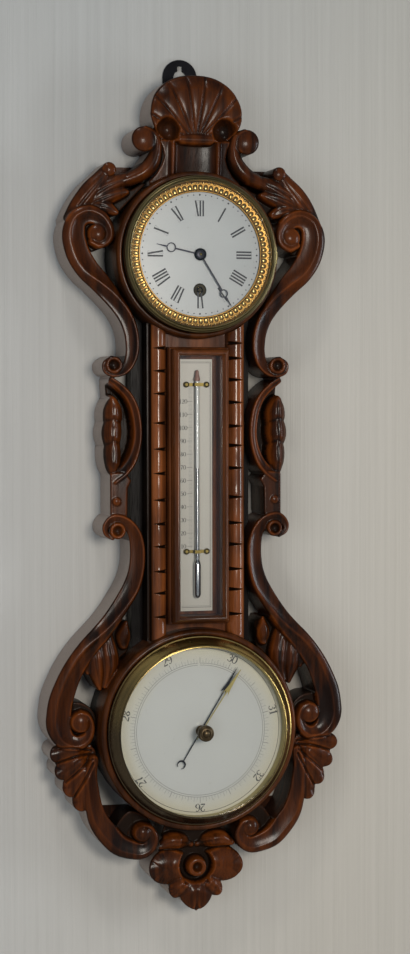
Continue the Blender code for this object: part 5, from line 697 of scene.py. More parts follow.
class Relief:
    """A carving seen from the front, as a net of heights."""

    def __init__(self, low, high):
        self.axes = [np.arange(a, b, NET_PITCH) for a, b in zip(low, high)]
        self.across, self.up = np.meshgrid(*self.axes, indexing="ij")
        self.forward = np.zeros(self.across.shape)
        self.room = np.full(self.across.shape, -1.0)
        self.grooves = np.zeros(self.across.shape)

    def window(self, low, high):
        """The part of the net between two corners, with a few cells to spare."""
        return tuple(slice(max(0, int((a - axis[0]) / NET_PITCH) - 1),
                           max(0, int((b - axis[0]) / NET_PITCH) + 3))
                     for axis, a, b in zip(self.axes, low, high))

    def lay(self, part, room, forward, arris=ARRIS):
        """Lay a member on the map. Outside it, a steep wall runs down for a short way."""
        corner = np.clip(arris - room, 0.0, arris)
        rounded = forward - (arris - np.sqrt(arris * arris - corner * corner))
        stands = np.where(room > -WALL_RUN, rounded + WALL_SLOPE * np.minimum(room, 0.0), 0.0)
        self.forward[part] = np.maximum(self.forward[part], stands)
        self.room[part] = np.maximum(self.room[part], room)

    def band(self, path, section):
        """A member along a path of (across, up, width). The section gives its height."""
        line = spline(np.array(path) * MM, BAND_STEPS)
        gaps = np.hypot(*np.diff(line[:, :2], axis=0).T)
        place = np.concatenate([[0.0], np.cumsum(gaps)])
        stops = np.linspace(0.0, place[-1], max(8, int(place[-1] / STEP_ALONG)))
        line = np.stack([np.interp(stops, place, line[:, k]) for k in range(3)], axis=1)
        heading = np.gradient(line[:, :2], axis=0)
        heading /= np.hypot(*heading.T)[:, None]
        room = np.full(self.across.shape, -1.0)
        side, along, half = (np.zeros(self.across.shape) for _ in range(3))
        reach = line[:, 2].max() / 2 + WALL_RUN + NET_PITCH
        for stop, (u, v, width), (hu, hv) in zip(np.linspace(0, 1, len(line)), line, heading):
            part = self.window((u - reach, v - reach), (u + reach, v + reach))
            du, dv = self.across[part] - u, self.up[part] - v
            inside = width / 2 - np.hypot(du, dv)
            better = inside > room[part]
            room[part] = np.where(better, inside, room[part])
            side[part] = np.where(better, (hu * dv - hv * du) / (width / 2), side[part])
            along[part] = np.where(better, stop, along[part])
            half[part] = np.where(better, width / 2, half[part])
        whole = self.window(line[:, :2].min(0) - reach, line[:, :2].max(0) + reach)
        height = section(np.clip(side[whole], -1, 1), along[whole], half[whole])
        self.lay(whole, room[whole], height)

    def disc(self, centre, radius, profile, arris=ARRIS):
        """A round member. The profile gives its height from the share of its radius."""
        u, v, r = centre[0] * MM, centre[1] * MM, radius * MM
        reach = r + WALL_RUN + NET_PITCH
        part = self.window((u - reach, v - reach), (u + reach, v + reach))
        away = np.hypot(self.across[part] - u, self.up[part] - v)
        self.lay(part, r - away, profile(np.clip(away / r, 0, 1)), arris)

    def hollow(self, centre, radius, profile):
        """Sink the carving inside a circle to a profile, with a slope near its rim."""
        u, v, r = centre[0] * MM, centre[1] * MM, radius * MM
        part = self.window((u - r, v - r), (u + r, v + r))
        share = np.hypot(self.across[part] - u, self.up[part] - v) / r
        rim = smooth_step(share, HOLLOW_RIM, 1.0)
        sunk = profile(np.clip(share, 0, 1)) * (1 - rim) + self.forward[part] * rim
        self.forward[part] = np.where(share < 1, np.minimum(self.forward[part], sunk), self.forward[part])

    def inside(self, outline, part):
        """How far each point of a part of the net lies inside a closed outline, in metres."""
        u, v = self.across[part], self.up[part]
        within = np.zeros(u.shape, bool)
        away = np.full(u.shape, 1.0)
        for (u0, v0), (u1, v1) in zip(outline, np.roll(outline, -1, axis=0)):
            span = (u1 - u0) ** 2 + (v1 - v0) ** 2 + 1e-18
            t = np.clip(((u - u0) * (u1 - u0) + (v - v0) * (v1 - v0)) / span, 0, 1)
            away = np.minimum(away, np.hypot(u - u0 - t * (u1 - u0), v - v0 - t * (v1 - v0)))
            if v0 != v1:
                crosses = ((v0 > v) != (v1 > v)) & (u < (u1 - u0) * (v - v0) / (v1 - v0) + u0)
                within ^= crosses
        return np.where(within, away, -away)

    def floor(self, points, height, arris=ARRIS, smooth=True):
        """A flat or shaped ground inside an outline. The height is a number or a function of the part."""
        outline = np.array(points) * MM
        if smooth:
            outline = spline(outline, GROUND_STEPS, closed=True)
        reach = WALL_RUN + NET_PITCH
        part = self.window(outline.min(0) - reach, outline.max(0) + reach)
        level = height(part) if callable(height) else height * MM
        self.lay(part, self.inside(outline, part), level + np.zeros(self.across[part].shape), arris)

    def cut(self, path, depth):
        """A groove along a path of (across, up, width), round at the bottom."""
        line = spline(np.array(path) * MM, GROOVE_STEPS)
        for u, v, width in line:
            reach = width / 2
            part = self.window((u - reach, v - reach), (u + reach, v + reach))
            share = np.hypot(self.across[part] - u, self.up[part] - v) / max(reach, 1e-6)
            hollow = depth * MM * np.sqrt(np.clip(1 - share * share, 0, 1))
            self.grooves[part] = np.maximum(self.grooves[part], hollow)

    def clear(self, centre_z, radius, centre_x=0.0):
        """Keep the outline clear of a round piece."""
        away = np.hypot(self.across - centre_x, self.up - centre_z)
        self.room = np.minimum(self.room, away - radius)

    def blurred(self, values, mask, rounds):
        """Values averaged with their neighbours inside the mask, so many times."""
        weight = mask.astype(float)
        total = values * weight
        for _ in range(rounds):
            for axis in (0, 1):
                total = total / 2 + (np.roll(total, 1, axis) + np.roll(total, -1, axis)) / 4
                weight = weight / 2 + (np.roll(weight, 1, axis) + np.roll(weight, -1, axis)) / 4
        return np.where(weight > 1e-6, total / np.maximum(weight, 1e-6), values)

    def solid(self, name, back=BACK_GAP, mirror=False, pale=False):
        """The carving as a closed mesh, with its hollows' stain and painted shade, its edges' wear and
        painted highlight, and its outer flank's painted reflection.
        """
        forward = self.filled_out()
        recess, wear_and_sheen = self.tone(forward)
        u, v, outward = self.drawn_in()
        quads, used, rim = self.net()
        rim_nodes = sorted({node for edge in rim for node in edge})
        slot = {node: k for k, node in enumerate(rim_nodes)}
        front = np.stack([u.flat[used], -forward.flat[used], v.flat[used]], axis=1)
        lip = front[rim_nodes] + (0.0, LIP, 0.0)
        rear = front[rim_nodes] * (1, 0, 1) + (0.0, -back, 0.0)
        n, m = len(front), len(rim_nodes)
        walls = []
        for a, b in rim:
            ka, kb = slot[a], slot[b]
            walls += [(b, a, n + ka, n + kb), (n + kb, n + ka, n + m + ka, n + m + kb)]
        hand = -1.0 if mirror else 1.0
        points = np.vstack([front, lip, rear]) * (hand, 1, 1)
        mesh = with_back(name, points, quads.tolist() + walls, mirror)

        shown = {label: np.zeros(len(mesh.vertices)) for label in ("recess", "wear_and_sheen", "flank")}
        shown["recess"][:n] = recess.flat[used]
        shown["recess"][n:n + m] = shown["recess"][rim_nodes]
        shown["wear_and_sheen"][:n] = wear_and_sheen.flat[used]
        if pale:
            facing = hand * outward.flat[used][rim_nodes]
            share = flank_share(hand * u.flat[used][rim_nodes], v.flat[used][rim_nodes], facing)
            shown["flank"][n:n + 2 * m] = np.concatenate([share, share])
        for label, values in shown.items():
            with_numbers(mesh, label, values)
        print(name, len(quads), "cells,", len(rim), "rim edges")
        return mesh

    def filled_out(self):
        """The heights, with those just outside the outline lifted to the level inside it."""
        carved = self.forward - self.grooves
        near = self.room > -WALL_RUN
        lift = np.where(near, carved - WALL_SLOPE * np.minimum(self.room, 0.0), 0.0)
        return self.blurred(np.where(self.room < 0, lift, carved), near & (lift > 0), 1)

    def tone(self, forward):
        """Each point's dark in the hollows, stain and painted shade, and its light on the edges, wear and
        painted highlight, from how it stands to its surroundings.
        """
        solid = self.room > -0.5 * NET_PITCH
        wide = self.blurred(forward, solid, WIDE_ROUNDS)
        near = self.blurred(forward, solid, NEAR_ROUNDS)
        recess = np.clip((wide - forward) / RECESS_SPAN, 0, 1)
        recess = np.maximum(recess, np.clip((DARK_BELOW - forward) / DARK_SPAN, 0, DARK_MOST))
        return recess, np.clip((forward - near) / WEAR_SPAN, 0, 1)

    def drawn_in(self):
        """Each point's place, drawn in to the outline from outside, and how far it faces across."""
        grow = np.gradient(self.room, NET_PITCH)
        steep = np.maximum(grow[0] ** 2 + grow[1] ** 2, 0.25)
        slip = np.where(self.room < 0, np.clip(-self.room, 0, 1.5 * NET_PITCH), 0.0)
        return (self.across + slip * grow[0] / steep, self.up + slip * grow[1] / steep,
                grow[0] / np.sqrt(steep))

    def net(self):
        """The cells inside the outline, the points that they use, and the edges of their rim."""
        inner = self.room > 0
        kept = inner[:-1, :-1] | inner[1:, :-1] | inner[:-1, 1:] | inner[1:, 1:]
        i, j = np.nonzero(kept)
        row = self.room.shape[1]
        near = i * row + j
        quads = np.stack([near, near + row, near + row + 1, near + 1], axis=1)
        used, flat = np.unique(quads, return_inverse=True)
        quads = flat.reshape(quads.shape)
        edges = np.concatenate([quads[:, [k, (k + 1) % 4]] for k in range(4)])
        keys = set(map(tuple, edges.tolist()))
        return quads, used, [(a, b) for a, b in keys if (b, a) not in keys]


# %% [markdown]
# ## Sections of the carving
# A scroll has one sharp line, the arris, that wanders from its inner to its outer side. The wide side
# is hollowed and the narrow side rolls over. A leaf or petal is a soft ridge with a vein cut in it. The
# end of a scroll winds round an eye, which is a dish or a small dome.

# %% Sections as functions of the share across and along
ARRIS_TURNS = (0.29, 0.61)
ROLL_DROP = 2.4
FULL_SCROLL = 8.0 * MM
FULL_LEAF = 6.0 * MM
VEIN_HALF = 0.16


def ridged(front, start, end, hollow=3.4):
    """A scroll's section: a hollow on the wide side of the arris and a roll on the narrow side."""
    def height(side, along, half):
        ridge = start + (end - start) * smooth_step(along, *ARRIS_TURNS)
        left = side > ridge
        share = np.where(left, (side - ridge) / (1 - ridge), (ridge - side) / (1 + ridge))
        wide = smooth_step(np.where(left, 1 - ridge, 1 + ridge) / 2, 0.36, 0.60)
        size = np.clip(half / FULL_SCROLL, 0.2, 1.0)
        dished = hollow * (2.2 * share - 1.2 * share * share)
        rolled = ROLL_DROP * share * share
        return (front - size * (wide * dished + (1 - wide) * rolled)) * MM
    return height


def lobe(front, crown=4.0, vein=0.9, dip=0.0, tip=2.0):
    """A leaf's section: round across, with a vein, dipping at its root and its tip."""
    def height(side, along, half):
        size = np.clip(half / FULL_LEAF, 0.3, 1.1)
        fade = smooth_step(along, 0.05, 0.35) * (1 - along) * 1.6
        groove = vein * np.exp(-(side / VEIN_HALF) ** 2) * fade
        root = dip * (1 - smooth_step(along, 0.0, 0.45))
        end = tip * smooth_step(along, 0.6, 1.0)
        return (front - size * crown * side * side - groove - root - end) * MM
    return height


def dish(front, depth=4.0, rim=0.30):
    """A scroll's eye that is hollowed inside a rounded rim."""
    def height(share):
        across = np.clip(share / (1 - rim), 0, 1)
        edge = np.clip((share - (1 - rim)) / rim, 0, 1)
        return (front - depth * (1 - across ** 2.5) - 0.8 * edge ** 2) * MM
    return height


def dome(front, drop=3.0):
    """A scroll's eye that is a low dome."""
    def height(share):
        return (front - drop * share * share) * MM
    return height


def level(front):
    """A flat ground."""
    return lambda share: np.full(np.shape(share), front * MM)

# %% [markdown]
# ## The two carved sides
# The right side is carved, and the left one is its mirror image. Every path is drawn in millimetres,
# across from the middle line and up from a datum: the clock's centre for the upper scroll, the trunk's
# middle for the pods, and the barometer's centre for the lower scroll. A third number is the width of
# the member there. Heights are in millimetres forward of the case's back.

# %% Move a path to its datum
CLOCK = CLOCK_Z / MM
BAROMETER = BAROMETER_Z / MM


def raised(path, datum):
    return [(point[0], point[1] + datum, *point[2:]) for point in path]


side = Relief((30 * MM, -362 * MM), (160 * MM, 330 * MM))

# %% The upper scroll, its volute and its leaves
UPPER_SCROLL = [(80.5, -95, 4), (86.5, -100, 5), (85.5, -106.5, 6), (79, -109, 7), (71, -107.5, 8),
                (64.5, -101, 10), (61, -91, 12), (60.5, -81, 13), (62, -70, 13.5), (66.5, -58, 14),
                (73.5, -47, 15), (82.2, -36, 17), (91.8, -25, 19.5), (101.5, -15, 21.5),
                (109, -4, 22.5), (113.3, 7, 22.5), (115.0, 19, 21.5), (111.5, 30.5, 18.5),
                (101.5, 36, 16.5), (90.5, 32.5, 14.5), (83.5, 23.5, 12), (83.5, 14.5, 10),
                (90.5, 9, 8.5), (98, 11, 6)]
UPPER_LEAVES = [
    [(117, 32, 13), (109, 44, 17), (99, 56.5, 19), (90, 67, 16), (84, 75, 12.5), (81, 79, 9.5)],
    [(110, 42, 12), (95, 54, 17), (81, 62.5, 16), (68, 68, 13), (58, 70.5, 9)],
    [(104, 42, 11), (92, 48.5, 15), (80, 53.5, 14), (70, 56.5, 10), (65, 57, 5)],
    [(100, 43, 10), (92, 44.5, 13), (84, 43, 12), (76, 39, 7)]]
UPPER_GROUND = [(112, 40), (100, 55), (88, 61), (74, 59), (60, 60), (49, 66), (47, 64), (62, 48),
                (75, 36), (90, 32)]
TOP_SCROLL = [(47, 115, 6), (39.5, 110.5, 8), (36.5, 101, 9), (38.5, 90, 13), (44, 80.5, 15),
              (52, 74, 14), (62, 69.5, 13), (72, 66, 10)]

side.floor(raised(UPPER_GROUND, CLOCK), 32)
side.disc((100, 21 + CLOCK), 19, level(36))
side.band(raised(UPPER_SCROLL, CLOCK), ridged(45, 0.72, -0.30))
side.disc((92.3, 18 + CLOCK), 9.5, dome(45.5, 3.5))
side.disc((78.5, -101.5 + CLOCK), 8, dish(46.0, depth=4.5))
for leaf in UPPER_LEAVES:
    side.band(raised(leaf, CLOCK), lobe(42.5, crown=3.4, vein=1.1, dip=3.0, tip=1.2))
side.disc((81.5, 77.5 + CLOCK), 6.5, dome(42.8, 2.0))
side.band(raised(TOP_SCROLL, CLOCK), lobe(44.5, crown=4.5, vein=0.0, tip=3.0))
side.disc((49.3, 105.8 + CLOCK), 11.5, dome(46.5))

# %% The strap and the three pods
STRAP = [(80, 87, 6), (72, 81, 7), (64, 72.5, 7.5), (58.5, 61, 8), (56, 48, 8), (55.5, 36, 8),
         (57.5, 24, 8.5), (62, 12.5, 9.5), (69, 3.5, 10), (77, -3, 9)]
PODS = [[(80, 72, 2), (79, 66, 11), (78.5, 58, 18), (78.5, 50, 17), (79, 45, 10)],
        [(79, 54, 10), (79, 46, 17), (79.5, 38, 19), (79.5, 29, 14), (79.5, 25, 8)],
        [(79, 32, 9), (79, 24, 16), (79, 15, 16), (79, 6, 11), (79, 0, 3)]]
POD_GROUND = [(82, 90), (70, 82), (61, 66), (56, 48), (56, 34), (60, 14), (70, 0), (82, 0), (83, 30),
              (83, 55), (82, 72)]
BLOCK = [(82, 2), (82, -36), (81, -39), (67, -39), (66, -36), (65.5, -12), (62, -5), (68, 3)]

side.floor(POD_GROUND, 25)
side.band(STRAP, ridged(44, -0.55, -0.55, hollow=5.0))
for pod in PODS:
    side.band(pod, lobe(46, crown=7.0, vein=0.7, tip=4.0, dip=1.5))
side.floor(BLOCK, 43, smooth=False)
side.disc((76, -24), 3.6, dome(44.8, 0.8), arris=0.3 * MM)

# %% The lower scroll, its eye, leaves and fan
LOWER_SCROLL = [(80, 178.8, 3), (86, 183.3, 4.5), (86.5, 190.3, 6), (80.5, 196.5, 7.5), (72, 195.8, 9),
                (64, 190.3, 11), (58.5, 181.3, 12.5), (56.3, 169.8, 14), (56.3, 157.8, 14.5),
                (58, 145.8, 15), (62, 133.8, 16), (68.5, 122.3, 16), (76, 110.8, 16), (84, 99.8, 16.5),
                (93, 89.3, 17.5), (102, 79.8, 18), (110.5, 68.8, 19), (118, 56.8, 20),
                (124, 43.8, 21.5), (128.5, 30.8, 23), (130.5, 18.8, 23.5), (131, 7.8, 23),
                (127.5, -1.7, 20), (121, -7.7, 16), (112.5, -9.2, 13), (105, -5.2, 10.5),
                (101.5, 1.8, 8.5), (101.5, 9.3, 7), (104.5, 15.3, 6), (109.5, 17.8, 5)]
BUD = [(66, 100.8, 3), (67, 93.8, 8), (67.5, 86.8, 13), (67.5, 79.8, 9)]
INNER_LEAVES = [
    [(101, 84.8, 10), (105, 73.8, 12), (105, 63.8, 10), (103, 55.8, 5)],
    [(94, 87.8, 10), (95.5, 74.8, 17), (94.5, 60.8, 18), (92.5, 48.8, 12), (91.5, 40.8, 5)],
    [(84, 90.8, 9), (83.5, 77.8, 16), (81.5, 64.8, 17), (82.5, 52.8, 12), (86, 42.8, 6)]]
FAN_VEINS = [
    [(101, -20, 2.4), (115, -21.5, 2.4), (131, -26.5, 1.6)],
    [(100, -24, 2.4), (110, -33, 2.4), (124, -45, 1.6)],
    [(99, -28, 2.4), (106, -42, 2.4), (116, -59, 1.6)],
    [(100, -17, 2.2), (116, -13.5, 2.2), (130, -13, 1.4)]]
INNER_GROUND = [(62, 98), (80, 100), (100, 84), (108, 70), (104, 58), (94, 42), (84, 45), (70, 66),
                (62, 75)]
FAN = [
    [(103, -14, 9), (117, -16.5, 15), (126, -18, 19), (130.5, -18.7, 17)],
    [(102, -18, 9), (113, -26, 17), (121.5, -32, 21), (126, -34.5, 17)],
    [(101, -22, 9), (108.5, -35, 17), (115, -45.5, 21), (118.3, -50.5, 17)],
    [(99, -26, 9), (103.5, -42, 17), (107.3, -57, 20), (109, -64, 17)]]
FAN_GROUND = [(98, -14), (128, -11.5), (136, -19), (130.5, -33.5), (122.5, -49.5), (113.5, -65.5),
              (106, -71), (97, -60), (96, -35)]
FOOT_SCROLL = [(98, -25, 8), (101, -40, 12), (100, -55, 14), (98, -69, 16), (93.5, -82.5, 18.5),
               (86, -93.5, 20), (75, -105.5, 19), (62.5, -111, 17), (52.5, -112.5, 15),
               (44.5, -108, 12), (41.5, -100, 9), (45, -92.5, 7), (51, -89.5, 5)]
FOOT_GROUND = [(74, -87), (62, -76), (46, -83), (42, -95), (60, -105), (75, -98)]

side.floor(raised(INNER_GROUND, BAROMETER), 28)
side.floor(raised(FAN_GROUND, BAROMETER), 37)
side.floor(raised(FOOT_GROUND, BAROMETER), 33)
side.disc((114, 8 + BAROMETER), 20, level(34))
side.disc((52, -99 + BAROMETER), 13, level(34))
for leaf in INNER_LEAVES:
    side.band(raised(leaf, BAROMETER), lobe(42.0, crown=4.5, vein=1.3, dip=3.5, tip=3.0))
side.band(raised(BUD, BAROMETER), lobe(38.0, vein=0.0))
for leaf in FAN:
    side.band(raised(leaf, BAROMETER), lobe(43.0, crown=3.6, vein=0.5, dip=6.0, tip=1.5))
for vein in FAN_VEINS:
    side.cut(raised(vein, BAROMETER), 2.2)
side.band(raised(LOWER_SCROLL, BAROMETER), ridged(45, -0.72, 0.28))
side.disc((75.5, 185.8 + BAROMETER), 7.5, dish(46.0, depth=4.5))
side.disc((110.5, 10.3 + BAROMETER), 9.5, dome(47.0))
side.band(raised(FOOT_SCROLL, BAROMETER), ridged(44, 0.45, 0.35, hollow=2.0))
side.disc((52.1, -95.5 + BAROMETER), 8.5, dome(46.5, 4.0))

# %% Cut the sides out
CLOCK_CLEAR = 77.3 * MM
BAROMETER_CLEAR = 94.3 * MM
side.clear(CLOCK_Z, CLOCK_CLEAR)
side.clear(BAROMETER_Z, BAROMETER_CLEAR)
for name, mirror in (("carving_right", False), ("carving_left", True)):
    carved = keep(name, side.solid(name, mirror=mirror, pale=mirror), OAK)
    fit(carved, "case", "oak", name.replace("carving", "carved_side"))

# %% [markdown]
# ## The shell crest
# The crest is a scallop shell over two dished curls and a hub. It stands on the clock's ring on a neck
# with a hollow panel between two thin rolls. Its ribs fan out from a point at the hub, so the height
# map has a ground of its own there: each rib is round across, and the whole fan swells in the middle
# and turns back at the lip.

# %% Shape of the shell
crest = Relief((-50 * MM, 262 * MM), (50 * MM, 374 * MM))
SHELL_HALF = [(0, 368.5), (10, 368), (20, 365.5), (30, 360), (38, 351.5), (42.5, 341), (43.5, 330),
              (41, 321), (36, 314), (24, 308), (10, 307)]
SHELL_ROOT = (0.0, 306.0)
SHELL_RIBS = 11
SHELL_SPREAD = math.radians(94)
SHELL_REACH = 60 * MM
NECK_HALF = [(0, 309), (35, 309), (31, 301), (29.5, 293), (32, 285), (37, 277), (43, 271), (43, 264),
             (0, 264)]
ROLL_X = 21.5
ROLL_WIDTH = 2.3
DISH_X = 26.5
DISH_Z = 317.0
DISH_RADIUS = 14.0
CREST_BACK = 2.4 * MM

# The crest stays clear of the round ends of the scrolls beside it.
BALL_X = 49.3 * MM
BALL_Z = 308.6 * MM
BALL_RADIUS = 11.9 * MM


def mirrored(half):
    """A closed outline from its right half, which starts and ends near the middle line."""
    return half + [(-u, v) for u, v in reversed(half) if u > 0]


def shell_height(part):
    """Round ribs that fan out from the root, on a shell that swells and turns back at its lip."""
    du = crest.across[part] - SHELL_ROOT[0] * MM
    dv = crest.up[part] - SHELL_ROOT[1] * MM
    away = np.hypot(du, dv) / SHELL_REACH
    turn = np.arctan2(du, dv) / SHELL_SPREAD
    across = np.abs((turn * SHELL_RIBS / 2 + 0.5) % 1.0 - 0.5) * 2
    swell = 41.0 + 7.0 * np.sin(np.clip(away, 0, 1.1) * 2.2) - 3.5 * smooth_step(away, 0.82, 1.08)
    groove = (0.7 * across ** 2 + 1.5 * across ** 9) * smooth_step(away, 0.06, 0.3) * (
        1 - 0.75 * smooth_step(away, 0.85, 1.05))
    return (swell - groove) * MM


def neck_height(part):
    """A hollow panel between two thin rolls, sweeping out to its edges."""
    out = np.abs(crest.across[part]) / MM
    lean = smooth_step(crest.up[part] / MM, 268, 306)
    panel = 34.5 + 3.0 * (out / ROLL_X) ** 3 * (out < ROLL_X) + 3.0 * (out >= ROLL_X)
    roll = 3.2 * np.exp(-((out - ROLL_X) / ROLL_WIDTH) ** 2)
    return (panel + 3.5 * lean + roll) * MM


crest.floor(mirrored(NECK_HALF), neck_height, smooth=False)
crest.floor(mirrored(SHELL_HALF), shell_height, arris=1.6 * MM)
for hand in (1, -1):
    crest.disc((DISH_X * hand, DISH_Z), DISH_RADIUS, level(38.0), arris=0.3 * MM)
    crest.hollow((DISH_X * hand, DISH_Z), DISH_RADIUS, dish(47.5, depth=12.0, rim=0.12))
crest.band([(-13, 309.5, 9), (0, 309.5, 10), (13, 309.5, 9)], lobe(46.0, crown=3.0, vein=0.0, tip=0.0))
crest.clear(CLOCK_Z, CLOCK_CLEAR)
for hand in (1, -1):
    crest.clear(BALL_Z, BALL_RADIUS, BALL_X * hand)
crest_mesh = crest.solid("crest", back=CREST_BACK, pale=True)
fit(keep("crest", crest_mesh, OAK_SHELL), "case", "oak", "shell_crest")

# %% [markdown]
# ## The flower pendant
# Below the barometer hangs a flower of seven petals round a bud. Its petals are broad and full, and
# they dip where they meet the bud.

# %% Petals and bud
flower = Relief((-50 * MM, -412 * MM), (50 * MM, -318 * MM))
PETALS = [[(5, -347, 9), (14, -343.5, 14), (24, -342.5, 15), (33, -346, 8)],
          [(9, -365, 14), (19, -366, 27), (27, -367, 33), (31.5, -367.5, 28)],
          [(7, -378, 10), (13, -384, 18), (18, -388, 16), (20, -391, 9)]]
TONGUE = [(0, -374, 16), (0, -383, 34), (0, -389, 34), (0, -395, 25), (0, -402, 12), (0, -407.5, 3)]
FLOWER_GROUND_HALF = [(0, -325), (28, -326), (34, -345), (36, -362), (34, -377), (22, -388), (10, -395),
                      (0, -397)]

# The pendant stays clear of the scrolls that end beside it.
FOOT_X = 52 * MM
FOOT_Z = -339.3 * MM
FOOT_RADIUS = 17.2 * MM

flower.floor(mirrored(FLOWER_GROUND_HALF), 31, smooth=False)
for hand in (1, -1):
    for petal in PETALS:
        flower.band([(u * hand, v, width) for u, v, width in petal],
                    lobe(43.0, crown=5.5, vein=0.4, dip=10.0, tip=2.5))
flower.band(TONGUE, lobe(43.0, crown=4.5, vein=0.8, dip=10.0, tip=3.0))
flower.hollow((0, -366), 17.0, level(31.0))
flower.disc((0, -367), 8.8, dish(45.0, depth=5.5, rim=0.42))
flower.clear(BAROMETER_Z, BAROMETER_CLEAR)
for hand in (1, -1):
    flower.clear(FOOT_Z, FOOT_RADIUS, FOOT_X * hand)
fit(keep("pendant", flower.solid("pendant", pale=True), OAK), "case", "oak", "flower_pendant")

# %% [markdown]
# ## Oak rings, pilasters and the thermometer's frame
# Both rings are turned with a rounded front. The pilasters are half-round mouldings, planed by eye, so
# their sides waver a little and a long reflection breaks up on them. A carver has cut a wedge across
# them about every twenty millimetres, deep at the inner end and running out to nothing; each wedge is
# darkened by stain and painted shade in the cut. The left one's outer side is a little narrower and is
# painted dark as shade under the carving. The frame round the thermometer is a mitred moulding of
# darker oak: a low fillet, a steep side, and a rounded top that leans in.

# %% Turn the two oak rings
CLOCK_RING = [(72.1, 20.3), (72.1, 50.7), (72.5, 51.5), (73.5, 52.0), (75.0, 51.7), (76.2, 50.5),
              (76.8, 48.7), (77.0, 46.0), (77.0, 20.3)]
BAROMETER_RING = [(88.4, 20.3), (88.4, 53.6), (88.9, 54.5), (90.2, 55.0), (92.0, 54.5), (93.3, 53.0),
                  (93.9, 50.8), (94.0, 47.0), (94.0, 20.3)]


def in_metres(profile):
    return [(radius * MM, forward * MM) for radius, forward in profile]


fit(turned("clock_ring", in_metres(CLOCK_RING), CLOCK_Z, OAK_RING, crease=50.0),
    "case", "oak", "clock_surround")
fit(turned("barometer_ring", in_metres(BAROMETER_RING), BAROMETER_Z, OAK_RING, crease=50.0),
    "case", "oak", "barometer_surround")

# %% Plane the pilasters and cut their wedges
PILASTER_X = 37.5
PILASTER_RADIUS = 8.3
PILASTER_AXIS = 41.7
PILASTER_BACK = 38.3
PILASTER_STEPS = 26
OUTER_SHARE = 0.8
LEFT_CUTS = [117, 96, 75, 48, 24, 1.5, -23, -45, -66, -89, -109, -131]
RIGHT_CUTS = [122, 108, 88, 67, 45, 27, 6, -21, -45, -65, -88, -107, -130]
CUT_HALF = (0.25, 1.9)
CUT_DEPTH = 1.5
CUT_REACH = 2.4
ROW_NEAR = 0.3
ROW_FAR = 4.0
ROWS_LOW = -156
ROWS_HIGH = 142
DARK_CUT = 0.9
OUTER_SHADE = (0.86, 0.99)


def pilaster_rows(cuts):
    """Heights of the rows of a pilaster: close together at each cut."""
    rows = set(np.round(np.arange(ROWS_LOW, ROWS_HIGH, ROW_FAR), 2))
    for cut in cuts:
        rows |= set(np.round(np.arange(cut - CUT_REACH, cut + CUT_REACH + ROW_NEAR, ROW_NEAR), 2))
    return sorted(rows)


def cut_depth(inner, near):
    """How deep a wedge is, from the share of the way inwards and the distance from its middle line."""
    widening = min(1.0, max(0.0, inner - 0.06) / 0.8)
    half = CUT_HALF[0] + (CUT_HALF[1] - CUT_HALF[0]) * widening
    fade = smooth_step(inner, 0.05, 0.2) * (1 - smooth_step(inner, 0.955, 0.99))
    return CUT_DEPTH * max(0.0, half - near) * fade


def waver(row, hand, angle):
    """How far the plane has wandered, in millimetres: a slow wave and a quicker one."""
    return 0.10 * math.sin(row * 0.31 + hand) + 0.07 * math.sin(row * 0.83 + 2.0 * hand + angle)


def pilaster(name, hand, cuts):
    """A half-round moulding between the two rings. Its first and last columns are its back corners."""
    turns = np.linspace(0, math.pi, PILASTER_STEPS + 1)
    columns = [(0.0, True), *((turn, False) for turn in turns), (math.pi, True)]
    points, cut_and_side_shade = [], []
    rows = pilaster_rows(cuts)
    for row in rows:
        near = min(abs(row - cut) for cut in cuts)
        for angle, corner in columns:
            across = math.cos(angle)
            depth = cut_depth((1 - hand * across) / 2, near)
            radius = PILASTER_RADIUS - depth + waver(row, hand, angle) * math.sin(angle)
            outward = OUTER_SHARE if hand < 0 and across < 0 else 1.0
            x = PILASTER_X * hand + (PILASTER_RADIUS if corner else radius) * across * outward
            forward = PILASTER_BACK if corner else PILASTER_AXIS + radius * math.sin(angle)
            top = CLOCK_Z / MM - math.sqrt(CLOCK_CLEAR ** 2 / MM ** 2 - x * x)
            foot = BAROMETER_Z / MM + math.sqrt(BAROMETER_CLEAR ** 2 / MM ** 2 - x * x)
            points.append((x * MM, -forward * MM, min(top, max(foot, row)) * MM))
            # Painted shade on the left pilaster's outer side, and stain with painted shade in each wedge,
            # as the recess number.
            shade = smooth_step(-across, *OUTER_SHADE) if hand < 0 else 0.0
            cut_and_side_shade.append(shade if corner else max(shade, min(1.0, depth / DARK_CUT)))
    count = len(columns)
    faces = [range(count), range(len(points) - count, len(points))]
    for r in range(len(rows) - 1):
        for c in range(count):
            a, b = r * count + c, r * count + (c + 1) % count
            faces.append((a, b, b + count, a + count))
    mesh = closed_mesh(name, points, faces, crease=50.0)
    where = {tuple(round(part, 6) for part in point): depth for point, depth in zip(points, cut_and_side_shade)}
    shown = [where.get(tuple(round(part, 6) for part in vertex.co), 0.0) for vertex in mesh.vertices]
    with_numbers(mesh, "recess", shown)
    return keep(name, mesh, OAK_TRUNK)


fit(pilaster("reeded_left", -1, LEFT_CUTS), "case", "oak", "pilaster_left")
fit(pilaster("reeded_right", 1, RIGHT_CUTS), "case", "oak", "pilaster_right")

# %% Mitre the thermometer's frame
FRAME_HALF = 28.5
FRAME_LOW = -138.0
FRAME_HIGH = 118.0
FRAME_MOULDING = [(0, 38.3), (0, 50.6), (0.4, 52.0), (1.2, 52.6), (1.9, 52.2), (2.1, 51.0), (2.3, 58.8),
                  (2.5, 61.2), (3.1, 62.6), (4.6, 64.3), (5.4, 64.9), (5.9, 65.0), (6.3, 64.8),
                  (6.6, 64.1), (6.8, 62.8), (7.3, 62.2), (7.8, 61.6), (7.8, 38.3)]


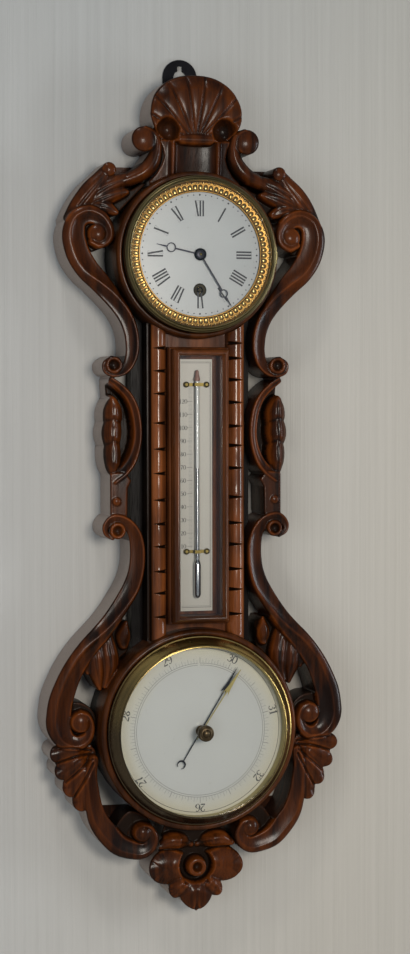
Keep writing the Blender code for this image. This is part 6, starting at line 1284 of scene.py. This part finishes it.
def mitred(name, half, low, high, profile):
    """A rectangular frame from a profile of (distance from its outer edge, forward)."""
    points = []
    for hand_x, hand_z in ((-1, -1), (1, -1), (1, 1), (-1, 1)):
        edge = high if hand_z > 0 else low
        points += [(hand_x * (half - d) * MM, -f * MM, (edge - hand_z * d) * MM) for d, f in profile]
    count = len(profile)
    faces = []
    for corner in range(4):
        here, there = corner * count, (corner + 1) % 4 * count
        for j in range(count):
            k = (j + 1) % count
            faces.append((here + j, here + k, there + k, there + j))
    return closed_mesh(name, points, faces, crease=40.0)


frame_mesh = mitred("scale_frame", FRAME_HALF, FRAME_LOW, FRAME_HIGH, FRAME_MOULDING)
fit(keep("scale_frame", frame_mesh, OAK_FRAME), "case", "oak", "thermometer_frame")

# %% [markdown]
# ## Bezels and the gilt ring
# The bezels are spun brass. The clock's one has a stepped outer side and a thin rolled lip over the
# glass. The barometer's one rises from the oak ring to its lip as a cove, so its left side faces the
# camera and its right side is turned away. The bright wall inside it holds the dial back.

# %% Spin the bezels
CLOCK_BEZEL = [(70.1, 56.3), (71.8, 56.3), (71.8, 61.8), (71.6, 62.5), (71.1, 62.7), (70.9, 63.4),
               (70.4, 64.3), (69.8, 65.0), (69.2, 65.1), (68.9, 64.7), (68.6, 65.2), (68.2, 65.9),
               (67.8, 66.2), (67.4, 66.0), (67.2, 65.3), (67.2, 63.3), (70.1, 63.3)]
BAROMETER_BEZEL = [(80.4, 52.0), (88.1, 52.0), (88.1, 56.4), (87.7, 57.3), (86.9, 57.6), (86.5, 58.4),
                   (85.4, 60.6), (84.0, 62.8), (82.3, 65.2), (80.8, 67.2), (80.3, 68.3), (79.7, 68.9),
                   (79.0, 69.0), (78.5, 68.6), (78.5, 66.2), (80.4, 66.2)]
BAROMETER_WALL = [(79.1, 54.4), (79.1, 63.8), (80.2, 63.8), (80.2, 54.4)]
KNUCKLE_X = 73.6
KNUCKLE_FORWARD = 56.4
KNUCKLE_RADIUS = 1.55
KNUCKLE_HALF = 3.6
ROD_STEPS = 24


def rod(name, x, forward, low, high, profile, steps=ROD_STEPS):
    """An upright turned piece from a profile of (share of its height, radius)."""
    turn = np.linspace(0, 2 * math.pi, steps, endpoint=False)
    points = [((x + r * math.sin(a)) * MM, (r * math.cos(a) - forward) * MM,
               (low + share * (high - low)) * MM) for share, r in profile for a in turn]
    count = len(profile)
    faces = [range(steps), range((count - 1) * steps, count * steps)]
    for j in range(count - 1):
        for i in range(steps):
            k = (i + 1) % steps
            faces.append((j * steps + i, j * steps + k, (j + 1) * steps + k, (j + 1) * steps + i))
    return closed_mesh(name, points, faces, crease=40.0)


hinge = CLOCK_Z / MM
knuckle = rod("knuckle", KNUCKLE_X, KNUCKLE_FORWARD, hinge - KNUCKLE_HALF, hinge + KNUCKLE_HALF,
              [(0, KNUCKLE_RADIUS), (1, KNUCKLE_RADIUS)])
bezel_ring = turned_mesh("bezel_ring", in_metres(CLOCK_BEZEL), CLOCK_Z, crease=40.0)
fit(joined("spun_clock_bezel", [bezel_ring, knuckle], AGED_BRASS),
    "hinged_bezel", "aged_brass", "clock_bezel")
fit(turned("spun_barometer_bezel", in_metres(BAROMETER_BEZEL), BAROMETER_Z, OLIVE_BRASS, crease=40.0),
    "case", "aged_brass", "barometer_bezel")
fit(turned("barometer_wall", in_metres(BAROMETER_WALL), BAROMETER_Z, YELLOW_BRASS), "case", "aged_brass")

# %% [markdown]
# ## What repeats
# Beads, dots and ticks repeat by the dozen, so they are grown with Geometry Nodes. One small tree puts
# points on a line, moves each one to its place by its index, puts one small shape on each, and makes
# them real. The number, the pitch and the sizes are inputs of the tree.

# %% A tree that repeats one shape round a ring or up a line
class Growth(Finish):
    """A Geometry Nodes tree. Its sizes are named inputs."""

    def __init__(self, name, sizes):
        self.group = bpy.data.node_groups.new(name, "GeometryNodeTree")
        self.nodes, self.links = self.group.nodes, self.group.links
        self.group.interface.new_socket("Geometry", in_out="OUTPUT", socket_type="NodeSocketGeometry")
        for label, value in sizes.items():
            socket = self.group.interface.new_socket(label, in_out="INPUT",
                                                     socket_type="NodeSocketFloat")
            socket.default_value = value
        source = self.nodes.new("NodeGroupInput")
        self.size = {label: Wire(self, source.outputs[label]) for label in sizes}

    def vector(self, x, y, z):
        return self.add("ShaderNodeCombineXYZ", {}, {0: x, 1: y, 2: z})

    def repeat(self, place, turn, shape, finish):
        """One shape on each point of a line, made real and given its finish."""
        line = self.add("GeometryNodeMeshLine", {}, {"Count": self.size["Count"]})
        moved = self.add("GeometryNodeSetPosition", {}, {"Geometry": line, "Position": place})
        rows = self.add("GeometryNodeInstanceOnPoints", {}, {
            "Points": moved, "Instance": shape, "Rotation": turn})
        real = self.add("GeometryNodeRealizeInstances", {}, {"Geometry": rows})
        done = self.add("GeometryNodeSetMaterial", {}, {"Geometry": real, "Material": finish})
        output = self.nodes.new("NodeGroupOutput")
        self.links.new(done.socket, output.inputs[0])


def grown(name, tree, sizes, finish, smooth=False):
    """Run the tree on an empty mesh and keep the plain mesh that comes out."""
    made = keep(name, bpy.data.meshes.new(name), finish)
    modifier = made.modifiers.new("growth", "NODES")
    modifier.node_group = tree.group
    for socket in tree.group.interface.items_tree:
        if socket.in_out == "INPUT":
            modifier[socket.identifier] = float(sizes[socket.name])
    evaluated = made.evaluated_get(bpy.context.evaluated_depsgraph_get())
    grown_mesh = bpy.data.meshes.new_from_object(evaluated)
    made.modifiers.clear()
    made.data = grown_mesh
    grown_mesh.materials.clear()
    grown_mesh.materials.append(finish)
    if smooth:
        grown_mesh.shade_smooth()
    return made


def ring_of(name, shape, count, radius, forward, centre_z, sizes, finish, start=0.0, smooth=False):
    """Shapes evenly round a dial. The start is an angle in degrees, clockwise from the top."""
    sizes = {"Count": count, "Pitch": math.radians(360 / count), "Start": math.radians(start),
             "Radius": radius * MM, "Forward": forward * MM, "Centre": centre_z,
             **{key: value * MM for key, value in sizes.items()}}
    tree = Growth(name, sizes)
    index = tree.add("GeometryNodeInputIndex")
    angle = index * tree.size["Pitch"] + tree.size["Start"]
    sine = angle.sine()
    cosine = (angle + math.pi / 2).sine()
    place = tree.vector(sine * tree.size["Radius"], tree.size["Forward"] * -1.0,
                        cosine * tree.size["Radius"] + tree.size["Centre"])
    tree.repeat(place, tree.vector(0.0, angle, 0.0), shape(tree), finish)
    return grown(name, tree, sizes, finish, smooth)


def line_of(name, shape, count, pitch, x, forward, low, sizes, finish):
    """Shapes up a straight scale."""
    sizes = {"Count": count, "Pitch": pitch * MM, "Across": x * MM, "Forward": forward * MM,
             "Low": low * MM, **{key: value * MM for key, value in sizes.items()}}
    tree = Growth(name, sizes)
    up = tree.add("GeometryNodeInputIndex") * tree.size["Pitch"] + tree.size["Low"]
    place = tree.vector(tree.size["Across"], tree.size["Forward"] * -1.0, up)
    tree.repeat(place, tree.vector(0.0, 0.0, 0.0), shape(tree), finish)
    return grown(name, tree, sizes, finish)


# %% The shapes
BUTTON_SIDES = 12
EGG_LEAN = math.radians(-14)


def block(tree):
    """A tick."""
    size = tree.vector(tree.size["Width"], tree.size["Depth"], tree.size["Length"])
    return tree.add("GeometryNodeMeshCube", {}, {"Size": size})


def button(tree):
    """A dot, which is a low cylinder turned to face the room."""
    flat = tree.add("GeometryNodeMeshCylinder", {}, {
        "Vertices": BUTTON_SIDES, "Radius": tree.size["Size"], "Depth": tree.size["Depth"]})
    return tree.add("GeometryNodeTransform", {}, {"Geometry": flat, "Rotation": (math.pi / 2, 0.0, 0.0)})


def egg(tree):
    """A bead that is long along the radius and leans in with the ring."""
    ball = tree.add("GeometryNodeMeshIcoSphere", {}, {"Radius": 1.0, "Subdivisions": 3})
    size = tree.vector(tree.size["Width"], tree.size["Depth"], tree.size["Length"])
    return tree.add("GeometryNodeTransform", {}, {
        "Geometry": ball, "Scale": size, "Rotation": (EGG_LEAN, 0.0, 0.0)})


# %% The gilt ring and its beads
EGGS = 76
EGG_RADIUS = 61.6
EGG_FORWARD = 58.7
EGG_SIZE = {"Width": 2.15, "Depth": 1.25, "Length": 3.0}
PEARL_RADIUS = 65.1
PEARL_FORWARD = 59.8
PEARL_SIZE = {"Width": 1.2, "Depth": 0.8, "Length": 0.95}
GILT_RING = [(57.0, 57.2), (57.0, 58.3), (57.4, 58.8), (58.0, 58.8), (58.4, 58.2), (59.0, 57.9),
             (65.6, 59.4), (66.0, 60.2), (66.5, 60.8), (67.2, 61.1), (69.9, 61.1), (69.9, 57.2)]
# The ring under the beads is in the darker gilt, painted shade in the gaps between them.
fit(turned("gilt_ring", in_metres(GILT_RING), CLOCK_Z, GILT_PAINTED_SHADE, crease=40.0),
    "hinged_bezel", "gilt", "sight_ring")
fit(ring_of("gilt_eggs", egg, EGGS, EGG_RADIUS, EGG_FORWARD, CLOCK_Z, EGG_SIZE, GILT, smooth=True),
    "hinged_bezel", "gilt")
fit(ring_of("gilt_pearls", egg, EGGS, PEARL_RADIUS, PEARL_FORWARD, CLOCK_Z, PEARL_SIZE, GILT,
            start=180 / EGGS, smooth=True), "hinged_bezel", "gilt")

# %% [markdown]
# ## Print
# Figures are drawn as a pen draws them, as ribbons that swell and thin along a path. A Roman stroke is
# one straight ribbon, heavy or hairline. Each ribbon is a flat closed body a few hundredths of a
# millimetre proud of its dial.

# %% Ribbons
INK_SUNK = 0.05
INK_PROUD = 0.05


def ribbon(path, forward, smooth=True):
    """The closed body of one stroke along (across, up, width), lying on a dial."""
    line = spline(np.array(path, float), 5) if smooth and len(path) > 2 else np.array(path, float)
    heading = np.gradient(line[:, :2], axis=0)
    heading /= np.maximum(np.hypot(*heading.T), 1e-9)[:, None]
    off = np.stack([-heading[:, 1], heading[:, 0]], axis=1) * line[:, 2:] / 2
    left, right = line[:, :2] + off, line[:, :2] - off
    rows = [(left[i], right[i]) for i in range(len(line))]
    points = []
    for pair in rows:
        for depth in (forward - INK_SUNK, forward + INK_PROUD):
            points += [(u * MM, -depth * MM, v * MM) for u, v in pair]
    faces = [(0, 1, 3, 2), tuple(len(points) - 4 + k for k in (0, 2, 3, 1))]
    for i in range(len(rows) - 1):
        a = 4 * i
        for near, far in ((0, 1), (1, 3), (3, 2), (2, 0)):
            faces.append((a + near, a + far, a + 4 + far, a + 4 + near))
    return points, faces


def placed(path, move, turn, scale=1.0):
    """A path scaled, turned clockwise by an angle in degrees, and moved."""
    sine, cosine = math.sin(math.radians(turn)), math.cos(math.radians(turn))
    return [(move[0] + scale * (u * cosine + v * sine),
             move[1] + scale * (v * cosine - u * sine), width * scale) for u, v, width in path]


def printed(name, strokes, forward, finish):
    """All strokes of one colour on one dial as one piece."""
    points, faces = [], []
    for path, smooth in strokes:
        more, sides = ribbon(path, forward, smooth)
        faces += [tuple(index + len(points) for index in side) for side in sides]
        points += more
    mesh = bpy.data.meshes.new(name)
    mesh.from_pydata(points, [], faces)
    body = bmesh.new()
    body.from_mesh(mesh)
    bmesh.ops.recalc_face_normals(body, faces=body.faces[:])
    body.to_mesh(mesh)
    body.free()
    return keep(name, mesh, finish)


# %% Roman numerals for the clock
ROMAN = ["XII", "I", "II", "III", "IIII", "V", "VI", "VII", "VIII", "IX", "X", "XI"]
ROMAN_RADIUS = 42.2
ROMAN_HALF = 7.2
ROMAN_HEAVY = 1.55
ROMAN_FINE = 0.14
ROMAN_PITCH = {"I": 2.75, "V": 3.6, "X": 3.8}
ROMAN_LEAN = 1.35
SERIF = 0.8
DIAL_FRONT = 56.3
POINT_OF_V = 0.3

# Each letter's strokes: where the top and the foot lie beside its middle, and the width.
LETTERS = {
    "I": [(0.0, 0.0, ROMAN_HEAVY)],
    "V": [(-ROMAN_LEAN, POINT_OF_V, ROMAN_HEAVY), (ROMAN_LEAN, POINT_OF_V, ROMAN_FINE)],
    "X": [(-ROMAN_LEAN, ROMAN_LEAN, ROMAN_HEAVY), (ROMAN_LEAN, -ROMAN_LEAN, ROMAN_FINE)]}


def letter_strokes(letter, middle):
    """The strokes of one letter, as (path, smooth)."""
    return [([(middle + top, ROMAN_HALF, width), (middle + foot, -ROMAN_HALF, width)], False)
            for top, foot, width in LETTERS[letter]]


def numeral_strokes(word, hour):
    """The strokes of one numeral in its place, with a serif line along its top and its foot."""
    width = sum(ROMAN_PITCH[letter] for letter in word)
    strokes, start = [], -width / 2
    for letter in word:
        strokes += letter_strokes(letter, start + ROMAN_PITCH[letter] / 2)
        start += ROMAN_PITCH[letter]
    edge = width / 2 - SERIF
    for level_z in (ROMAN_HALF, -ROMAN_HALF):
        strokes.append(([(-edge, level_z, ROMAN_FINE), (edge, level_z, ROMAN_FINE)], False))
    turn = hour * 30.0
    centre = (ROMAN_RADIUS * math.sin(math.radians(turn)),
              CLOCK_Z / MM + ROMAN_RADIUS * math.cos(math.radians(turn)))
    return [(placed(path, centre, turn), smooth) for path, smooth in strokes]


hour_strokes = [stroke for hour, word in enumerate(ROMAN) for stroke in numeral_strokes(word, hour)]
fit(printed("hour_numerals", hour_strokes, DIAL_FRONT, DIAL_INK), "case", "enamel")

# %% The dots round the clock's dial
DOT_RADIUS = 54.5
PRINT_DEPTH = 0.08
MINUTE_DOT = {"Size": 0.62, "Depth": PRINT_DEPTH}
HOUR_DOT = {"Size": 0.85, "Depth": PRINT_DEPTH}
MINUTE_DOT_FORWARD = DIAL_FRONT + 0.02
HOUR_DOT_FORWARD = DIAL_FRONT + 0.03

fit(ring_of("minute_dots", button, 60, DOT_RADIUS, MINUTE_DOT_FORWARD, CLOCK_Z, MINUTE_DOT, DOT_INK),
    "case", "enamel")
fit(ring_of("hour_dots", button, 12, DOT_RADIUS, HOUR_DOT_FORWARD, CLOCK_Z, HOUR_DOT, DIAL_INK),
    "case", "enamel")

# %% Figures as pen strokes, one unit high
FINE = 0.07
HEAVY = 0.19
FIGURES = {
    "0": [[(0, 0.48, FINE), (0.2, 0.33, 0.13), (0.27, 0, HEAVY), (0.2, -0.33, 0.13), (0, -0.48, FINE)],
          [(0, 0.48, FINE), (-0.2, 0.33, 0.13), (-0.27, 0, HEAVY), (-0.2, -0.33, 0.13), (0, -0.48, FINE)]],
    "1": [[(0.02, 0.5, HEAVY), (0.02, 0, HEAVY), (0.02, -0.48, HEAVY)],
          [(-0.18, 0.3, FINE), (-0.06, 0.38, FINE), (0.0, 0.48, FINE)],
          [(-0.16, -0.47, FINE), (0.02, -0.47, FINE), (0.2, -0.47, FINE)]],
    "2": [[(-0.24, 0.24, 0.14), (-0.16, 0.41, FINE), (0.04, 0.47, FINE), (0.24, 0.24, HEAVY),
           (0.12, 0.0, 0.14), (-0.12, -0.22, FINE), (-0.27, -0.44, FINE)],
          [(-0.28, -0.42, 0.14), (0.0, -0.42, 0.16), (0.28, -0.42, 0.12)]],
    "3": [[(-0.24, 0.32, 0.12), (-0.02, 0.47, FINE), (0.2, 0.27, HEAVY), (0.1, 0.07, FINE),
           (-0.06, 0.03, FINE)],
          [(-0.06, 0.03, FINE), (0.16, -0.03, FINE), (0.25, -0.24, HEAVY), (0.03, -0.47, FINE),
           (-0.26, -0.32, 0.13)]],
    "4": [[(0.08, 0.48, FINE), (-0.1, 0.16, FINE), (-0.29, -0.16, FINE)],
          [(-0.3, -0.17, 0.1), (0, -0.17, 0.1), (0.3, -0.17, 0.1)],
          [(0.1, 0.48, HEAVY), (0.1, 0, HEAVY), (0.1, -0.48, HEAVY)]],
    "5": [[(0.22, 0.43, 0.13), (0, 0.43, 0.13), (-0.17, 0.43, 0.13)],
          [(-0.17, 0.44, FINE), (-0.19, 0.26, FINE), (-0.21, 0.07, FINE)],
          [(-0.21, 0.07, FINE), (0.04, 0.14, FINE), (0.25, -0.15, HEAVY), (0.04, -0.47, FINE),
           (-0.24, -0.34, 0.13)]],
    "6": [[(0.2, 0.38, 0.13), (0.02, 0.47, FINE), (-0.19, 0.22, 0.13), (-0.26, -0.14, HEAVY),
           (-0.14, -0.42, FINE), (0.04, -0.47, FINE), (0.24, -0.2, HEAVY), (0.08, 0.05, FINE),
           (-0.12, 0.02, FINE), (-0.22, -0.1, FINE)]],
    "7": [[(-0.27, 0.42, 0.14), (0, 0.42, 0.14), (0.26, 0.42, 0.14)],
          [(0.26, 0.42, FINE), (0.08, 0.08, 0.12), (-0.04, -0.2, HEAVY), (-0.06, -0.48, HEAVY)]],
    "8": [[(0, 0.04, FINE), (-0.18, 0.25, 0.14), (0, 0.47, FINE)],
          [(0, 0.04, FINE), (0.18, 0.25, 0.14), (0, 0.47, FINE)],
          [(0, 0.04, FINE), (-0.24, -0.22, HEAVY), (0, -0.47, FINE)],
          [(0, 0.04, FINE), (0.24, -0.22, HEAVY), (0, -0.47, FINE)]]}
FIGURES["9"] = [[(-u, -v, width) for u, v, width in path] for path in FIGURES["6"]]
FIGURE_STEP = 0.66


def number_strokes(number, centre, turn, height):
    """The strokes of a whole number, centred on a point."""
    strokes = []
    for place, digit in enumerate(number):
        offset = (place - (len(number) - 1) / 2) * FIGURE_STEP
        for path in FIGURES[digit]:
            shifted = [(u + offset, v, width) for u, v, width in path]
            strokes.append((placed(shifted, centre, turn, height), True))
    return strokes


# %% The barometer's card
CARD_FRONT = 54.0
INCHES = {"29": -25.7, "30": 25.7, "28": -77.1, "31": 77.1, "27": -128.6, "32": 128.6, "26": 180.0}
INCH_RADIUS = 72.4
INCH_HEIGHT = 7.4
CARD_CIRCLES = (60.6, 62.4)
EDGE_CIRCLE = 76.4
CIRCLE_STEPS = 120

# Name, count, radius of the middle, length and width of the ticks.
CARD_TICKS = [("fine_ticks", 140, 64.0, 2.6, 0.22),
              ("tenth_ticks", 70, 64.8, 4.2, 0.28),
              ("inch_ticks", 14, 65.2, 5.4, 0.5)]
FIRST_TICK = 180 / 7


def circle_path(radius, width, end):
    """A circle round the barometer's middle as a path, from the top to an angle in degrees."""
    turns = np.radians(np.linspace(0, end, CIRCLE_STEPS + 1))
    return [(radius * math.sin(a), BAROMETER_Z / MM + radius * math.cos(a), width) for a in turns]


inch_strokes = []
for number, turn in INCHES.items():
    angle = math.radians(turn)
    centre = (INCH_RADIUS * math.sin(angle), BAROMETER_Z / MM + INCH_RADIUS * math.cos(angle))
    inch_strokes += number_strokes(number, centre, turn, INCH_HEIGHT)
fit(printed("inch_numbers", inch_strokes, CARD_FRONT, INCH_INK), "case", "dial_paper")
circles = [(circle_path(radius, 0.42, 358), False) for radius in CARD_CIRCLES]
fit(printed("card_circles", circles, CARD_FRONT, PALE_INK), "case", "dial_paper")
edge_line = [(circle_path(EDGE_CIRCLE, 0.5, 359), False)]
fit(printed("edge_circle", edge_line, CARD_FRONT, CARD_INK), "case", "dial_paper")
for name, count, radius, length, width in CARD_TICKS:
    tick = {"Width": width, "Depth": PRINT_DEPTH, "Length": length}
    fit(ring_of(name, block, count, radius, CARD_FRONT, BAROMETER_Z, tick, PALE_INK, start=FIRST_TICK),
        "case", "dial_paper")

# %% The thermometer's plate
PLATE_FRONT = 42.0
DEGREE_TOP = 67.9
DEGREE_PITCH = 12.23
DEGREE_X = -12.5
DEGREE_HEIGHT = 4.0
DEGREE_NUMBERS = [str(number) for number in range(120, 0, -10)]

degree_strokes = []
for place, number in enumerate(DEGREE_NUMBERS):
    centre = (DEGREE_X, DEGREE_TOP - place * DEGREE_PITCH)
    degree_strokes += number_strokes(number, centre, 0.0, DEGREE_HEIGHT)
fit(printed("degree_numbers", degree_strokes, PLATE_FRONT, CARD_INK), "case", "opal_glass")

# %% The double line round the plate, which is open on its left
WIDE_LINE = 0.4
THIN_LINE = 0.18
BORDER = [[(-14.3, 104.4, WIDE_LINE), (13.9, 104.4, WIDE_LINE)],
          [(13.9, 104.6, WIDE_LINE), (13.9, -123.6, WIDE_LINE)],
          [(-14.3, -123.6, WIDE_LINE), (14.1, -123.6, WIDE_LINE)],
          [(12.9, 103.6, THIN_LINE), (12.9, -122.6, THIN_LINE)],
          [(-14.3, 103.4, THIN_LINE), (13.0, 103.4, THIN_LINE)],
          [(-14.3, -122.4, THIN_LINE), (13.0, -122.4, THIN_LINE)]]
fit(printed("plate_border", [(path, False) for path in BORDER], PLATE_FRONT, CARD_INK),
    "case", "opal_glass")

# %% The ticks of the scale
TICKS_LOW = -68.0
DEGREE_TICKS_X = -5.6
TEN_TICKS_X = -6.2
DEGREE_TICK = {"Width": 3.4, "Depth": PRINT_DEPTH, "Length": 0.26}
TEN_TICK = {"Width": 5.0, "Depth": PRINT_DEPTH, "Length": 0.36}

fit(line_of("degree_ticks", block, 124, DEGREE_PITCH / 10, DEGREE_TICKS_X, PLATE_FRONT, TICKS_LOW,
            DEGREE_TICK, PALE_INK), "case", "opal_glass")
lowest_ten = DEGREE_TOP - (len(DEGREE_NUMBERS) - 1) * DEGREE_PITCH
fit(line_of("ten_ticks", block, len(DEGREE_NUMBERS), DEGREE_PITCH, TEN_TICKS_X, PLATE_FRONT, lowest_ten,
            TEN_TICK, CARD_INK), "case", "opal_glass")

# %% [markdown]
# ## The tube and its bulb
# The tube is glass with a white strip fused behind its bore, which is why it shines white above the
# mercury. Below that the thread fills the view and looks like a bright metal rod with dark edges. The
# bulb is a plain round-ended glass full of mercury, and the tube's upper end is sealed with red wax.

# %% Draw the tube, the strip, the thread, the bulb and the tip
TUBE_X = 0.0
TUBE_FORWARD = 45.6
BULB_PROFILE = [(0.0, 0.3), (0.015, 1.5), (0.05, 2.7), (0.10, 3.25), (0.5, 3.3), (0.85, 3.3), (0.93, 2.9),
                (0.97, 2.2), (1.0, 1.6)]
TIP_PROFILE = [(0.0, 2.3), (0.12, 2.9), (0.4, 2.2), (0.6, 1.7), (0.85, 1.6), (0.95, 1.1), (1.0, 0.3)]
TUBE_RADIUS = 2.05
TUBE_SPAN = (-80.0, 88.0)
STRIP_RADIUS = 1.8
STRIP_SPAN = (-79.5, 87.5)
THREAD_SPAN = (-80.5, 6.0)
BULB_SPAN = (-115.0, -79.0)
TIP_SPAN = (86.8, 97.0)
THREAD_PROFILE = [(0, 1.5), (0.995, 1.5), (1, 0.9)]
TUBE_STEPS = 32

glass_tube = rod("glass_tube", TUBE_X, TUBE_FORWARD, *TUBE_SPAN,
                 [(0, TUBE_RADIUS), (1, TUBE_RADIUS)], TUBE_STEPS)
fit(keep("glass_tube", glass_tube, GLASS), "case", "glass", "thermometer_tube")
strip = rod("white_strip", TUBE_X, TUBE_FORWARD - 0.15, *STRIP_SPAN,
            [(0, STRIP_RADIUS), (1, STRIP_RADIUS)], TUBE_STEPS)
fit(keep("white_strip", strip, TUBE_WHITE), "case", "glass")
thread = rod("mercury_thread", TUBE_X, TUBE_FORWARD + 0.35, *THREAD_SPAN, THREAD_PROFILE)
bulb = rod("mercury_bulb", TUBE_X, TUBE_FORWARD, *BULB_SPAN, BULB_PROFILE, TUBE_STEPS)
fit(joined("mercury_and_bulb", [thread, bulb], MERCURY), "case", "mercury", "mercury")
tip = rod("sealed_tip", TUBE_X, TUBE_FORWARD, *TIP_SPAN, TIP_PROFILE)
fit(keep("sealed_tip", tip, WAX), "case", "glass")

# %% [markdown]
# ## Small turned pieces
# A dark collet with a brass pin holds the clock's hands. A dull bushing fills the winding hole. On the
# barometer a dark boss carries the indicator, and a bronze knob outside the glass turns the set hand,
# which is a thin brass arrow with one long barb on each side.

# %% Turn the collet, the bushing, the boss and the knob
COLLET = [(0.0, 59.1), (5.4, 59.1), (5.5, 59.4), (4.9, 60.0), (3.6, 60.4), (1.6, 60.5), (1.4, 60.2),
          (0.0, 60.2)]
PIN = [(0.0, 60.1), (1.2, 60.1), (1.2, 60.6), (0.8, 60.9), (0.0, 60.95)]
BUSHING = [(2.7, 50.4), (2.7, 55.4), (3.2, 55.9), (5.3, 56.1), (5.7, 55.8), (6.1, 55.9), (6.1, 50.4)]
BOSS = [(2.3, 57.7), (5.0, 57.7), (5.2, 58.2), (4.7, 59.2), (3.6, 59.6), (2.3, 59.7)]
KNOB = [(0.0, 66.8), (3.0, 66.8), (3.0, 69.0), (6.6, 70.2), (7.4, 71.2), (7.5, 75.4), (7.1, 76.6),
        (6.2, 77.2), (5.7, 76.9), (5.2, 77.3), (3.9, 77.5), (3.4, 77.1), (2.9, 77.8), (1.4, 78.4),
        (0.0, 78.5)]
STEM = [(0.0, 60.3), (1.9, 60.3), (1.9, 67.2), (0.0, 67.2)]
WINDING_Z = sum(corner.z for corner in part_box("winding_arbor")) / 2
SMALL_STEPS = 64
TINY_STEPS = 32

fit(turned("hand_collet", in_metres(COLLET), CLOCK_Z, BLUED_STEEL, SMALL_STEPS),
    "centre_arbor", "blued_steel")
fit(turned("hand_pin", in_metres(PIN), CLOCK_Z, CLIP_BRASS, TINY_STEPS), "centre_arbor", "brass")
fit(turned("winding_bushing", in_metres(BUSHING), WINDING_Z, DARK_BRASS, SMALL_STEPS),
    "case", "aged_brass")
fit(turned("indicator_boss", in_metres(BOSS), BAROMETER_Z, BRONZE, SMALL_STEPS),
    "indicator", "aged_brass")

# %% The set hand
SET_ANGLE = 33.8
SET_FORWARD = 60.5
HAND_HALF_DEPTH = 0.25
SET_OUTLINE = [(0.45, -9), (0.5, 41), (1.1, 44), (3.0, 40), (1.9, 46.5), (1.5, 52), (0.8, 60),
               (0.35, 66), (0, 68)]


def hand_slab(name, half_outline, angle, forward):
    """A flat hand from its right half, as (half width, up), turned to an angle."""
    upright = [(u, v, 0.0) for u, v in mirrored(half_outline)]
    outline = [(u * MM, BAROMETER_Z + v * MM) for u, v, _ in placed(upright, (0.0, 0.0), angle)]
    return slab(name, outline, (forward - HAND_HALF_DEPTH) * MM, (forward + HAND_HALF_DEPTH) * MM)


arrow = hand_slab("set_arrow", SET_OUTLINE, SET_ANGLE, SET_FORWARD)
fit(keep("set_arrow", arrow, YELLOW_BRASS), "set_pointer", "aged_brass", "set_hand")
knob_meshes = [turned_mesh("knob_head", in_metres(KNOB), BAROMETER_Z, SMALL_STEPS),
               turned_mesh("knob_stem", in_metres(STEM), BAROMETER_Z, TINY_STEPS)]
fit(joined("set_knob", knob_meshes, BRONZE), "set_pointer", "aged_brass")

# %% The indicator, with a crescent for its tail
INDICATOR_ANGLE = 31.4
INDICATOR_FORWARD = 57.3
INDICATOR_OUTLINE = [(0.45, -32.2), (0.55, -12), (0.55, 10), (0.4, 43.5), (2.7, 40.5), (1.9, 46),
                     (1.1, 52), (0.6, 60), (0, 68)]
CRESCENT_CENTRE = -36.4
CRESCENT_RADIUS = 3.7
CRESCENT = [(-150, 0.5), (-110, 0.9), (-55, 1.5), (0, 1.9), (55, 1.5), (110, 0.9), (150, 0.5)]

crescent = [(CRESCENT_RADIUS * math.sin(math.radians(turn)),
             CRESCENT_CENTRE + CRESCENT_RADIUS * math.cos(math.radians(turn)), width)
            for turn, width in CRESCENT]
crescent_path = placed(crescent, (0.0, BAROMETER_Z / MM), INDICATOR_ANGLE)
tail = closed_mesh("tail", *ribbon(crescent_path, INDICATOR_FORWARD))
needle = hand_slab("needle", INDICATOR_OUTLINE, INDICATOR_ANGLE, INDICATOR_FORWARD)
fit(joined("indicator_needle", [needle, tail], BLUED_STEEL), "indicator", "blued_steel", "indicator_hand")

# %% [markdown]
# ## Pieces that keep their CAD shape
# Plates, wheels, springs and panes are already right in the CAD model, so they only get a finish.

# %% Finishes for the CAD nodes that stay
dress(OAK_GROUND, "backboard")
dress(OAK_PANEL, "trunk_panel")
dress(GLASS, "clock_glass", "barometer_glass", "thermometer_window")
dress(OPAL, "scale_plate")
dress(IRON, "hanging_plate", "hanging_screw_1", "hanging_screw_2")
dress(AGED_BRASS, "clock_mount_ring", "bezel_hinge_pin")
dress(ENAMEL, "clock_dial")
dress(CARD, "barometer_dial")
dress(BLUED_STEEL, "hour_hand", "minute_hand")
dress(CLIP_BRASS, "tube_clip_top", "tube_clip_bottom")
dress(BRASS, "clock_drum", "drum_back_cover", "front_plate", "back_plate", "escapement_platform",
      "mainspring_barrel", "barrel_cover", "centre_wheel", "third_wheel", "fourth_wheel",
      "minute_wheel", "hour_wheel", "balance", "barometer_case", "aneroid_base", "vacuum_capsule",
      "arbor_bridge", "main_lever")
dress(DARK_BRASS, "winding_arbor")
dress(STEEL, "mainspring", "c_spring", "fusee_chain", "hand_arbor", "rocking_shaft")
